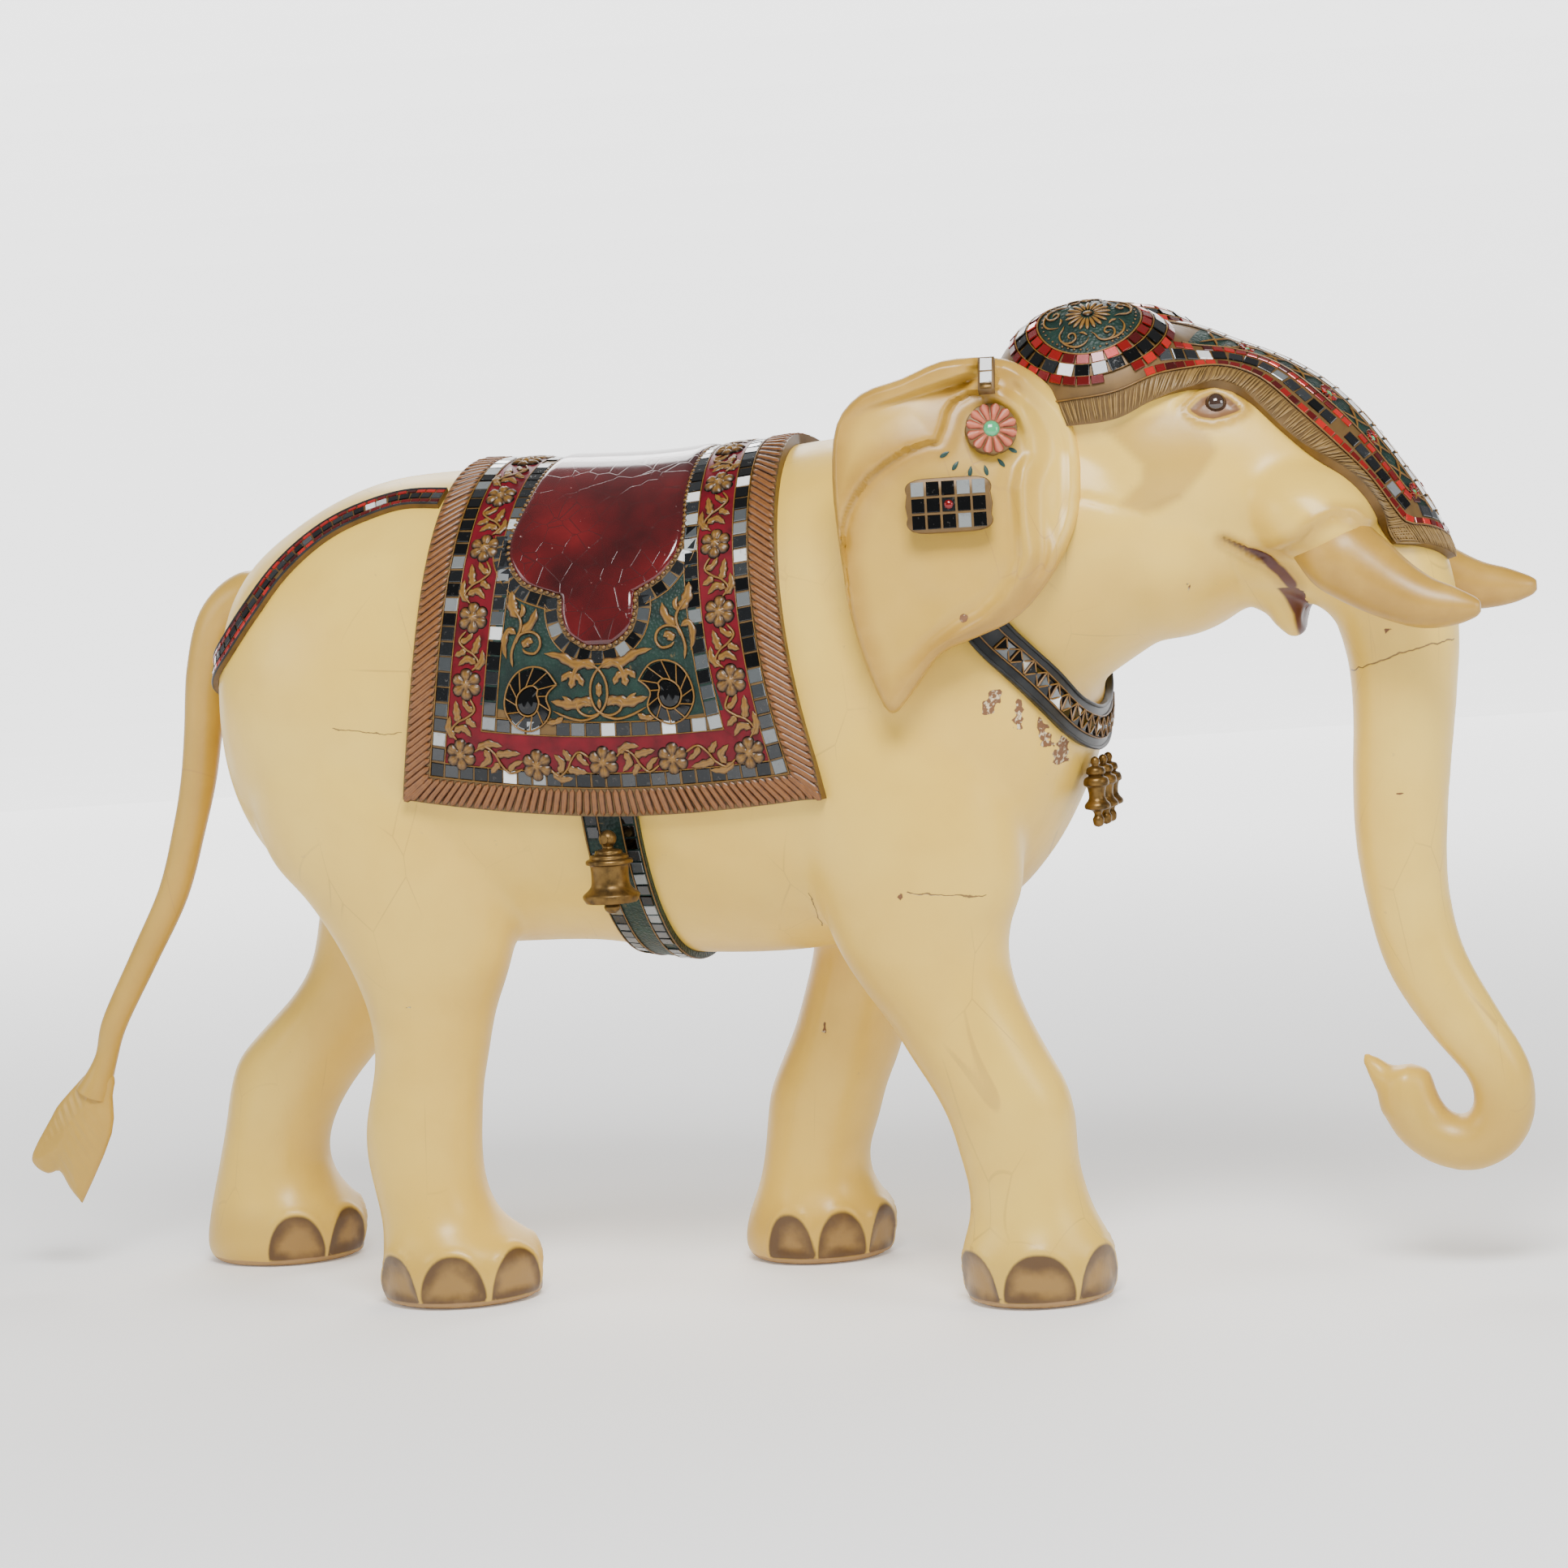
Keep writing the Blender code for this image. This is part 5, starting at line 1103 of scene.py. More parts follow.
# ---------------------------------------------------------------- materials
class Look:
    """Material being made: its shader and shorthands for its nodes."""

    def __init__(self, name):
        self.material = bpy.data.materials.new(name)
        self.material.use_nodes = True
        self.tree = self.material.node_tree
        self.shader = self.tree.nodes["Principled BSDF"]

    def node(self, kind, **values):
        """New node with some of its inputs or properties set."""
        made = self.tree.nodes.new(kind)
        for key, value in values.items():
            if key in made.inputs:
                made.inputs[key].default_value = value
            else:
                setattr(made, key, value)
        return made

    def feed(self, socket, value):
        """Give a socket another node's output, a colour or a number."""
        if isinstance(value, bpy.types.NodeSocket):
            self.tree.links.new(value, socket)
        elif socket.type == "RGBA":
            socket.default_value = (*value, 1.0)
        else:
            socket.default_value = value

    def shade(self, values):
        """Feed the shader's inputs by their names."""
        for name, value in values.items():
            self.feed(self.shader.inputs[name], value)

    def place(self):
        """The object's own coordinates."""
        return self.node("ShaderNodeTexCoord").outputs["Object"]

    def attribute(self, name):
        """One of the mesh's numbers."""
        return self.node("ShaderNodeAttribute", attribute_name=name).outputs["Fac"]

    def ramp(self, source, *stops):
        """Colour ramp over a number."""
        made = self.node("ShaderNodeValToRGB")
        elements = made.color_ramp.elements
        while len(elements) < len(stops):
            elements.new(0.5)
        for element, (place, colour) in zip(elements, stops):
            element.position = place
            element.color = (*colour, 1.0)
        self.feed(made.inputs["Fac"], source)
        return made.outputs["Color"]

    def above(self, source, low, high):
        """0 below low and 1 above high."""
        return self.ramp(source, (low, (0.0, 0.0, 0.0)), (high, (1.0, 1.0, 1.0)))

    def span(self, source, low, high, first, last):
        """Soft change from first at low to last at high."""
        made = self.node("ShaderNodeMapRange", interpolation_type="SMOOTHSTEP")
        for name, value in (("From Min", low), ("From Max", high), ("To Min", first),
                            ("To Max", last), ("Value", source)):
            self.feed(made.inputs[name], value)
        return made.outputs["Result"]

    def below(self, source, low, high):
        """1 below low and 0 above high."""
        return self.span(source, low, high, 1.0, 0.0)

    def blend(self, factor, one, two):
        """Colour two over colour one by a factor; each may be a socket or a colour."""
        made = self.node("ShaderNodeMix", data_type="RGBA")
        sockets = [s for s in made.inputs if s.enabled]
        for socket, value in zip(sockets, (factor, one, two)):
            self.feed(socket, value)
        return [s for s in made.outputs if s.enabled][0]

    def maths(self, operation, one, two=None, clamp=False):
        """Arithmetic on numbers or sockets."""
        made = self.node("ShaderNodeMath", operation=operation, use_clamp=clamp)
        for socket, value in zip(made.inputs, (one, two)):
            if value is not None:
                self.feed(socket, value)
        return made.outputs["Value"]

    def plus(self, one, two):
        """Sum."""
        return self.maths("ADD", one, two)

    def minus(self, one, two):
        """Difference."""
        return self.maths("SUBTRACT", one, two)

    def times(self, one, two):
        """Product."""
        return self.maths("MULTIPLY", one, two)

    def most(self, one, two):
        """Larger of two."""
        return self.maths("MAXIMUM", one, two)

    def sway(self, source, reach):
        """A noise spread about zero."""
        return self.times(self.minus(source, 0.5), reach)

    def noise(self, scale, detail=3.0, roughness=0.5):
        """Noise over the object's own coordinates."""
        made = self.node("ShaderNodeTexNoise", Scale=scale, Detail=detail, Roughness=roughness)
        self.feed(made.inputs["Vector"], self.place())
        return made.outputs["Fac"]

    def cells(self, feature, scale, place=None):
        """Distances in a pattern of cells."""
        made = self.node("ShaderNodeTexVoronoi", feature=feature, Scale=scale)
        self.feed(made.inputs["Vector"], self.place() if place is None else place)
        return made.outputs["Distance"]

    def bump(self, height, strength, distance):
        """Fine relief on the shader."""
        made = self.node("ShaderNodeBump", Strength=strength, Distance=distance)
        self.feed(made.inputs["Height"], height)
        self.feed(self.shader.inputs["Normal"], made.outputs["Normal"])


CRACKS = (   # start and end (x, z), half width, depth side
    ((0.572, 0.587), (0.620, 0.602), 0.0007, -1), ((0.620, 0.602), (0.667, 0.611), 0.0007, -1),
    ((0.173, 0.408), (0.240, 0.399), 0.0006, -1), ((0.062, 0.405), (0.059, 0.369), 0.0006, -1),
    ((-0.394, 0.586), (-0.321, 0.578), 0.0004, -1),
)


def crack_mask(look):
    """1 on the few long cracks, drawn from their end points."""
    apart = look.node("ShaderNodeSeparateXYZ")
    look.feed(apart.inputs["Vector"], look.place())
    x, y, z = apart.outputs
    bend = look.sway(look.noise(60.0, 3.0), 0.010)
    total = None
    for (x0, z0), (x1, z1), half, side in CRACKS:
        x0, x1 = x0 + ORIGIN[0], x1 + ORIGIN[0]
        z0, z1 = z0 + ORIGIN[2], z1 + ORIGIN[2]
        length = math.hypot(x1 - x0, z1 - z0)
        ux, uz = (x1 - x0) / length, (z1 - z0) / length
        along = look.plus(look.times(x, ux), look.times(z, uz))
        along = look.minus(along, x0 * ux + z0 * uz)
        across = look.minus(look.times(z, ux), look.times(x, uz))
        across = look.plus(look.minus(across, z0 * ux - x0 * uz), bend)
        middle = look.maths("ABSOLUTE", look.minus(along, length / 2))
        past = look.most(look.minus(middle, length / 2), 0.0)
        reach = look.plus(look.maths("ABSOLUTE", across), past)
        near = look.below(reach, half * 0.5, half * 1.6)
        near = look.times(near, look.maths("GREATER_THAN", look.times(y, side), 0.0))
        total = near if total is None else look.most(total, near)
    return total


def lacquer_material():
    """Cream lacquer with ochre paint and painted shade, brown nails and eyes, scars and cracks."""
    look = Look("cream_lacquer")
    broad, cloudy, fine = look.noise(5.0), look.noise(26.0, 4.0), look.noise(240.0, 2.0)
    cream = look.ramp(broad, (0.30, (0.695, 0.435, 0.054)), (0.50, (0.740, 0.485, 0.071)),
                      (0.72, (0.780, 0.535, 0.096)))
    cream = look.blend(look.times(cloudy, 0.25), cream, (0.615, 0.365, 0.038))
    ochre = look.ramp(cloudy, (0.25, (0.300, 0.155, 0.014)), (0.50, (0.380, 0.208, 0.022)),
                      (0.78, (0.465, 0.270, 0.038)))
    # the ochre attribute brings both the ochre paint and the painted shade (under the belly,
    # between the legs, at the ear's edges) in the same dark ochre
    share = look.plus(look.attribute("ochre"), look.sway(cloudy, 0.30))
    colour = look.blend(look.maths("MAXIMUM", share, 0.0, True), cream, ochre)
    spots = look.above(look.noise(70.0, 5.0, 0.7), 0.685, 0.72)
    colour = look.blend(look.times(spots, 0.40), colour, (0.455, 0.270, 0.090))

    warp = look.node("ShaderNodeMapping", Scale=(1.0, 1.0, 0.45))
    look.feed(warp.inputs["Vector"], look.place())
    cells = look.cells("DISTANCE_TO_EDGE", 17.0, warp.outputs["Vector"])
    hair = look.times(look.below(cells, 0.0035, 0.010),
                      look.above(look.noise(6.0, 2.0), 0.52, 0.62))
    hair = look.times(hair, 0.32)
    colour = look.blend(hair, colour, (0.300, 0.150, 0.050))
    cracks = crack_mask(look)
    colour = look.blend(look.times(cracks, 0.85), colour, (0.090, 0.040, 0.015))

    def marked(name, noise_part, low, high):
        return look.below(look.plus(look.attribute(name), noise_part), low, high)

    nail = marked("nail", look.times(cloudy, 0.0016), -0.0012, 0.0012)
    inner = marked("nail", look.sway(cloudy, 0.030), -0.016, -0.002)
    brown = look.blend(inner, (0.085, 0.040, 0.008), (0.275, 0.155, 0.036))
    colour = look.blend(nail, colour, brown)
    socket = look.below(look.attribute("socket"), -0.0006, 0.0010)
    colour = look.blend(socket, colour, (0.190, 0.090, 0.035))
    mouth = look.below(look.attribute("mouth"), -0.0022, 0.0012)
    colour = look.blend(mouth, colour, (0.070, 0.013, 0.007))
    scar = marked("scar", look.sway(fine, 0.002), -0.0003, 0.0003)
    flakes = look.ramp(fine, (0.52, (0.150, 0.062, 0.020)), (0.62, (0.560, 0.460, 0.290)))
    colour = look.blend(scar, colour, flakes)
    sole = marked("sole", look.sway(cloudy, 0.004), -0.0004, 0.0006)
    colour = look.blend(look.times(sole, 0.8), colour, (0.330, 0.190, 0.090))

    rough = look.plus(look.times(look.most(scar, sole), 0.30), 0.40)
    look.shade({"Base Color": colour, "Roughness": look.plus(rough, look.sway(cloudy, 0.16)),
                "Coat Weight": 0.10, "Coat Roughness": 0.22})
    relief = look.plus(look.times(cloudy, 0.8), look.times(look.noise(12.0, 2.0), 1.6))
    relief = look.minus(relief, look.times(look.most(look.times(hair, 0.3), cracks), 0.5))
    relief = look.minus(relief, look.times(scar, 0.35))
    look.bump(relief, 0.55, 0.0016)
    return look.material


def plain_material(name, colour, roughness, metallic=0.0, coat=0.0, mottle=0.12, scale=60.0,
                   grain=0.15):
    """Material of one colour with a little unevenness."""
    look = Look(name)
    cloud = look.noise(scale, 4.0)
    dark = tuple(c * (1 - mottle * 2.4) for c in colour)
    light = tuple(min(c * (1 + mottle * 1.6), 1.0) for c in colour)
    look.shade({
        "Base Color": look.ramp(cloud, (0.28, dark), (0.5, colour), (0.75, light)),
        "Roughness": roughness, "Metallic": metallic, "Coat Weight": coat,
        "Coat Roughness": 0.08, "Specular IOR Level": 0.5 if metallic or coat else 0.25})
    look.bump(cloud, grain, 0.0008)
    return look.material


def relief_material(name, low, middle, high, roughness=0.36, metallic=0.75, scale=160.0,
                    flaked=None):
    """Gilt or painted relief: painted shade darkens its hollows, and its tops are rubbed bright.

    Behind the x given as flaked, spots of white ground show where the paint is lost.
    """
    look = Look(name)
    cloud = look.noise(scale, 4.0)
    height = look.plus(look.attribute("rise"), look.sway(cloud, 0.55))
    # painted shade: the low colour goes into the hollows, by the rise of each vertex
    colour = look.ramp(height, (0.12, low), (0.48, middle), (0.95, high))
    if flaked is not None:
        split = look.node("ShaderNodeSeparateXYZ")
        look.feed(split.inputs[0], look.place())
        behind = look.below(split.outputs["X"], flaked - 0.015, flaked + 0.015)
        lost = look.above(look.noise(26.0, 5.0, 0.75), 0.585, 0.600)
        colour = look.blend(look.times(lost, behind), colour, (0.620, 0.570, 0.480))
    shine = look.times(look.below(height, 0.55, 0.05), -metallic)
    look.shade({"Base Color": colour, "Metallic": look.maths("ADD", shine, metallic, True),
                "Roughness": roughness})
    look.bump(cloud, 0.25, 0.0006)
    return look.material


def mirror_material():
    """Hand-cut mirror tiles, each a little different, some black and some worn."""
    look = Look("mirror_tiles")
    tone = look.attribute("tone")
    colour = look.ramp(
        tone, (0.0, (0.004, 0.005, 0.006)), (0.34, (0.012, 0.014, 0.016)),
        (0.55, (0.075, 0.084, 0.088)), (0.80, (0.330, 0.350, 0.345)), (1.0, (0.930, 0.940, 0.930)))
    worn = look.above(look.noise(210.0, 4.0, 0.65), 0.60, 0.68)
    metal = look.times(look.below(tone, 0.30, 0.10), 0.75)
    look.shade({"Base Color": look.blend(look.times(worn, 0.55), colour, (0.060, 0.055, 0.050)),
                "Metallic": look.minus(0.96, metal),
                "Roughness": look.plus(0.07, look.times(worn, 0.35)),
                "Coat Weight": 0.6, "Coat Roughness": 0.04})
    look.bump(look.noise(45.0, 1.0), 0.25, 0.0012)
    return look.material


def red_glass_material():
    """Small red foil tiles."""
    look = Look("red_foil_tiles")
    colour = look.ramp(look.attribute("tone"), (0.0, (0.040, 0.001, 0.001)),
                       (0.50, (0.160, 0.002, 0.002)), (1.0, (0.480, 0.016, 0.010)))
    look.shade({"Base Color": colour, "Metallic": 0.30, "Roughness": 0.16, "Coat Weight": 0.25,
                "Coat Roughness": 0.05})
    return look.material


def seat_material():
    """Dark red gloss lacquer with fine cracks and pale specks."""
    look = Look("seat_lacquer")
    cloud = look.noise(14.0, 4.0)
    colour = look.ramp(cloud, (0.30, (0.024, 0.0005, 0.001)), (0.55, (0.070, 0.002, 0.003)),
                       (0.80, (0.130, 0.005, 0.006)))
    cracks = look.below(look.cells("DISTANCE_TO_EDGE", 46.0), 0.008, 0.022)
    colour = look.blend(look.times(cracks, 0.55), colour, (0.028, 0.004, 0.004))
    specks = look.above(look.noise(150.0, 4.0, 0.75), 0.705, 0.73)
    colour = look.blend(look.times(specks, 0.75), colour, (0.560, 0.400, 0.360))
    look.shade({"Base Color": colour, "Roughness": 0.13, "Coat Weight": 0.30,
                "Coat Roughness": 0.05})
    look.bump(look.minus(cloud, look.times(cracks, 0.35)), 0.3, 0.0010)
    return look.material


def field_material(name, colour, dark):
    """Painted ground that is hammered all over with small dents."""
    look = Look(name)
    cells = look.cells("F1", 330.0)
    base = look.ramp(look.noise(40.0, 4.0), (0.3, dark), (0.7, colour))
    worn = look.above(look.noise(90.0, 5.0, 0.7), 0.63, 0.70)
    look.shade({"Base Color": look.blend(look.times(worn, 0.45), base, (0.190, 0.110, 0.035)),
                "Roughness": 0.46, "Specular IOR Level": 0.25})
    look.bump(cells, 0.6, 0.0012)
    return look.material


# ---------------------------------------------------------------- surfaces for the trappings
BODY_AXIS_Z = 0.60


class Patch:
    """Surface sampled on an even grid of two parameters and read between its samples."""

    def __init__(self, u, v, points, outward, smooth=2):
        for _ in range(smooth):
            points[1:-1] = 0.25 * (points[:-2] + points[2:] + 2 * points[1:-1])
            points[:, 1:-1] = 0.25 * (points[:, :-2] + points[:, 2:] + 2 * points[:, 1:-1])
        self.u, self.v, self.points = u, v, points
        normals = unit(np.cross(np.gradient(points, axis=0), np.gradient(points, axis=1)))
        if np.sum(normals * outward) < 0:
            normals = -normals
        self.normals = normals

    def at(self, u, v, height=0.0):
        """Points raised by a height and normals at parameters."""
        u, v = np.asarray(u, float), np.asarray(v, float)
        i = np.clip((u - self.u[0]) / (self.u[-1] - self.u[0]), 0, 1) * (len(self.u) - 1)
        j = np.clip((v - self.v[0]) / (self.v[-1] - self.v[0]), 0, 1) * (len(self.v) - 1)
        i0 = np.minimum(i.astype(int), len(self.u) - 2)
        j0 = np.minimum(j.astype(int), len(self.v) - 2)
        s, t = (i - i0)[..., None], (j - j0)[..., None]

        def mix(grid):
            return ((1 - s) * (1 - t) * grid[i0, j0] + s * (1 - t) * grid[i0 + 1, j0]
                    + (1 - s) * t * grid[i0, j0 + 1] + s * t * grid[i0 + 1, j0 + 1])

        normals = unit(mix(self.normals))
        return mix(self.points) + normals * np.asarray(height)[..., None], normals

    def line(self, path, height=0.0, fine=0.0015):
        """Dense points and normals along a path of parameters."""
        path = np.asarray(path, float)
        points = self.at(path[:, 0], path[:, 1])[0]
        at = lengths(points)
        count = max(int(at[-1] / fine), len(path)) + 1
        wanted = np.linspace(0, at[-1], count)
        u = np.interp(wanted, at, path[:, 0])
        v = np.interp(wanted, at, path[:, 1])
        return self.at(u, v, height)

    def stations(self, path, pitch, height=0.0):
        """Evenly spread places along a path: centres, tangents, normals and their spacing."""
        points, normals = self.line(path, height)
        at = lengths(points)
        count = max(int(round(at[-1] / pitch)), 1)
        wanted = (np.arange(count) + 0.5) * at[-1] / count
        centres = np.stack([np.interp(wanted, at, points[:, k]) for k in range(3)], 1)
        facing = unit(np.stack([np.interp(wanted, at, normals[:, k]) for k in range(3)], 1))
        ahead = np.stack([np.interp(wanted + 0.001, at, points[:, k]) for k in range(3)], 1)
        behind = np.stack([np.interp(wanted - 0.001, at, points[:, k]) for k in range(3)], 1)
        return centres, unit(ahead - behind), facing, at[-1] / count


def tile_tone():
    """Tone of one mirror tile: most are black, some grey and a few bright."""
    pick = rng.random()
    if pick < 0.68:
        return rng.uniform(0.0, 0.34)
    if pick < 0.90:
        return rng.uniform(0.34, 0.70)
    return rng.uniform(0.75, 1.0)


def tile_row(bag, patch, path, pitch, width, height, base, lost=0.02, tones=tile_tone):
    """Row of hand-cut tiles along a path."""
    for centre, tangent, normal, step in zip(*spread(patch.stations(path, pitch, base))):
        if rng.random() < lost:
            continue
        slide = rng.uniform(-0.0003, 0.0003)
        bag.tile(centre + tangent * slide, tangent, normal, step * rng.uniform(0.84, 0.91),
                 width * rng.uniform(0.93, 1.0), height, tones(), tilt=0.035)


def spread(stations):
    """Stations as four lists of the same length."""
    centres, tangents, normals, step = stations
    return centres, tangents, normals, [step] * len(centres)


def bead_row(bag, patch, path, pitch, radius, base, segments=8):
    """Row of domed beads along a path."""
    centres, _, normals, _ = patch.stations(path, pitch, base)
    for centre, normal in zip(centres, normals):
        bag.bead(centre, normal, radius * rng.uniform(0.92, 1.05), segments=segments)


def strand(bag, patch, path, width, height, base, taper=(0.25, 0.15), notch=0.0, teeth=0,
           fine=0.0025):
    """Raised strand with a rounded section: a stem, a leaf with teeth or a rope."""
    points, normals = patch.line(path, base, fine)
    count = len(points)
    if count < 3:
        return
    t = np.linspace(0, 1, count)
    ahead = unit(np.gradient(points, axis=0))
    side = unit(np.cross(normals, ahead))
    lead, tail_off = taper
    size = np.ones(count)
    if lead:
        size *= np.sin(np.clip(t / (lead * 2), 0, 0.5) * math.pi) ** 0.8
    if tail_off:
        size *= np.sin(np.clip((1 - t) / (tail_off * 2), 0, 0.5) * math.pi) ** 0.8
    if teeth:
        size *= 1 - 0.28 * (0.5 + 0.5 * np.cos(2 * math.pi * teeth * t))
    size = np.maximum(size, 0.06)
    profile = ((-1.0, 0.0, 0.0), (-0.85, 0.55, 0.45), (-0.35, 0.95, 1.0), (0.0, 1 - notch, 0.75),
               (0.35, 0.95, 1.0), (0.85, 0.55, 0.45), (1.0, 0.0, 0.0))
    rows, rises = [], []
    for across, lift, rise in profile:
        lift_by = (lift * height * (0.45 + 0.55 * size))[:, None]
        rows.append(points + side * (across * width / 2 * size)[:, None] + normals * lift_by)
        rises.append(np.full(count, rise))
    bag.grid(np.stack(rows), outward=normals[count // 2], rise=np.stack(rises).reshape(-1))


def wire(bag, patch, path, width, height, base, fine=0.005):
    """Raised line of one width, with blunt ends."""
    strand(bag, patch, path, width, height, base, taper=(0, 0), fine=fine)


def rosette(bag, centre, normal, up, radius, height, petals=6, core=0.3, tone=0.5):
    """Flower in relief: scalloped petals round a domed middle."""
    normal = unit(normal)
    up = unit(up - normal * np.dot(up, normal))
    across = np.cross(normal, up)
    rings, columns = 9, petals * 8
    turn = 2 * math.pi * np.arange(columns) / columns
    lobe = np.abs(np.cos(turn * petals / 2))
    edge = radius * (0.78 + 0.22 * lobe ** 0.6)
    rows, rises = [], []
    for ring in range(rings):
        share = ring / (rings - 1)
        reach = edge * share
        petal = np.where(share > core, np.sin(
            np.clip((share - core) / (1 - core), 0, 1) ** 0.7 * math.pi) ** 0.6, 0.0)
        lift = petal * (0.25 + 0.75 * lobe ** 0.8) * height * 0.85
        lift = lift - petal * height * 0.22 * (lobe > 0.93)
        middle = math.sqrt(max(1 - (share / core) ** 2, 0)) if share < core else 0.0
        lift = lift + middle * height * 1.05
        lift = lift + 0.10 * height * (share < 1)
        points = (centre + np.outer(np.cos(turn) * reach, up)
                  + np.outer(np.sin(turn) * reach, across) + np.outer(lift, normal))
        rows.append(points)
        rises.append(np.clip(lift / height, 0, 1))
    bag.grid(np.stack(rows), outward=normal, tone=tone, rise=np.stack(rises).reshape(-1),
             wrap=True)


def slab(name, patch, rows, base, thickness, material):
    """Closed sheet over a patch from rows of (u, v) arrays."""
    u, v = (np.array([row[k] for row in rows]) for k in (0, 1))
    bag = Bag()
    top, low = patch.at(u, v, base + thickness)[0], patch.at(u, v, base)[0]
    bag.grid(top)
    bag.grid(low)
    for edge in (np.s_[0], np.s_[-1], np.s_[:, 0], np.s_[:, -1]):
        bag.grid(np.stack([top[edge], low[edge]]))
    mesh = bag.welded(name)
    for key in ("rise", "tone"):
        set_attribute(mesh, key, np.full(len(mesh.vertices), 0.5))
    return place_mesh(name, mesh, material, sharp=40)


def barrel_patch(tree):
    """The back and flanks by X and by angle about the barrel's axis."""
    u = np.linspace(-0.345, 0.125, 95)
    v = np.linspace(-2.12, 2.12, 261)
    points = np.empty((len(u), len(v), 3))
    for i, x in enumerate(u):
        for j, turn in enumerate(v):
            middle = Vector(np.array((x, 0.0, BODY_AXIS_Z)) + ORIGIN)
            outwards = Vector((0.0, math.sin(turn), math.cos(turn)))
            hit = tree.ray_cast(middle + outwards * 0.5, -outwards)[0]
            points[i, j] = hit
    outward = np.stack([0 * v, np.sin(v), np.cos(v)], -1)[None]
    return Patch(u, v, points, outward, smooth=3)


def cap_patch(tree):
    """The head cap by row and by share across it."""
    rows = smooth_rows(CAP_ROWS, 6)
    u = np.linspace(0, len(CAP_ROWS) - 1, len(rows))
    v = np.linspace(-1.0, 1.0, 121)
    points = np.empty((len(u), len(v), 3))
    outward = np.empty_like(points)
    for i, (x, z, lean, *edge) in enumerate(rows):
        a = math.radians(lean)
        middle = Vector((math.cos(a), 0.0, math.sin(a)))
        inner = Vector((x, 0.0, z))
        right = (Vector(edge) - inner).normalized()
        left = Vector((right.x, -right.y, right.z))
        inner = inner + Vector(ORIGIN)
        for j, share in enumerate(v):
            out = middle.slerp(right if share < 0 else left, abs(share))
            hit = tree.ray_cast(inner + out * 0.4, -out)[0]
            points[i, j] = hit
            outward[i, j] = out
    return Patch(u, v, points, outward, smooth=3)


def settle_on(tree, point):
    """Nearest point of the surface and its normal."""
    hit, normal, _, _ = tree.find_nearest(Vector(point))
    return np.array(hit), np.array(normal)


def strap_patch(tree, route, width, closed=False, steps=12, across=9):
    """Band along a route of points near the surface, by length and by offset from its middle."""
    route = [tuple(np.array(point) + ORIGIN) for point in route]
    if closed:
        route = route + route[:1]
    line = smooth_rows(route, steps)
    line = np.array([settle_on(tree, point)[0] for point in line])
    line = resample(line, max(int(lengths(line)[-1] / 0.004), 8) + 1)
    if closed:
        line[-1] = line[0]
    normals = np.array([settle_on(tree, point)[1] for point in line])
    if closed:
        ahead = unit(np.roll(line[:-1], -1, 0) - np.roll(line[:-1], 1, 0))
        ahead = np.concatenate([ahead, ahead[:1]])
    else:
        ahead = unit(np.gradient(line, axis=0))
    side = unit(np.cross(normals, ahead))
    v = np.linspace(-width / 2, width / 2, across)
    points = np.empty((len(line), across, 3))
    outward = np.empty_like(points)
    for i in range(len(line)):
        for j, offset in enumerate(v):
            points[i, j], outward[i, j] = settle_on(tree, line[i] + side[i] * offset)
    u = lengths(line)
    patch = Patch(np.linspace(0, u[-1], len(line)), v, points, outward, smooth=1)
    patch.length = u[-1]
    return patch


def mirror_route(route):
    """A route from the right side, carried on over the middle plane to the left side."""
    return list(route) + [(x, -y, z) for x, y, z in reversed(route[:-1])]


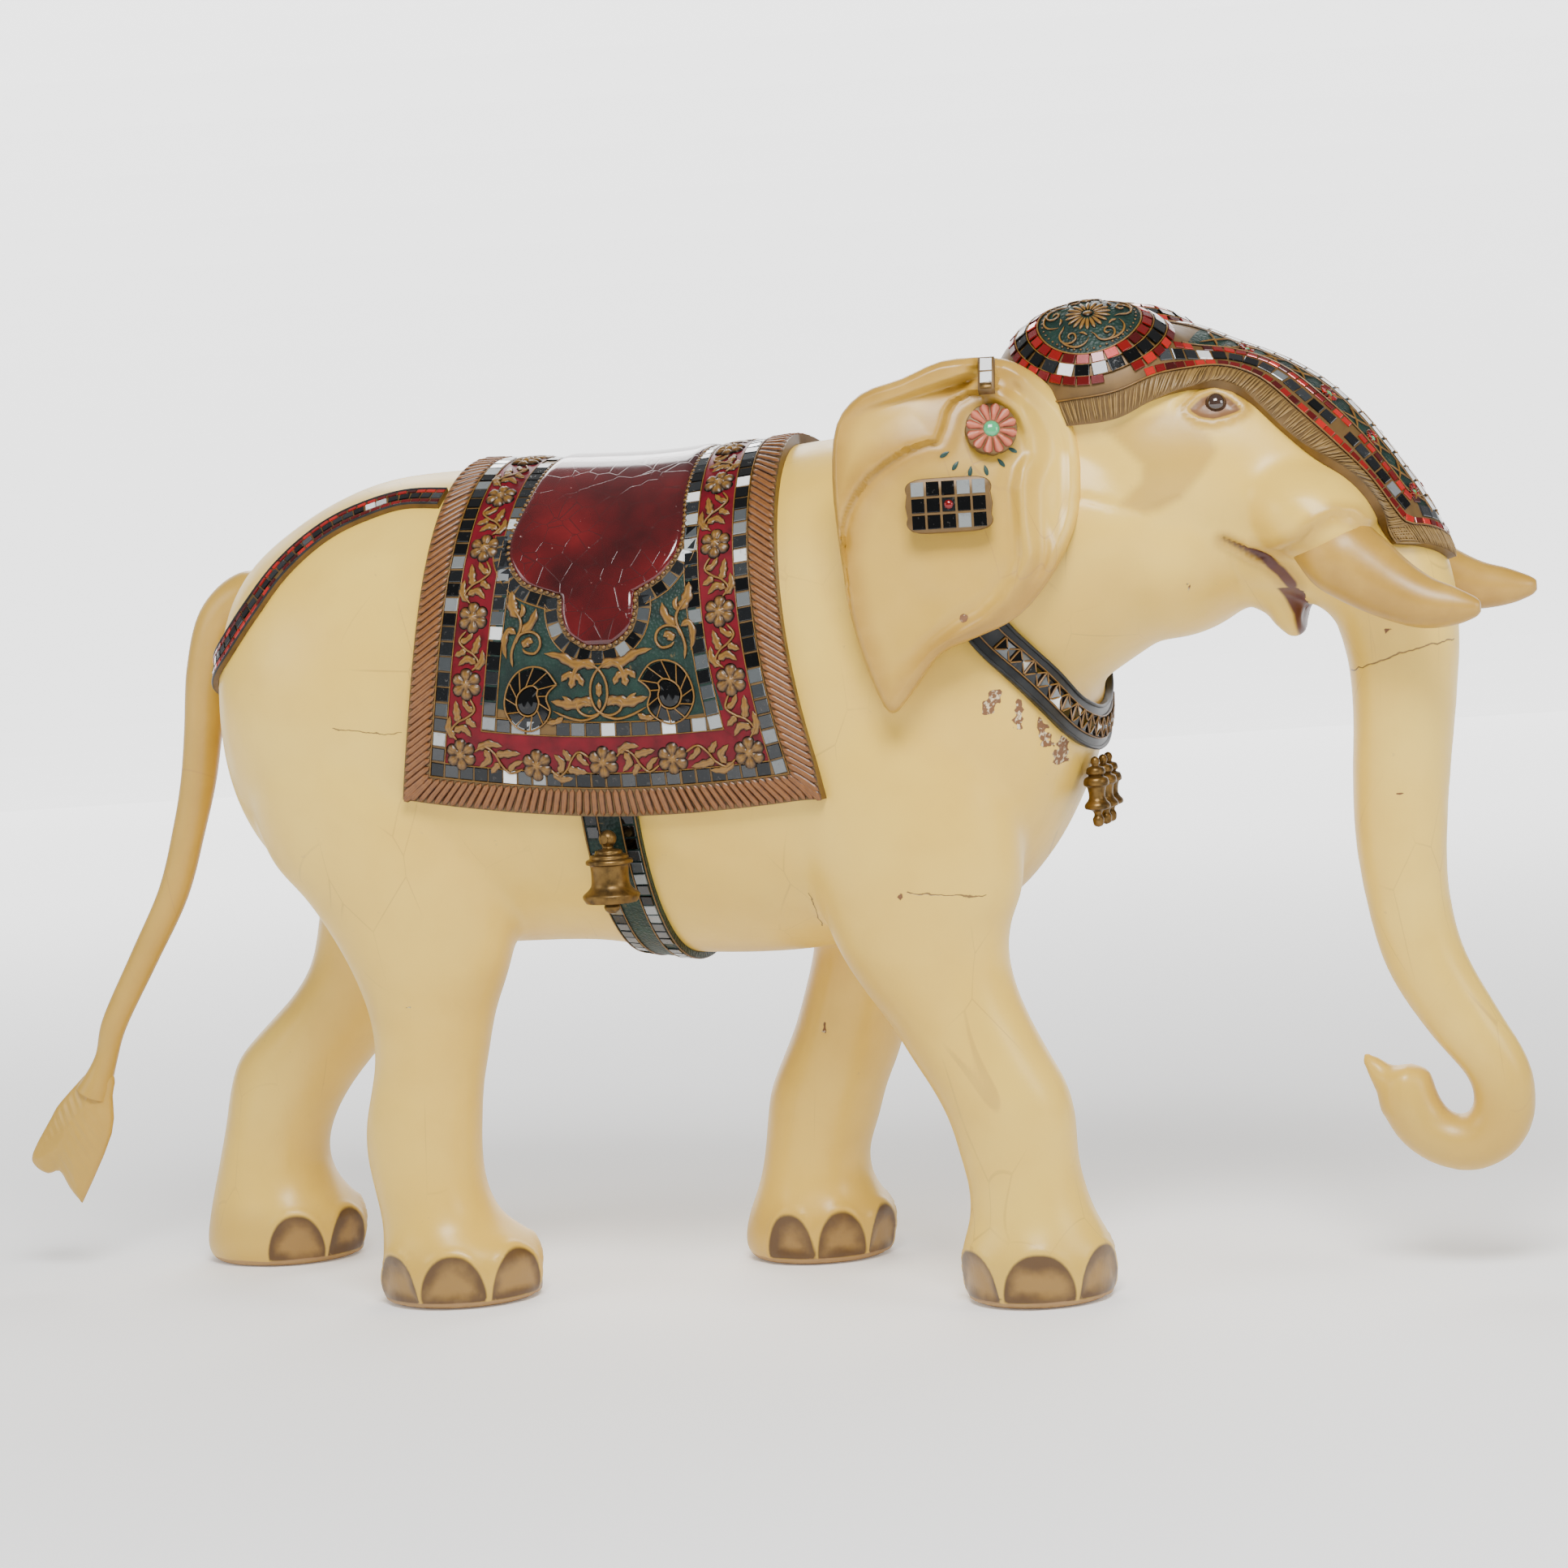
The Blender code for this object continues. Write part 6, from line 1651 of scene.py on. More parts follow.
# ---------------------------------------------------------------- saddle cloth and seat
CLOTH_TOP = 0.0100
FRINGE_INNER, FRINGE_OUTER = 0.0258, 0.0006
FIELD_INSET = 0.0905     # from the cloth's edge to its green field
SEAT_TILES_FROM = 0.742  # angle at which the row of tiles round the seat begins
FLANK = 0.205            # metres to one radian on the flank
FLOWERS_REAR = (0.18, 0.51, 0.803, 1.14, 1.456, 1.79)
FLOWERS_FRONT = (0.229, 0.512, 0.841, 1.166, 1.496, 1.85)
FLOWERS_HEM = (-0.180, -0.113, -0.044)
MOTIF = (   # stroke in millimetres forwards and down from the middle, width, tapers, notch, teeth
    (((-10.9, -9), (-18.2, -10.5), (-22.7, -7.2), (-19.3, 0.4), (-9.6, 4.2), (1.6, -0.2),
      (7.8, -12.1), (7.8, -26.5), (3.4, -37.3), (-3.6, -44.3), (-13.6, -48.4)),
     3, (0.08, 0.02), 0, 0),
    (((-1.8, -42.4), (-10.9, -47.5), (-24, -47.6), (-37, -55.4), (-54, -59.2)),
     9, (0.18, 0.5), 0.3, 4),
    (((-10.9, -48.3), (-19.3, -45.5), (-24, -38.7), (-26.1, -30.2)),
     5.5, (0.2, 0.2), 0.3, 0),
    (((-24, -37.9), (-32.3, -36.7), (-37, -31)),
     6, (0.25, 0.4), 0.3, 2),
    (((-24, -37.9), (-18.2, -32.3), (-15.6, -25.5)),
     6, (0.25, 0.4), 0.3, 2),
    (((-24.5, -39.3), (-26.1, -31.5), (-27.6, -23.8)),
     7, (0.25, 0.35), 0.3, 2),
    (((-7.8, -5.3), (-13.6, -10.2), (-26.6, -8), (-37, -9.3), (-48.5, -12.2)),
     9.5, (0.18, 0.45), 0.35, 4),
    (((-26.6, -8), (-30.5, -12.2), (-37, -16.6)),
     5, (0.3, 0.5), 0.2, 0),
    (((-0.5, 3.1), (-16.2, 8), (-31.8, 4.7), (-47.4, -2.9)),
     3, (0.1, 0.3), 0, 0),
    (((-37, 3.8), (-43.5, 7.8), (-54, 8.9)),
     5.5, (0.3, 0.4), 0.2, 2),
    (((0, -28.4), (-1, -21.4), (0, -13.9)),
     4.5, (0.4, 0.4), 0.2, 2),
    (((0, -12.6), (-0.5, -7.4), (0, -2.2)),
     4, (0.4, 0.4), 0.2, 0),
    (((-86, -47.6), (-87.1, -59.5), (-83.9, -71.1), (-78.7, -82.5), (-78.2, -91.6), (-82.6,
      -99.8), (-87.9, -106.2)),
     3.4, (0.1, 0.1), 0, 0),
    (((-81.9, -95.3), (-87.9, -108), (-89.2, -122.5)),
     10, (0.25, 0.5), 0.35, 3),
    (((-78.7, -95), (-76.1, -102.7), (-78.7, -108.7)),
     6, (0.3, 0.5), 0.2, 0),
    (((-82.6, -69.7), (-78.7, -78.5), (-68.3, -80.9), (-60, -76.4), (-57.9, -67.4), (-63.1,
      -59.9), (-72.2, -61), (-76.1, -65.3)),
     3.2, (0.1, 0.08), 0, 0),
    (((-74.8, -65.9), (-70.9, -72), (-65.2, -70.5)),
     8, (0.3, 0.5), 0.3, 2),
    (((-77.4, -81.1), (-69.6, -87.1), (-65.2, -94.6), (-63.1, -103.6)),
     8, (0.2, 0.5), 0.3, 2),
    (((-82.6, -79.6), (-89.7, -83.3), (-93.9, -77), (-94.4, -65.3), (-92.3, -55.9)),
     6, (0.15, 0.5), 0.3, 3),
)
PAISLEY_OUTER = (
    (32.1, -14.4), (24.2, -7.9), (20.9, -0.5), (24.2, 11.8), (16.9, 23.6), (1.8, 30.1), (-13,
    23.6), (-21.6, 6.6), (-18.2, -13.1), (-7.8, -27.5), (6.5, -32.8), (20.9, -29.3),
)
PAISLEY_INNER = (
    (13, -10.5), (11.7, -5.2), (13.3, 2.6), (9.6, 11.8), (1.8, 15.2), (-6, 11.8), (-9.6, 2.6),
    (-7, -6.6), (0, -12.6), (7.8, -14.4),
)


def hem_limit(across):
    """Angle of the hem from the spine; across is 0 at the rear edge and 1 at the front."""
    hem = 0.511 - 0.0205 * across - 0.0175 * np.sin(np.pi * across)
    return np.pi / 2 + np.arctan2(BODY_AXIS_Z - hem, 0.196)


def saddle_edge(share):
    """X of the cloth's rear and front edge; share is 0 on the spine and 1 at the hem."""
    return -0.290 - 0.004 * share - 0.030 * share ** 3, 0.039 + 0.048 * share + 0.013 * share ** 4


def column_path(inset, front, stop=0.0, start=None):
    """Path over the back along the rear or the front edge, from hem to hem."""
    across = inset / 0.40
    limit = hem_limit(1.0 - across if front else across)
    reach = 1 - stop / (FLANK * limit)
    share = np.linspace(-reach if start is None else start, reach, 120)
    edges = saddle_edge(np.abs(share))
    x = edges[1] - inset if front else edges[0] + inset
    return np.stack([x, share * limit], 1)


def hem_path(inset, side, ends):
    """Path along the hem of one flank between distances from the rear and the front edge."""
    rear, front = saddle_edge(1 - inset / (FLANK * 2.05))
    x = np.linspace(rear + ends, front - ends, 60)
    across = (x - rear) / (front - rear)
    return np.stack([x, side * (hem_limit(across) - inset / FLANK)], 1)


def edge_paths(inset, column_stop, hem_ends):
    """Paths at one distance inside the cloth's edge: rear, front and both hems."""
    columns = [column_path(inset, front, column_stop) for front in (False, True)]
    return columns + [hem_path(inset, side, hem_ends) for side, _ in SIDES]


def frame_sheet(bag, patch, outer, inner, height):
    """Flat sheet between two distances inside the cloth's edge, all the way round."""
    for front in (False, True):
        rows = [patch.at(*column_path(inset, front, inset).T, height)[0]
                for inset in np.linspace(outer, inner, 5)]
        bag.grid(np.stack(rows), outward=(0, 0, 1))
    for side, _ in SIDES:
        rows = [patch.at(*hem_path(inset, side, inset).T, height)[0]
                for inset in np.linspace(outer, inner, 5)]
        bag.grid(np.stack(rows), outward=(0, side, 0))


def seat_outline(offset, top=0.0, count=260):
    """Seat's outline on one flank, moved outwards by a distance, as X and angle."""
    rear = [(x, turn) for turn, x, _ in SEAT_HALF if turn >= top]
    front = [(x, turn) for turn, _, x in reversed(SEAT_HALF) if turn >= top]
    line = resample(smooth_rows(np.array(rear + front) * (1, FLANK), 6), count)
    for _ in range(4):
        line[1:-1] = 0.25 * (line[:-2] + line[2:] + 2 * line[1:-1])
    ahead = unit(np.gradient(line, axis=0))
    line = line + np.stack([-ahead[:, 1], ahead[:, 0]], 1) * offset
    return line / (1, FLANK)


def cloth(patch, looks):
    """Saddle cloth: a slab with its fringe, tile rows, flower band and scrollwork field."""
    rows = []
    across = np.linspace(0, 1, 81)
    for share in np.linspace(-1, 1, 201):
        rear, front = saddle_edge(abs(share))
        rows.append((rear + (front - rear) * across, share * hem_limit(across)))
    base = slab("saddle_cloth_ground", patch, rows, 0.0005, CLOTH_TOP - 0.0005, looks["mastic"])
    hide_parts("saddle_cloth")

    crimson, green = Bag(), Bag()
    frame_sheet(crimson, patch, 0.0418, 0.0755, CLOTH_TOP + 0.0004)
    sheet = []
    across = np.linspace(0, 1, 61)
    for share in np.linspace(-1, 1, 181):
        rear, front = saddle_edge(abs(share))
        turn = share * (hem_limit(across) - FIELD_INSET / FLANK)
        x = rear + FIELD_INSET + (front - rear - 2 * FIELD_INSET) * across
        sheet.append(patch.at(x, turn, CLOTH_TOP + 0.0004)[0])
    green.grid(np.stack(sheet), outward=(0, 0, 1))

    mirrors, gilt, fringe = Bag(), Bag(), Bag()
    for inset in (0.0340, 0.0830):
        for path in edge_paths(inset, inset - 0.0065, inset + 0.0075):
            tile_row(mirrors, patch, path, 0.0146, 0.0132, 0.0013, CLOTH_TOP)
    for inset in (0.0268, 0.0411, 0.0762, 0.0902):
        for path in edge_paths(inset, inset, inset):
            wire(gilt, patch, path, 0.0013, 0.0014, CLOTH_TOP)
    cloth_fringe(patch, fringe)
    flower_band(patch, gilt)
    for side, _ in SIDES:
        field_scrolls(patch, side, gilt, mirrors)
        tile_row(mirrors, patch, seat_outline(0.0100, SEAT_TILES_FROM) * (1, side), 0.0132, 0.0122,
                 0.0013, CLOTH_TOP, lost=0.0)
        wire(gilt, patch, seat_outline(0.0168, SEAT_TILES_FROM) * (1, side), 0.0013, 0.0014,
             CLOTH_TOP)
        bead_row(gilt, patch, seat_outline(0.0010) * (1, side), 0.0066, 0.0030, CLOTH_TOP, 10)
    under = Bag()
    for side, _ in SIDES:
        bands = [patch.at(*(seat_outline(offset, SEAT_TILES_FROM) * (1, side)).T,
                          CLOTH_TOP + 0.0006)[0] for offset in (-0.002, 0.008, 0.0168)]
        under.grid(np.stack(bands), outward=(0, side, 0))
    for bag, name, look in (
            (crimson, "saddle_flower_band", "crimson"), (green, "saddle_field", "green"),
            (mirrors, "saddle_mirror_tiles", "mirror"), (gilt, "saddle_gilt_relief", "gilt"),
            (fringe, "saddle_fringe", "copper"), (under, "saddle_tile_bed", "mastic")):
        bag.build(name, looks[look], smooth=look != "mirror")


def cloth_rib(bag, patch, path):
    """One rib of the cloth's fringe."""
    strand(bag, patch, path, 0.0073 * rng.uniform(0.88, 1.05), 0.0030 * rng.uniform(0.8, 1.1),
           CLOTH_TOP - 0.0006, taper=(0.1, 0.12), fine=0.0030)


def cloth_fringe(patch, bag):
    """Slanting ribs of the fringe, outer ends towards the hem and away from its middle."""
    pitch = 0.0080
    for front in (False, True):
        limit = hem_limit(0.97 if front else 0.03)
        count = int(2 * limit * FLANK / pitch)
        for step in range(count + 1):
            share = 2 * step / count - 1
            lean = 0.019 * smoothstep(0.0, 0.25, abs(share)) * np.sign(share) / FLANK
            path = []
            for t in (0.0, 0.33, 0.67, 1.0):
                inset = FRINGE_INNER * (1 - t) + FRINGE_OUTER * t
                turn = np.clip(share * limit * 0.955 + lean * t, -limit + 0.001, limit - 0.001)
                rear, fore = saddle_edge(min(abs(turn) / limit, 1.0))
                path.append((fore - inset if front else rear + inset, turn))
            cloth_rib(bag, patch, path)
    rear, fore = saddle_edge(1.0)
    count = int((fore - rear) / pitch)
    for side, _ in SIDES:
        for step in range(count + 1):
            middle = 2 * step / count - 1
            path = []
            for t in (0.0, 0.5, 1.0):
                inset = FRINGE_INNER * (1 - t) + FRINGE_OUTER * t
                x = (rear + fore) / 2 + (fore - rear) / 2 * middle * (0.87 + 0.125 * t)
                across = (x - rear) / (fore - rear)
                path.append((x, side * (hem_limit(across) - inset / FLANK)))
            cloth_rib(bag, patch, path)


LEAF_SCROLL = (   # along the gap between two flowers (0 to 1), across the band (-1 to 1)
    (((0.0, -0.3), (0.2, -0.75), (0.42, -0.35), (0.55, 0.25), (0.75, 0.75), (1.0, 0.35)), 2.6,
     (0.05, 0.05), 0.0, 0),
    (((0.05, -0.5), (0.25, -0.95), (0.55, -0.92)), 6.6, (0.2, 0.5), 0.35, 3),
    (((0.20, -0.55), (0.30, 0.05), (0.12, 0.65)), 6.6, (0.2, 0.5), 0.35, 3),
    (((0.42, -0.30), (0.60, -0.45), (0.92, -0.62)), 6.8, (0.2, 0.5), 0.35, 3),
    (((0.52, 0.20), (0.42, 0.65), (0.36, 0.95)), 6.0, (0.2, 0.5), 0.35, 2),
    (((0.72, 0.70), (0.80, 0.20), (0.98, -0.15)), 5.4, (0.2, 0.5), 0.35, 2),
)


def flower_band(patch, bag):
    """Six-petalled flowers joined by leafy scrolls in the band round the cloth."""
    inset = 0.0586
    top = CLOTH_TOP + 0.0003

    def flower(x, turn):
        point, normal = patch.at(x, turn, top)
        ahead = patch.at(x, turn + 0.01, top)[0] - point
        rosette(bag, point, normal, unit(ahead), 0.0160, 0.0042)

    def scroll(start, end, flip):
        start, end = np.array(start), np.array(end)
        metric = np.array((1.0, FLANK))
        along = (end - start) * metric
        length = np.linalg.norm(along)
        along /= length
        across = np.array((-along[1], along[0])) * flip
        clear = 0.0135
        for path, width, taper, notch, teeth in LEAF_SCROLL:
            line = [(start * metric + along * (clear + (length - 2 * clear) * p)
                     + across * 0.0148 * q) / metric for p, q in path]
            broad = width * (1.45 if teeth else 1.0) / 1000
            strand(bag, patch, smooth_rows(line, 6), broad, 0.0024, top, taper, notch,
                   teeth, fine=0.0018)

    for front, turns in ((False, FLOWERS_REAR), (True, FLOWERS_FRONT)):
        limit = hem_limit(1.0 if front else 0.0)
        places = []
        for turn in [-t for t in reversed(turns)] + list(turns):
            rear, fore = saddle_edge(abs(turn) / limit)
            places.append((fore - inset if front else rear + inset, turn))
        for place in places:
            flower(*place)
        for number, (a, b) in enumerate(zip(places[:-1], places[1:])):
            scroll(a, b, 1 if (number % 2) ^ front else -1)
        for side in (-1, 1):
            corner = places[0] if side < 0 else places[-1]
            row = [(x, side * 1.857) for x in FLOWERS_HEM]
            following = row[0] if not front else row[-1]
            scroll(corner, following, side)
            if front:
                for x, turn in row:
                    flower(x, turn)
                scroll(row[0], row[1], 1)
                scroll(row[1], row[2], -1)


def field_scrolls(patch, side, gilt, mirrors):
    """Scrolling leaves and the two paisleys on the green field of one flank."""
    x0, turn0 = -0.112, 1.616
    top = CLOTH_TOP + 0.0003

    def place(p, q):
        return x0 + p / 1000, side * (turn0 + q / 1000 / FLANK)

    for path, width, taper, notch, teeth in MOTIF:
        for hand in (1, -1):
            line = [place(p * hand, q) for p, q in path]
            broad = width * (1.40 if teeth else 1.0) / 1000
            strand(gilt, patch, smooth_rows(line, 6), broad, 0.0026, top, taper, notch,
                   teeth, fine=0.0015)
    for hand, middle, turn in ((1, -0.186, 1.548), (-1, -0.040, 1.545)):
        def at(points):
            return [(middle + hand * p / 1000, side * (turn + q / 1000 / FLANK))
                    for p, q in points]

        outer = smooth_rows(PAISLEY_OUTER + PAISLEY_OUTER[:1], 8)
        inner = smooth_rows(PAISLEY_INNER + PAISLEY_INNER[:1], 8)
        outer, inner = resample(outer, 241), resample(inner, 241)
        for line in (outer, inner):
            wire(gilt, patch, at(line), 0.0021, 0.0026, top, 0.0015)
        cells = 12
        for cell in range(cells):
            low, high = int(240 * cell / cells) + 2, int(240 * (cell + 1) / cells) - 2
            wire(gilt, patch, at([outer[low - 2], inner[low - 2]]), 0.0016, 0.0020, top, 0.0015)
            pick = np.arange(low, high + 1, 2)
            rows = []
            for share, lift in ((0.10, 0.0), (0.14, 0.0012), (0.86, 0.0012), (0.90, 0.0)):
                line = at(outer[pick] * (1 - share) + inner[pick] * share)
                rows.append(patch.at(*np.array(line).T, top + lift)[0])
            mirrors.grid(np.stack(rows), outward=(0, side, 0), tone=rng.uniform(0.0, 0.12))
        hub = inner.mean(0)
        rows = []
        for share, lift in ((0.92, 0.0), (0.86, 0.0016), (0.5, 0.0024), (0.02, 0.0026)):
            line = at(hub + (inner - hub) * share)
            rows.append(patch.at(*np.array(line).T, top + lift)[0])
        mirrors.grid(np.stack(rows), outward=(0, side, 0), tone=0.01)


def seat(patch, looks):
    """Red lacquered seat with a rounded edge."""
    rows = smooth_rows(SEAT_HALF, 6)
    rows = np.concatenate([rows[:0:-1] * (-1, 1, 1), rows])
    bag = Bag()
    tops = []
    widths = np.concatenate(([-1.0, -0.985, -0.96, -0.93], np.linspace(-0.88, 0.88, 31),
                             (0.93, 0.96, 0.985, 1.0)))
    last = rows[-1][0]
    for turn, rear, front in rows:
        middle, half = (rear + front) / 2, (front - rear) / 2
        x = middle + half * widths
        edge = np.minimum(half * (1 - np.abs(widths)), (last - abs(turn)) * FLANK)
        lift = 0.0008 + 0.0034 * np.sqrt(np.clip(edge / 0.004, 0, 1))
        tops.append(patch.at(x, np.full(len(x), turn), CLOTH_TOP + lift)[0])
    bag.grid(np.stack(tops), outward=(0, 0, 1))
    obj = bag.build("saddle_seat_panel", looks["seat"])
    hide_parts("saddle_seat")


# ---------------------------------------------------------------- straps and collar
def band_slab(name, patch, base, thickness, material, node):
    """Slab of a strap in place of its CAD node."""
    half = patch.v[-1]
    rows = [(np.full(17, u), np.linspace(-half, half, 17)) for u in patch.u]
    obj = slab(name, patch, rows, base, thickness, material)
    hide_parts(node)


def along_band(patch, offset, start=0.0, end=1.0):
    """Path along a strap at an offset from its middle."""
    u = np.linspace(start, end, 200) * patch.length
    return np.stack([u, np.full(200, offset)], 1)


def girth_strap(tree, looks, mirrors, gilt):
    """Girth strap with two rows of tiles."""
    girth = strap_patch(tree, mirror_route(GIRTH_ROUTE), 0.056)
    band_slab("girth_band", girth, 0.0005, 0.0058, looks["green"], "girth_strap")
    top = 0.0063
    for offset in (-0.0185, 0.0185):
        tile_row(mirrors, girth, along_band(girth, offset), 0.0135, 0.0120, 0.0013, top, lost=0.16)
    for offset in (-0.0265, -0.0115, 0.0115, 0.0265):
        wire(gilt, girth, along_band(girth, offset), 0.0016, 0.0015, top)


def crupper_strap(tree, looks, mirrors, red, ropes):
    """Crupper strap with a row of mirror tiles between two rows of red ones."""
    crupper = strap_patch(tree, mirror_route(CRUPPER_ROUTE), 0.026)
    band_slab("crupper_band", crupper, 0.0005, 0.0052, looks["mastic"], "crupper_strap")
    top = 0.0057
    tile_row(mirrors, crupper, along_band(crupper, 0.0), 0.0118, 0.0088, 0.0012, top, lost=0.03)
    for offset in (-0.0078, 0.0078):
        tile_row(red, crupper, along_band(crupper, offset), 0.0105, 0.0046, 0.0012, top,
                 lost=0.05, tones=rng.random)
    for offset in (-0.0120, 0.0120):
        wire(ropes, crupper, along_band(crupper, offset), 0.0022, 0.0018, top)


def neck_collar(tree, looks, mirrors, gilt, ropes):
    """Collar with a row of cells on the chest, each with four mirrors that meet in a point."""
    collar = strap_patch(tree, COLLAR_ROUTE + tuple(
        (x, -y, z) for x, y, z in COLLAR_ROUTE[-2:0:-1]), 0.042, closed=True)
    band_slab("collar_band", collar, 0.0006, 0.0056, looks["black"], "collar")
    top, half, highest = 0.0062, 0.0088, 0.628
    count = int(round(collar.length / 0.0182))
    pitch = collar.length / count
    for cell in range(count):
        middle = (cell + 0.5) * pitch
        if collar.at(middle, 0.0)[0][2] > highest:
            continue
        low, high = (cell + 0.04) * pitch, (cell + 0.96) * pitch
        corners = [(low, -half), (high, -half), (high, half), (low, half)]
        points = [collar.at(u, v, top)[0] for u, v in corners]
        apex, normal = collar.at(middle, 0.0, top + 0.0034)
        for index in range(4):
            a, b = points[index], points[(index + 1) % 4]
            face = [a * 0.97 + apex * 0.03, b * 0.97 + apex * 0.03, apex]
            if np.dot(np.cross(face[1] - face[0], face[2] - face[0]), normal) < 0:
                face[0], face[1] = face[1], face[0]
            mirrors.add(face, [(0, 1, 2)], tone=tile_tone())
        for u, v in corners:
            wire(gilt, collar, [(u, v), (middle, 0.0)], 0.0019, 0.0012, top + 0.0018, 0.003)
        post = low - 0.04 * pitch
        wire(gilt, collar, [(post, -half), (post, half)], 0.0026, 0.0026, top, 0.003)
    for offset in (-0.0100, 0.0100):
        wire(gilt, collar, along_band(collar, offset), 0.0018, 0.0020, top, 0.004)
    for offset in (-0.0195, 0.0195):
        wire(ropes, collar, along_band(collar, offset), 0.0036, 0.0022, top, 0.004)


def straps(tree, looks):
    """Girth strap, crupper strap and collar with their tiles."""
    mirrors, red, gilt, ropes = Bag(), Bag(), Bag(), Bag()
    girth_strap(tree, looks, mirrors, gilt)
    crupper_strap(tree, looks, mirrors, red, ropes)
    neck_collar(tree, looks, mirrors, gilt, ropes)
    for bag, name, look, finish in (
            (mirrors, "strap_mirror_tiles", "mirror", "mirror_tiles"),
            (red, "strap_red_tiles", "red", "mirror_tiles"),
            (gilt, "strap_gilt_lines", "gilt", "gilt"),
            (ropes, "strap_edge_ropes", "black", "strap_green")):
        bag.build(name, looks[look], smooth=look not in ("mirror", "red"))


# ---------------------------------------------------------------- head cap
CAP_TOP = 0.0085
CAP_BORDER = 0.0605      # from the cap's edge to the gilt line inside its tile bands
CAP_SPINE = 0.0185       # half width of the rows of tiles over the cap's middle
CAP_RIB_LENGTH = 0.0240
DOMES = ((0.354, 0.064, 0.852), (0.358, 0.104, 0.937))   # middle of a dome and of its roundel


def dome_patch(tree, side):
    """One dome by angle from its roundel's middle and by angle round it."""
    middle = np.array(DOMES[0]) * (1, side, 1) + ORIGIN
    axis = unit(np.array(DOMES[1]) * (1, side, 1) + ORIGIN - middle)
    first = unit(np.cross(axis, (0.0, 1.0, 0.0)))
    second = np.cross(axis, first)
    u = np.linspace(0.0, 1.05, 43)
    v = np.linspace(-math.pi, math.pi, 121)
    points = np.empty((len(u), len(v), 3))
    outward = np.empty_like(points)
    for i, polar in enumerate(u):
        for j, turn in enumerate(v):
            out = Vector(axis * math.cos(polar) + (first * math.cos(turn)
                         + second * math.sin(turn)) * math.sin(polar))
            hit = tree.ray_cast(Vector(middle) + out * 0.4, -out)[0]
            points[i, j], outward[i, j] = hit, out
    patch = Patch(u, v, points, outward, smooth=1)
    patch.normals = unit(outward * 0.5 + patch.normals * 0.5)
    return patch


def polar_angle(chord):
    """Angle over a dome of a ring at a straight distance from the roundel's middle."""
    return 2 * math.asin(chord / 2 / 0.094)


def cap_half_width(patch, u):
    """Length over the cap from its middle line to its edge at a row."""
    line = patch.line([(u, v) for v in np.linspace(0, 1, 40)])[0]
    return lengths(line)[-1]


def cap_path(patch, inset, start, widths):
    """Path at a distance inside the cap's edge: forward, across the trunk and back."""
    last = len(CAP_ROWS) - 1
    rows = np.linspace(last, last - 4, 120)
    back = lengths(patch.at(rows, np.zeros(120))[0])
    end = np.interp(inset - 0.0040, back, rows)
    radius = end - np.interp(inset + 0.0120, back, rows)
    half = []
    for u in np.linspace(start, end, 90):
        share = 1 - inset / np.interp(u, *widths)
        near_end = max(0.0, (u - (end - radius)) / radius)
        share *= max(1 - near_end ** 4.0, 0.0) ** 0.25
        half.append((u, -share))
    half = np.array(half)
    return np.concatenate([half, half[::-1][1:] * (1, -1)])


def cap_rib(bag, patch, path):
    """One rib of the cap's fringe."""
    strand(bag, patch, path, 0.0027 * rng.uniform(0.7, 1.1), 0.0020 * rng.uniform(0.7, 1.2),
           CAP_TOP - 0.0005, taper=(0.05, 0.25), fine=0.0050)


def cap_fringe(patch, bag, widths):
    """Fine hair-like ribs that hang from the cap's edge."""
    last = len(CAP_ROWS) - 1
    pitch = 0.0026
    for side, _ in SIDES:
        edge = patch.at(np.linspace(0, last, 300), np.full(300, side))[0]
        at = lengths(edge)
        rows = np.interp(np.linspace(0, at[-1], 300), at, np.linspace(0, last, 300))
        count = int(at[-1] / pitch)
        for step in range(count + 1):
            u = rows[min(int(step / count * 299), 299)]
            width = np.interp(u, *widths)
            sway = rng.uniform(-0.05, 0.05)
            short = rng.uniform(0.0, 0.0018)
            cap_rib(bag, patch, [
                (min(u + sway * t, last),
                 side * (1 - (CAP_RIB_LENGTH * (1 - t) + short * t) / width))
                for t in (0.0, 0.5, 1.0)])
    for end, sign in ((last, -1), (0, 1)):
        inwards = np.linspace(end, end + sign * 4, 120)
        depth = lengths(patch.at(inwards, np.zeros(120))[0])
        line = patch.line([(end, v) for v in np.linspace(-1, 1, 60)])[0]
        count = int(lengths(line)[-1] / pitch)
        for step in range(count + 1):
            v = 2 * step / count - 1
            short = rng.uniform(0.0, 0.0018)
            cap_rib(bag, patch, [
                (np.interp(CAP_RIB_LENGTH * (1 - t) + short * t, depth, inwards), v)
                for t in (0.0, 0.5, 1.0)])


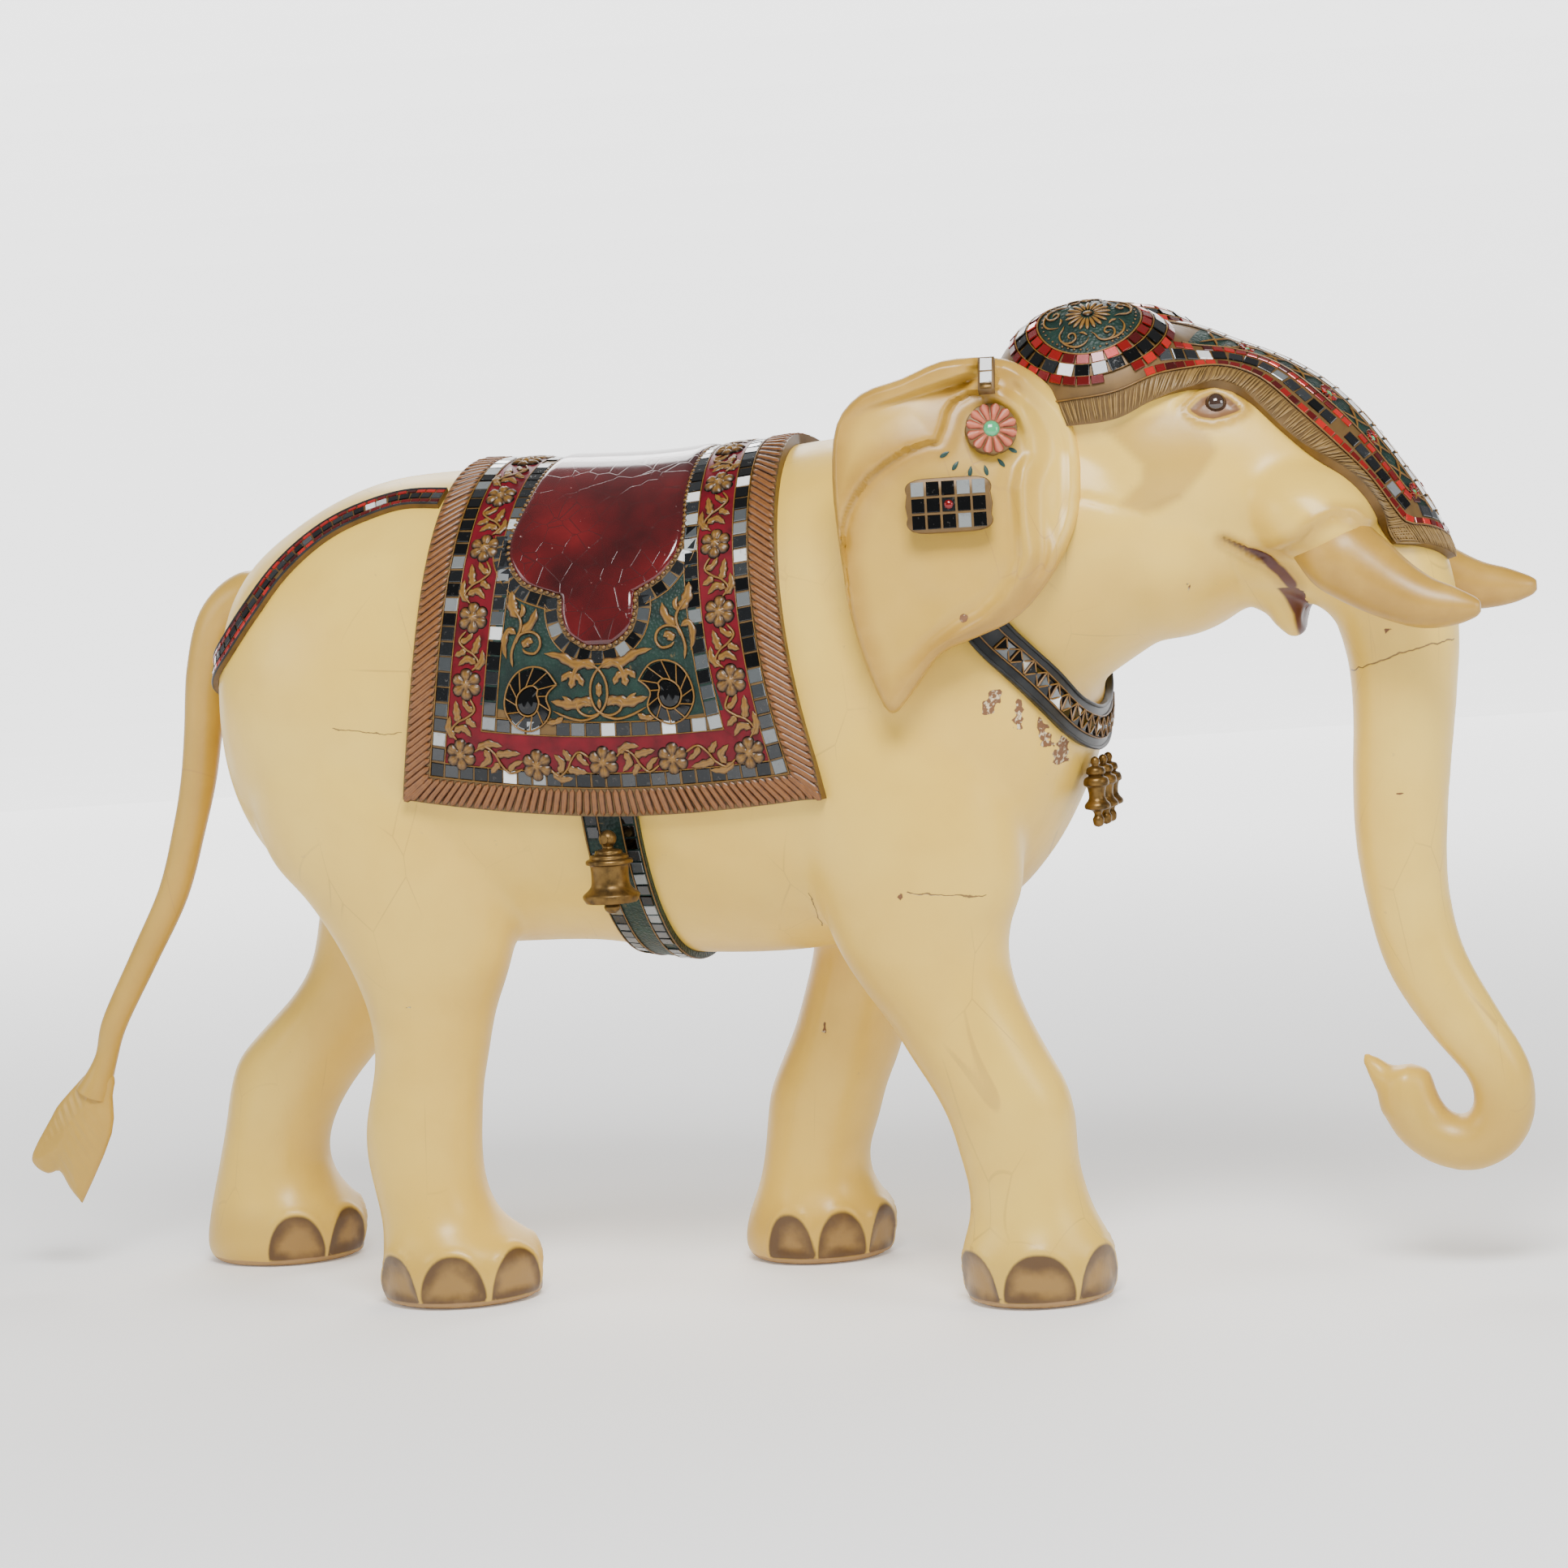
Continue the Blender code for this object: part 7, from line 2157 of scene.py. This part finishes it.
def head_cap(tree, looks):
    """Cap with its fringe, tile bands, dome roundels and the panels on the brow."""
    patch = cap_patch(tree)
    last = len(CAP_ROWS) - 1
    sampled = np.linspace(0, last, 43)
    widths = (sampled, [cap_half_width(patch, u) for u in sampled])
    rows = [(np.full(81, u), np.linspace(-1, 1, 81)) for u in np.linspace(0, last, 127)]
    ground = slab("head_cap_ground", patch, rows, 0.0005, CAP_TOP - 0.0005, looks["mastic"])
    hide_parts("head_cap")

    mirrors, red, gilt, green, fringe = Bag(), Bag(), Bag(), Bag(), Bag()
    petals, hearts = Bag(), Bag()
    cap_fringe(patch, fringe, widths)
    begin = 5.6          # row at which the domes end and the bands begin
    tile_row(red, patch, cap_path(patch, 0.0290, begin, widths), 0.0110, 0.0078, 0.0013, CAP_TOP,
             tones=rng.random)
    tile_row(mirrors, patch, cap_path(patch, 0.0425, begin + 0.2, widths), 0.0150, 0.0118, 0.0013,
             CAP_TOP, lost=0.03)
    tile_row(red, patch, cap_path(patch, 0.0555, begin + 0.4, widths), 0.0110, 0.0072, 0.0013,
             CAP_TOP, lost=0.12, tones=rng.random)
    wire(gilt, patch, cap_path(patch, 0.0245, 0.3, widths), 0.0020, 0.0022, CAP_TOP, 0.004)
    wire(gilt, patch, cap_path(patch, CAP_BORDER, begin + 0.5, widths), 0.0016, 0.0018, CAP_TOP,
         0.004)

    sheet = []
    for u in np.linspace(6.2, last - 1.9, 90):
        share = np.linspace(-1, 1, 41) * (1 - 0.0615 / np.interp(u, *widths))
        sheet.append(patch.at(np.full(41, u), share, CAP_TOP + 0.0004)[0])
    green.grid(np.stack(sheet), outward=(1, 0, 1))

    def along_cap(offset, stop):
        rows = np.linspace(0.9, last - stop, 120)
        return np.stack([rows, offset / np.interp(rows, *widths)], 1)

    for offset in (-0.0085, 0.0085):
        tile_row(mirrors, patch, along_cap(offset, 2.0), 0.0165, 0.0135, 0.0013,
                 CAP_TOP + 0.0003, lost=0.06)
    for offset in (-0.0175, 0.0, 0.0175):
        wire(gilt, patch, along_cap(offset, 1.9), 0.0018, 0.0020, CAP_TOP, 0.004)
    for side, _ in SIDES:
        brow_rosettes(patch, side, widths, gilt, petals, hearts)
        dome(tree, side, red, mirrors, gilt, green)
    for bag, name, look in (
            (mirrors, "cap_mirror_tiles", "mirror"), (red, "cap_red_tiles", "red"),
            (gilt, "cap_gilt_relief", "gilt"), (green, "cap_green_fields", "green"),
            (fringe, "cap_fringe", "hair"), (petals, "cap_rosettes", "red"),
            (hearts, "cap_rosette_hearts", "leaf")):
        bag.build(name, looks[look], smooth=look not in ("mirror", "red"))


def brow_rosettes(patch, side, widths, gilt, petals, hearts):
    """Rosettes of red glass with green hearts, and scrolls between them."""
    for u, size in ((7.3, 0.0135), (9.1, 0.0165), (10.15, 0.0135), (11.5, 0.0125)):
        width = np.interp(u, *widths)
        offset = 0.5 * (width - CAP_BORDER + CAP_SPINE)
        size = min(size, 0.5 * (width - CAP_BORDER - CAP_SPINE) - 0.0012)
        if size < 0.004:
            continue
        v = side * offset / width
        centre, normal = patch.at(u, v, CAP_TOP + 0.0004)
        ahead = unit(patch.at(u + 0.05, v, CAP_TOP)[0] - centre)
        across = unit(np.cross(normal, ahead))

        def spokes(count):
            turns = 2 * math.pi * np.arange(count) / count
            return [ahead * math.cos(turn) + across * math.sin(turn) for turn in turns]

        for out in spokes(12):
            petals.tile(centre + out * size * 0.70, out, normal, size * 0.52, size * 0.34,
                        0.0016, rng.random(), bevel=0.0005)
        hearts.bead(centre, normal, size * 0.36, segments=14, squash=0.55)
        for out in spokes(20):
            gilt.bead(centre + out * size, normal, 0.0011, segments=6)
    for u in np.arange(6.6, len(CAP_ROWS) - 3.2, 0.62):
        width = np.interp(u, *widths)
        room = width - CAP_BORDER - CAP_SPINE
        if room < 0.006:
            continue
        low = 0.0195 / width * side
        high = (0.0195 + room * 0.9) / width * side
        middle = (low + high) / 2
        for places, broad, height, notch, teeth in (
                ((-0.25, 0.0, 0.2), 0.0034, 0.0020, 0.3, 2),
                ((0.2, 0.05, -0.2), 0.0026, 0.0018, 0.2, 0)):
            line = [(u + shift, v) for shift, v in zip(places, (low, middle, high))]
            strand(gilt, patch, smooth_rows(line, 6), broad, height, CAP_TOP + 0.0003,
                   (0.2, 0.4), notch, teeth)


DOME_SCROLL = (   # distance from the middle and share of the way round to the next scroll
    (((0.0265, 0.00), (0.0305, 0.09), (0.0370, 0.15), (0.0415, 0.27), (0.0420, 0.41),
      (0.0390, 0.53), (0.0340, 0.58), (0.0300, 0.52), (0.0292, 0.43), (0.0318, 0.36),
      (0.0350, 0.39), (0.0352, 0.46)), 0.0023, (0.2, 0.1)),
    (((0.0410, 0.26), (0.0438, 0.46), (0.0436, 0.66), (0.0395, 0.82), (0.0320, 0.93)),
     0.0027, (0.1, 0.5)),
    (((0.0270, 0.62), (0.0268, 0.76), (0.0300, 0.88)), 0.0026, (0.4, 0.4)),
)


def dome(tree, side, red, mirrors, gilt, green):
    """Rings of tiles round a green roundel with a sunburst, on one dome."""
    patch = dome_patch(tree, side)
    turns = np.linspace(-math.pi, math.pi, 161)

    def ring(chord):
        return np.stack([np.full(161, polar_angle(chord)), turns], 1)

    rows = [patch.at(np.full(161, u), turns, CAP_TOP + 0.0006)[0]
            for u in np.linspace(0.0, polar_angle(0.0510), 24)]
    green.grid(np.stack(rows), outward=(0, side * 0.3, 1))
    top = CAP_TOP + 0.0008
    tile_row(red, patch, ring(0.0570), 0.0140, 0.0098, 0.0014, top, lost=0.01, tones=rng.random)
    tile_row(mirrors, patch, ring(0.0690), 0.0165, 0.0125, 0.0014, top, lost=0.01)
    tile_row(red, patch, ring(0.0800), 0.0135, 0.0085, 0.0014, top, lost=0.02, tones=rng.random)
    for chord, width in ((0.0512, 0.0020), (0.0628, 0.0014), (0.0755, 0.0014)):
        wire(gilt, patch, ring(chord), width, 0.0020, top - 0.0004, 0.003)
    bead_row(gilt, patch, ring(0.0462), 0.0062, 0.0014, top, 8)
    rays, scrolls = 18, 5
    for index in range(rays):
        turn = -math.pi + 2 * math.pi * index / rays
        ray = [(polar_angle(chord), turn) for chord in (0.0065, 0.0140, 0.0225)]
        strand(gilt, patch, ray, 0.0042, 0.0018, top, (0.4, 0.2), fine=0.0015)
    centre, normal = patch.at(0.0, 0.0, top)
    gilt.bead(centre, normal, 0.0052, segments=16, squash=0.4)
    arc = 2 * math.pi / scrolls
    for index in range(scrolls):
        base = 2 * math.pi * index / scrolls - math.pi
        for path, width, taper in DOME_SCROLL:
            line = np.array([(polar_angle(chord), base + arc * share) for chord, share in path])
            line = smooth_rows(line, 5)
            line[:, 1] = np.clip(line[:, 1], -math.pi, math.pi)
            strand(gilt, patch, line, width, 0.0019, top, taper, fine=0.0015)


# ---------------------------------------------------------------- ear ornaments
class EarFace:
    """Outer face of a carved ear, as the ground for its ornaments."""

    def __init__(self, label, side):
        self.label, self.side = label, side
        self.skin = skin_over(bpy.data.objects["carved_ear_" + label].data)

    def point(self, x, z):
        """Point of the face at a side view's point."""
        start = Vector(np.array((x, self.side * 0.6, z)) + ORIGIN)
        return np.array(self.skin.ray_cast(start, Vector((0.0, -self.side, 0.0)))[0])

    def axes(self, x, z, reach):
        """Point with its directions forward, up and outward, levelled over a reach."""
        across = unit(self.point(x + reach, z) - self.point(x - reach, z))
        rise = self.point(x, z + reach) - self.point(x, z - reach)
        normal = unit(np.cross(rise, across))
        if normal[1] * self.side < 0:
            normal = -normal
        up = np.cross(normal, across)
        return self.point(x, z), across, up if up[2] > 0 else -up, normal

    def plate(self, x, z, reach, node):
        """The same, lifted so that what lies there ends where the CAD node ends."""
        centre, across, up, normal = self.axes(x, z, reach)
        low, high = (np.array(v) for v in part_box(node))
        outside = high[1] if self.side > 0 else -low[1]
        lift = max(outside - abs(centre[1]) - 0.0045, 0.0012)
        return centre + normal * lift, across, up, normal


def ear_rosette(face, petals, disc, heart):
    """Twelve hollow petals on a scalloped disc round a green heart."""
    centre, across, up, normal = face.axes(0.2775, 0.8295, 0.016)
    low, high = (np.array(v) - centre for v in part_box("ear_rosette_" + face.label))
    foot = max(0.0006, 0.5 * (face.side * (low + high)[1]) - 0.0030)
    centre = centre + normal * foot
    radius, count = 0.0240, 12
    turn = 2 * math.pi * np.arange(8 * count) / (8 * count)
    lobe = np.abs(np.cos(turn * count / 2))
    rings = []
    for share, lift in ((1.0, -0.0060), (1.0, 0.0008), (0.97, 0.0014), (0.30, 0.0014)):
        reach = radius * share * (0.95 + 0.05 * lobe ** 0.5)
        rings.append(centre + np.outer(np.cos(turn) * reach, up)
                     + np.outer(np.sin(turn) * reach, across) + normal * lift)
    disc.grid(np.stack(rings), rise=0.2, wrap=True)
    for index in range(count):
        angle = 2 * math.pi * (index + 0.5) / count
        out = up * math.cos(angle) + across * math.sin(angle)
        aside = np.cross(normal, out)
        petal, rises = [], []
        for q in np.linspace(-1, 1, 9):
            column = []
            for p in np.linspace(0, 1, 10):
                reach = radius * (0.33 + 0.64 * p)
                half = reach * math.tan(math.pi / count) * 0.86
                if p > 0.72:
                    half *= math.sqrt(max(1 - ((p - 0.72) / 0.30) ** 2, 0.02))
                lift = 0.0014 + 0.0022 * math.sqrt(max(1 - q * q, 0)) * min(1, 3 * p + 0.3)
                column.append(centre + out * reach + aside * half * q + normal * lift)
                rises.append(0.35 + 0.65 * (1 - q * q))
            petal.append(column)
        petals.grid(np.array(petal), outward=normal, rise=rises)
    heart.bead(centre + normal * 0.0010, normal, radius * 0.31, segments=24, squash=0.45)


def painted_drops(face, drops):
    """Fan of small painted drops under the rosette."""
    sides = 14
    for angle in (-62, -37, -12, 12, 37, 62):
        a = math.radians(angle)
        x = 0.2675 + 0.0345 * math.sin(a) * 0.95
        z = 0.8270 - 0.0330 * math.cos(a)
        spot, along, rise, out = face.axes(x, z, 0.004)
        way = unit(along * math.sin(a) - rise * math.cos(a))
        aside = np.cross(out, way)
        ring = []
        for t in np.linspace(0, 2 * math.pi, sides, endpoint=False):
            p, q = math.cos(t), math.sin(t)
            width = 0.0021 * (1 - 0.55 * max(-p, 0)) * (1 if p > -0.9 else 0.6)
            ring.append(spot + way * p * 0.0052 + aside * q * width + out * 0.0006)
        ring.append(spot + out * 0.0016)
        faces = []
        for k in range(sides):
            corners = (k, (k + 1) % sides, sides)
            a0, b, c = (ring[corner] for corner in corners)
            outward = np.cross(b - a0, c - a0)[1] * face.side > 0
            faces.append(corners if outward else corners[::-1])
        drops.add(ring, faces)


def mirror_panel(face, bed, mirrors, studs):
    """Panel of three rows of five tiles with a red stud on its middle."""
    half_w, half_h = 0.0370, 0.0250
    centre, across, up, normal = face.plate(
        0.242, 0.764, 0.024 * 0.9, "ear_mirror_panel_" + face.label)
    columns, rows, cell_w, cell_h, gap = 5, 3, 0.0126, 0.0138, 0.0014
    outline = []
    for t in 2 * math.pi * np.arange(72) / 72:
        c, s = math.cos(t), math.sin(t)
        p = math.copysign(abs(c) ** 0.30, c) * half_w
        q = math.copysign(abs(s) ** 0.35, s) * half_h
        if abs(c) > 0.60:
            p += math.copysign(0.0028 * abs(math.cos(q / half_h * 1.5 * math.pi)), c)
        outline.append(across * p + up * q)
    outline = np.array(outline)
    layers = [centre + outline * share + normal * lift for share, lift in (
        (1.0, -0.0075), (1.0, 0.0026), (0.975, 0.0034), (0.5, 0.0034), (0.01, 0.0034))]
    bed.grid(np.stack(layers), wrap=True)
    for i in range(columns):
        for j in range(rows):
            p, q = (i - 2) * (cell_w + gap), (j - 1) * (cell_h + gap)
            tone = rng.choice((0.03, 0.05, 0.06, 0.10, 0.7, 0.95)) if (i, j) != (2, 1) else 0.2
            mirrors.tile(centre + across * p + up * q + normal * 0.0032, across, normal,
                         cell_w * 0.93, cell_h * 0.93, 0.0014, tone, tilt=0.02)
    studs.bead(centre + normal * 0.0046, normal, 0.0042, segments=16, squash=0.5)


def ear_clip(face, bed, mirrors, brass):
    """Clip with two mirrors, one over the other, on a brass foot."""
    centre, _, up, normal = face.plate(0.279, 0.876, 0.0070 * 0.9, "ear_clip_" + face.label)
    bed.tile(centre - normal * 0.007, up, normal, 0.0345, 0.0150, 0.0095, 0.5, bevel=0.0010)
    for offset, length in ((0.0090, 0.0125), (-0.0045, 0.0110)):
        mirrors.tile(centre + up * offset + normal * 0.0024, up, normal, length, 0.0108, 0.0012,
                     0.97, tilt=0.02)
    brass.tile(centre - up * 0.0138 + normal * 0.0022, up, normal, 0.0052, 0.0105, 0.0016, 0.5)


def ear_ornaments(label, side, looks):
    """Rosette, mirror panel, clip and painted drops on the outer face of an ear."""
    petals, disc, heart, drops = Bag(), Bag(), Bag(), Bag()
    bed, mirrors, studs, brass = Bag(), Bag(), Bag(), Bag()
    face = EarFace(label, side)
    ear_rosette(face, petals, disc, heart)
    painted_drops(face, drops)
    mirror_panel(face, bed, mirrors, studs)
    ear_clip(face, bed, mirrors, brass)
    for bag, name, look, finish, node in (
            (petals, "ear_rosette_petals_", "rose", "rose_enamel", None),
            (disc, "ear_rosette_disc_", "mastic", "rose_enamel", "ear_rosette_"),
            (heart, "ear_rosette_heart_", "leaf", "rose_enamel", None),
            (bed, "ear_panel_bed_", "mastic", "mirror_tiles", "ear_mirror_panel_"),
            (mirrors, "ear_tiles_", "mirror", "mirror_tiles", "ear_clip_"),
            (studs, "ear_red_stud_", "red", "mirror_tiles", None),
            (drops, "ear_painted_drops_", "leaf_dark", "rose_enamel", None),
            (brass, "ear_clip_brass_", "brass", "mirror_tiles", None)):
        obj = bag.build(name + label, looks[look], smooth=look != "mirror")
        if node:
            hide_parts(node + label)


# ---------------------------------------------------------------- bells and pendants
def turned_mesh(name, profile, place, steps=48):
    """Mesh turned about Z from a profile of radii and heights."""
    turn = 2 * math.pi * np.arange(steps) / steps
    bag = Bag()
    rows = [np.stack([np.cos(turn) * max(r, 1e-5), np.sin(turn) * max(r, 1e-5),
                      np.full(steps, h)], 1) + place for r, h in profile]
    bag.grid(np.stack(rows), wrap=True)
    return bag.welded(name, 0.00003)


def rounded(profile, steps=4):
    """Profile with gentle curves between its points, its ends kept."""
    line = smooth_rows(np.array(profile), steps)
    line[:, 0] = np.maximum(line[:, 0], 0.0)
    return line


def bells(looks):
    """Girth bells with their clappers and pins, and the collar's pendants."""
    wall = 0.0022
    inside = [(r - wall, h) for r, h in reversed(BELL_OUTSIDE[13:])]
    inside[0] = (BELL_OUTSIDE[-1][0] - wall, BELL_OUTSIDE[-1][1])
    inside += [(0.0150, -0.0215), (0.0, -0.0205)]
    outside = rounded(BELL_OUTSIDE, 3)
    profile = np.concatenate([outside, rounded(inside, 2)])
    for side, label in SIDES:
        pivot = np.array((-0.115, side * 0.197, 0.470)) + ORIGIN
        body = "girth_bell_" + label
        mesh = turned_mesh("turned_bell_" + label, profile, pivot)
        obj = place_mesh("turned_bell_" + label, mesh, looks["brass"], body, sharp=55)
        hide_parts(body)
    for name in ("clapper", "clapper_pin", "bell_pin"):
        for _, label in SIDES:
            paint(name + "_" + label, looks["brass"])
    line = rounded(PENDANT, 3)
    for name in ("right", "middle", "left"):
        node = "collar_pendant_" + name
        low, high = (np.array(v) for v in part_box(node))
        place = np.array(((low[0] + high[0]) / 2, (low[1] + high[1]) / 2, high[2] - 0.0100))
        mesh = turned_mesh("turned_pendant_" + name, line, place, 32)
        obj = place_mesh("turned_pendant_" + name, mesh, looks["brass"], sharp=50)
        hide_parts(node)


def paint(node, material):
    """Give a CAD node that stays visible its material."""
    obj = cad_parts[node]
    obj.data.materials.clear()
    obj.data.materials.append(material)


# ---------------------------------------------------------------- light, floor and camera
PAPER_GLOW = 1.9                           # emission of the paper behind the figure
CAMERA_AZIMUTH = math.radians(18.0)        # towards the head from square on
CAMERA_ELEVATION = math.radians(4.2)
CAMERA_ROLL = math.radians(3.7)
CAMERA_DISTANCE = 3.96
CAMERA_TARGET = (0.0657, 0.0, 0.490)


def area_light(name, place, target, size, power):
    """Soft rectangular light that faces a point."""
    data = bpy.data.lights.new(name, "AREA")
    data.shape = "RECTANGLE"
    data.size, data.size_y = size
    data.energy = power
    obj = bpy.data.objects.new(name, data)
    bpy.context.scene.collection.objects.link(obj)
    obj.location = place
    obj.rotation_euler = (Vector(target) - Vector(place)).to_track_quat("-Z", "Y").to_euler()


def studio_sheet(name, points, faces, grey, roughness):
    """Sheet of pale paper; gives its object and its material, still without its glow."""
    mesh = bpy.data.meshes.new(name)
    mesh.from_pydata(points, [], faces)
    obj = bpy.data.objects.new(name, mesh)
    bpy.context.scene.collection.objects.link(obj)
    look = Look(name)
    look.shade({"Base Color": (grey,) * 3, "Roughness": roughness, "Emission Color": (1.0,) * 3})
    mesh.materials.append(look.material)
    return obj, look


def backdrop(azimuth):
    """Bright paper hung far behind the figure."""
    away = Vector((-math.sin(azimuth), math.cos(azimuth), 0.0))
    across = Vector((math.cos(azimuth), math.sin(azimuth), 0.0))
    near, bend, top, half_width = 7.0, 2.5, 7.0, 7
    profile = []
    for turn in np.linspace(0, 1, 25) * (math.pi / 2):
        profile.append((near + bend * math.sin(turn), bend * (1 - math.cos(turn)) - 0.06))
    profile.append((near + bend, top))
    points = [tuple(away * out + across * reach + Vector((0, 0, rise)))
              for out, rise in profile for reach in (-half_width, half_width)]
    faces = [(2 * i, 2 * i + 1, 2 * i + 3, 2 * i + 2) for i in range(len(profile) - 1)]
    paper, look = studio_sheet("studio_backdrop", points, faces, 0.92, 0.9)
    look.shade({"Emission Strength": PAPER_GLOW})


def studio():
    """Pale floor that glows brighter away from the figure, soft light and the camera."""
    scene = bpy.context.scene
    world = bpy.data.worlds.new("soft_studio")
    scene.world = world
    world.use_nodes = True
    background = world.node_tree.nodes["Background"]
    background.inputs["Color"].default_value = (1.0, 1.0, 1.0, 1.0)
    background.inputs["Strength"].default_value = 0.34

    floor, look = studio_sheet("studio_floor", [
        (-14, -14, 0), (14, -14, 0), (14, 14, 0), (-14, 14, 0)], [(0, 1, 2, 3)], 0.94, 0.85)
    # the floor glows as painted light: dim next to the figure and as bright as the backdrop far
    # away
    far = look.node("ShaderNodeVectorMath", operation="LENGTH")
    look.feed(far.inputs[0], look.place())
    look.shade({"Emission Strength": look.span(far.outputs["Value"], 0.9, 5.0, 0.14, PAPER_GLOW)})
    backdrop(CAMERA_AZIMUTH)

    middle = (0.0, 0.0, 0.50)
    area_light("key", (0.9, -2.2, 2.9), middle, (1.5, 1.1), 155)
    area_light("fill", (-2.6, -1.8, 1.6), middle, (1.4, 1.4), 28)
    area_light("rim", (-0.8, 2.4, 2.4), middle, (2.0, 1.0), 40)
    area_light("front", (2.8, -0.6, 1.4), middle, (1.0, 1.0), 24)

    data = bpy.data.cameras.new("camera")
    camera = bpy.data.objects.new("camera", data)
    scene.collection.objects.link(camera)
    level = math.cos(CAMERA_ELEVATION)
    back = Vector((math.sin(CAMERA_AZIMUTH) * level, -math.cos(CAMERA_AZIMUTH) * level,
                   math.sin(CAMERA_ELEVATION)))
    camera.location = Vector(CAMERA_TARGET) + back * CAMERA_DISTANCE
    roll = Quaternion((0.0, 0.0, 1.0), -CAMERA_ROLL)
    camera.rotation_mode = "QUATERNION"
    camera.rotation_quaternion = (-back).to_track_quat("-Z", "Y") @ roll
    data.lens = 92.24
    data.sensor_width = 36.0
    scene.camera = camera


def main():
    """Build every piece over the CAD."""
    lacquer = lacquer_material()
    figure = carve_figure()
    skin = skin_over(figure)
    saw_figure(figure, lacquer)
    glass = plain_material("eye_glass", (0.030, 0.014, 0.008), 0.05, coat=0.9, grain=0.0)
    tail(lacquer)
    for side, label in SIDES:
        ear(label, side, skin, lacquer)
        tusk(label, side, lacquer)
        eye(label, glass)
    looks = {
        "mirror": mirror_material(),
        "red": red_glass_material(),
        "seat": seat_material(),
        "mastic": plain_material("gilt_mastic", (0.120, 0.066, 0.018), 0.45, 0.30),
        # the first colour of each relief material is the painted shade in its hollows
        "gilt": relief_material("gilt_relief", (0.005, 0.002, 0.001), (0.052, 0.022, 0.003),
                                (0.185, 0.088, 0.010)),
        "copper": relief_material("copper_fringe", (0.006, 0.002, 0.001), (0.052, 0.016, 0.003),
                                  (0.190, 0.070, 0.014), 0.38, 0.55, flaked=-0.275),
        "hair": relief_material("gilt_hair", (0.014, 0.007, 0.002), (0.080, 0.042, 0.010),
                                (0.220, 0.130, 0.034), 0.40, 0.40),
        "crimson": plain_material("crimson_paint", (0.105, 0.001, 0.006), 0.40, coat=0.0,
                                  mottle=0.2),
        "green": field_material("green_field", (0.008, 0.030, 0.021), (0.003, 0.010, 0.008)),
        "black": plain_material("black_edge", (0.014, 0.015, 0.016), 0.34, mottle=0.25),
        "rose": relief_material("rose_enamel", (0.030, 0.006, 0.003), (0.210, 0.032, 0.013),
                                (0.390, 0.090, 0.040), 0.45, 0.0),
        "leaf": plain_material("green_glass", (0.040, 0.300, 0.120), 0.14, coat=0.6),
        "leaf_dark": plain_material("dark_green_paint", (0.022, 0.055, 0.045), 0.35),
        "brass": plain_material("aged_brass", (0.130, 0.074, 0.020), 0.38, 0.80, mottle=0.26,
                                scale=120.0),
    }
    barrel = barrel_patch(skin)
    cloth(barrel, looks)
    seat(barrel, looks)
    straps(skin, looks)
    head_cap(skin, looks)
    for side, label in SIDES:
        ear_ornaments(label, side, looks)
    bells(looks)
    wood = plain_material("bare_wood", (0.400, 0.260, 0.130), 0.65)
    for node in ("dowel_neck", "dowel_trunk", "dowel_rear_leg_right", "dowel_rear_leg_left",
                 "dowel_front_leg_right", "dowel_front_leg_left"):
        paint(node, wood)
    studio()


main()
bpy.context.view_layer.update()
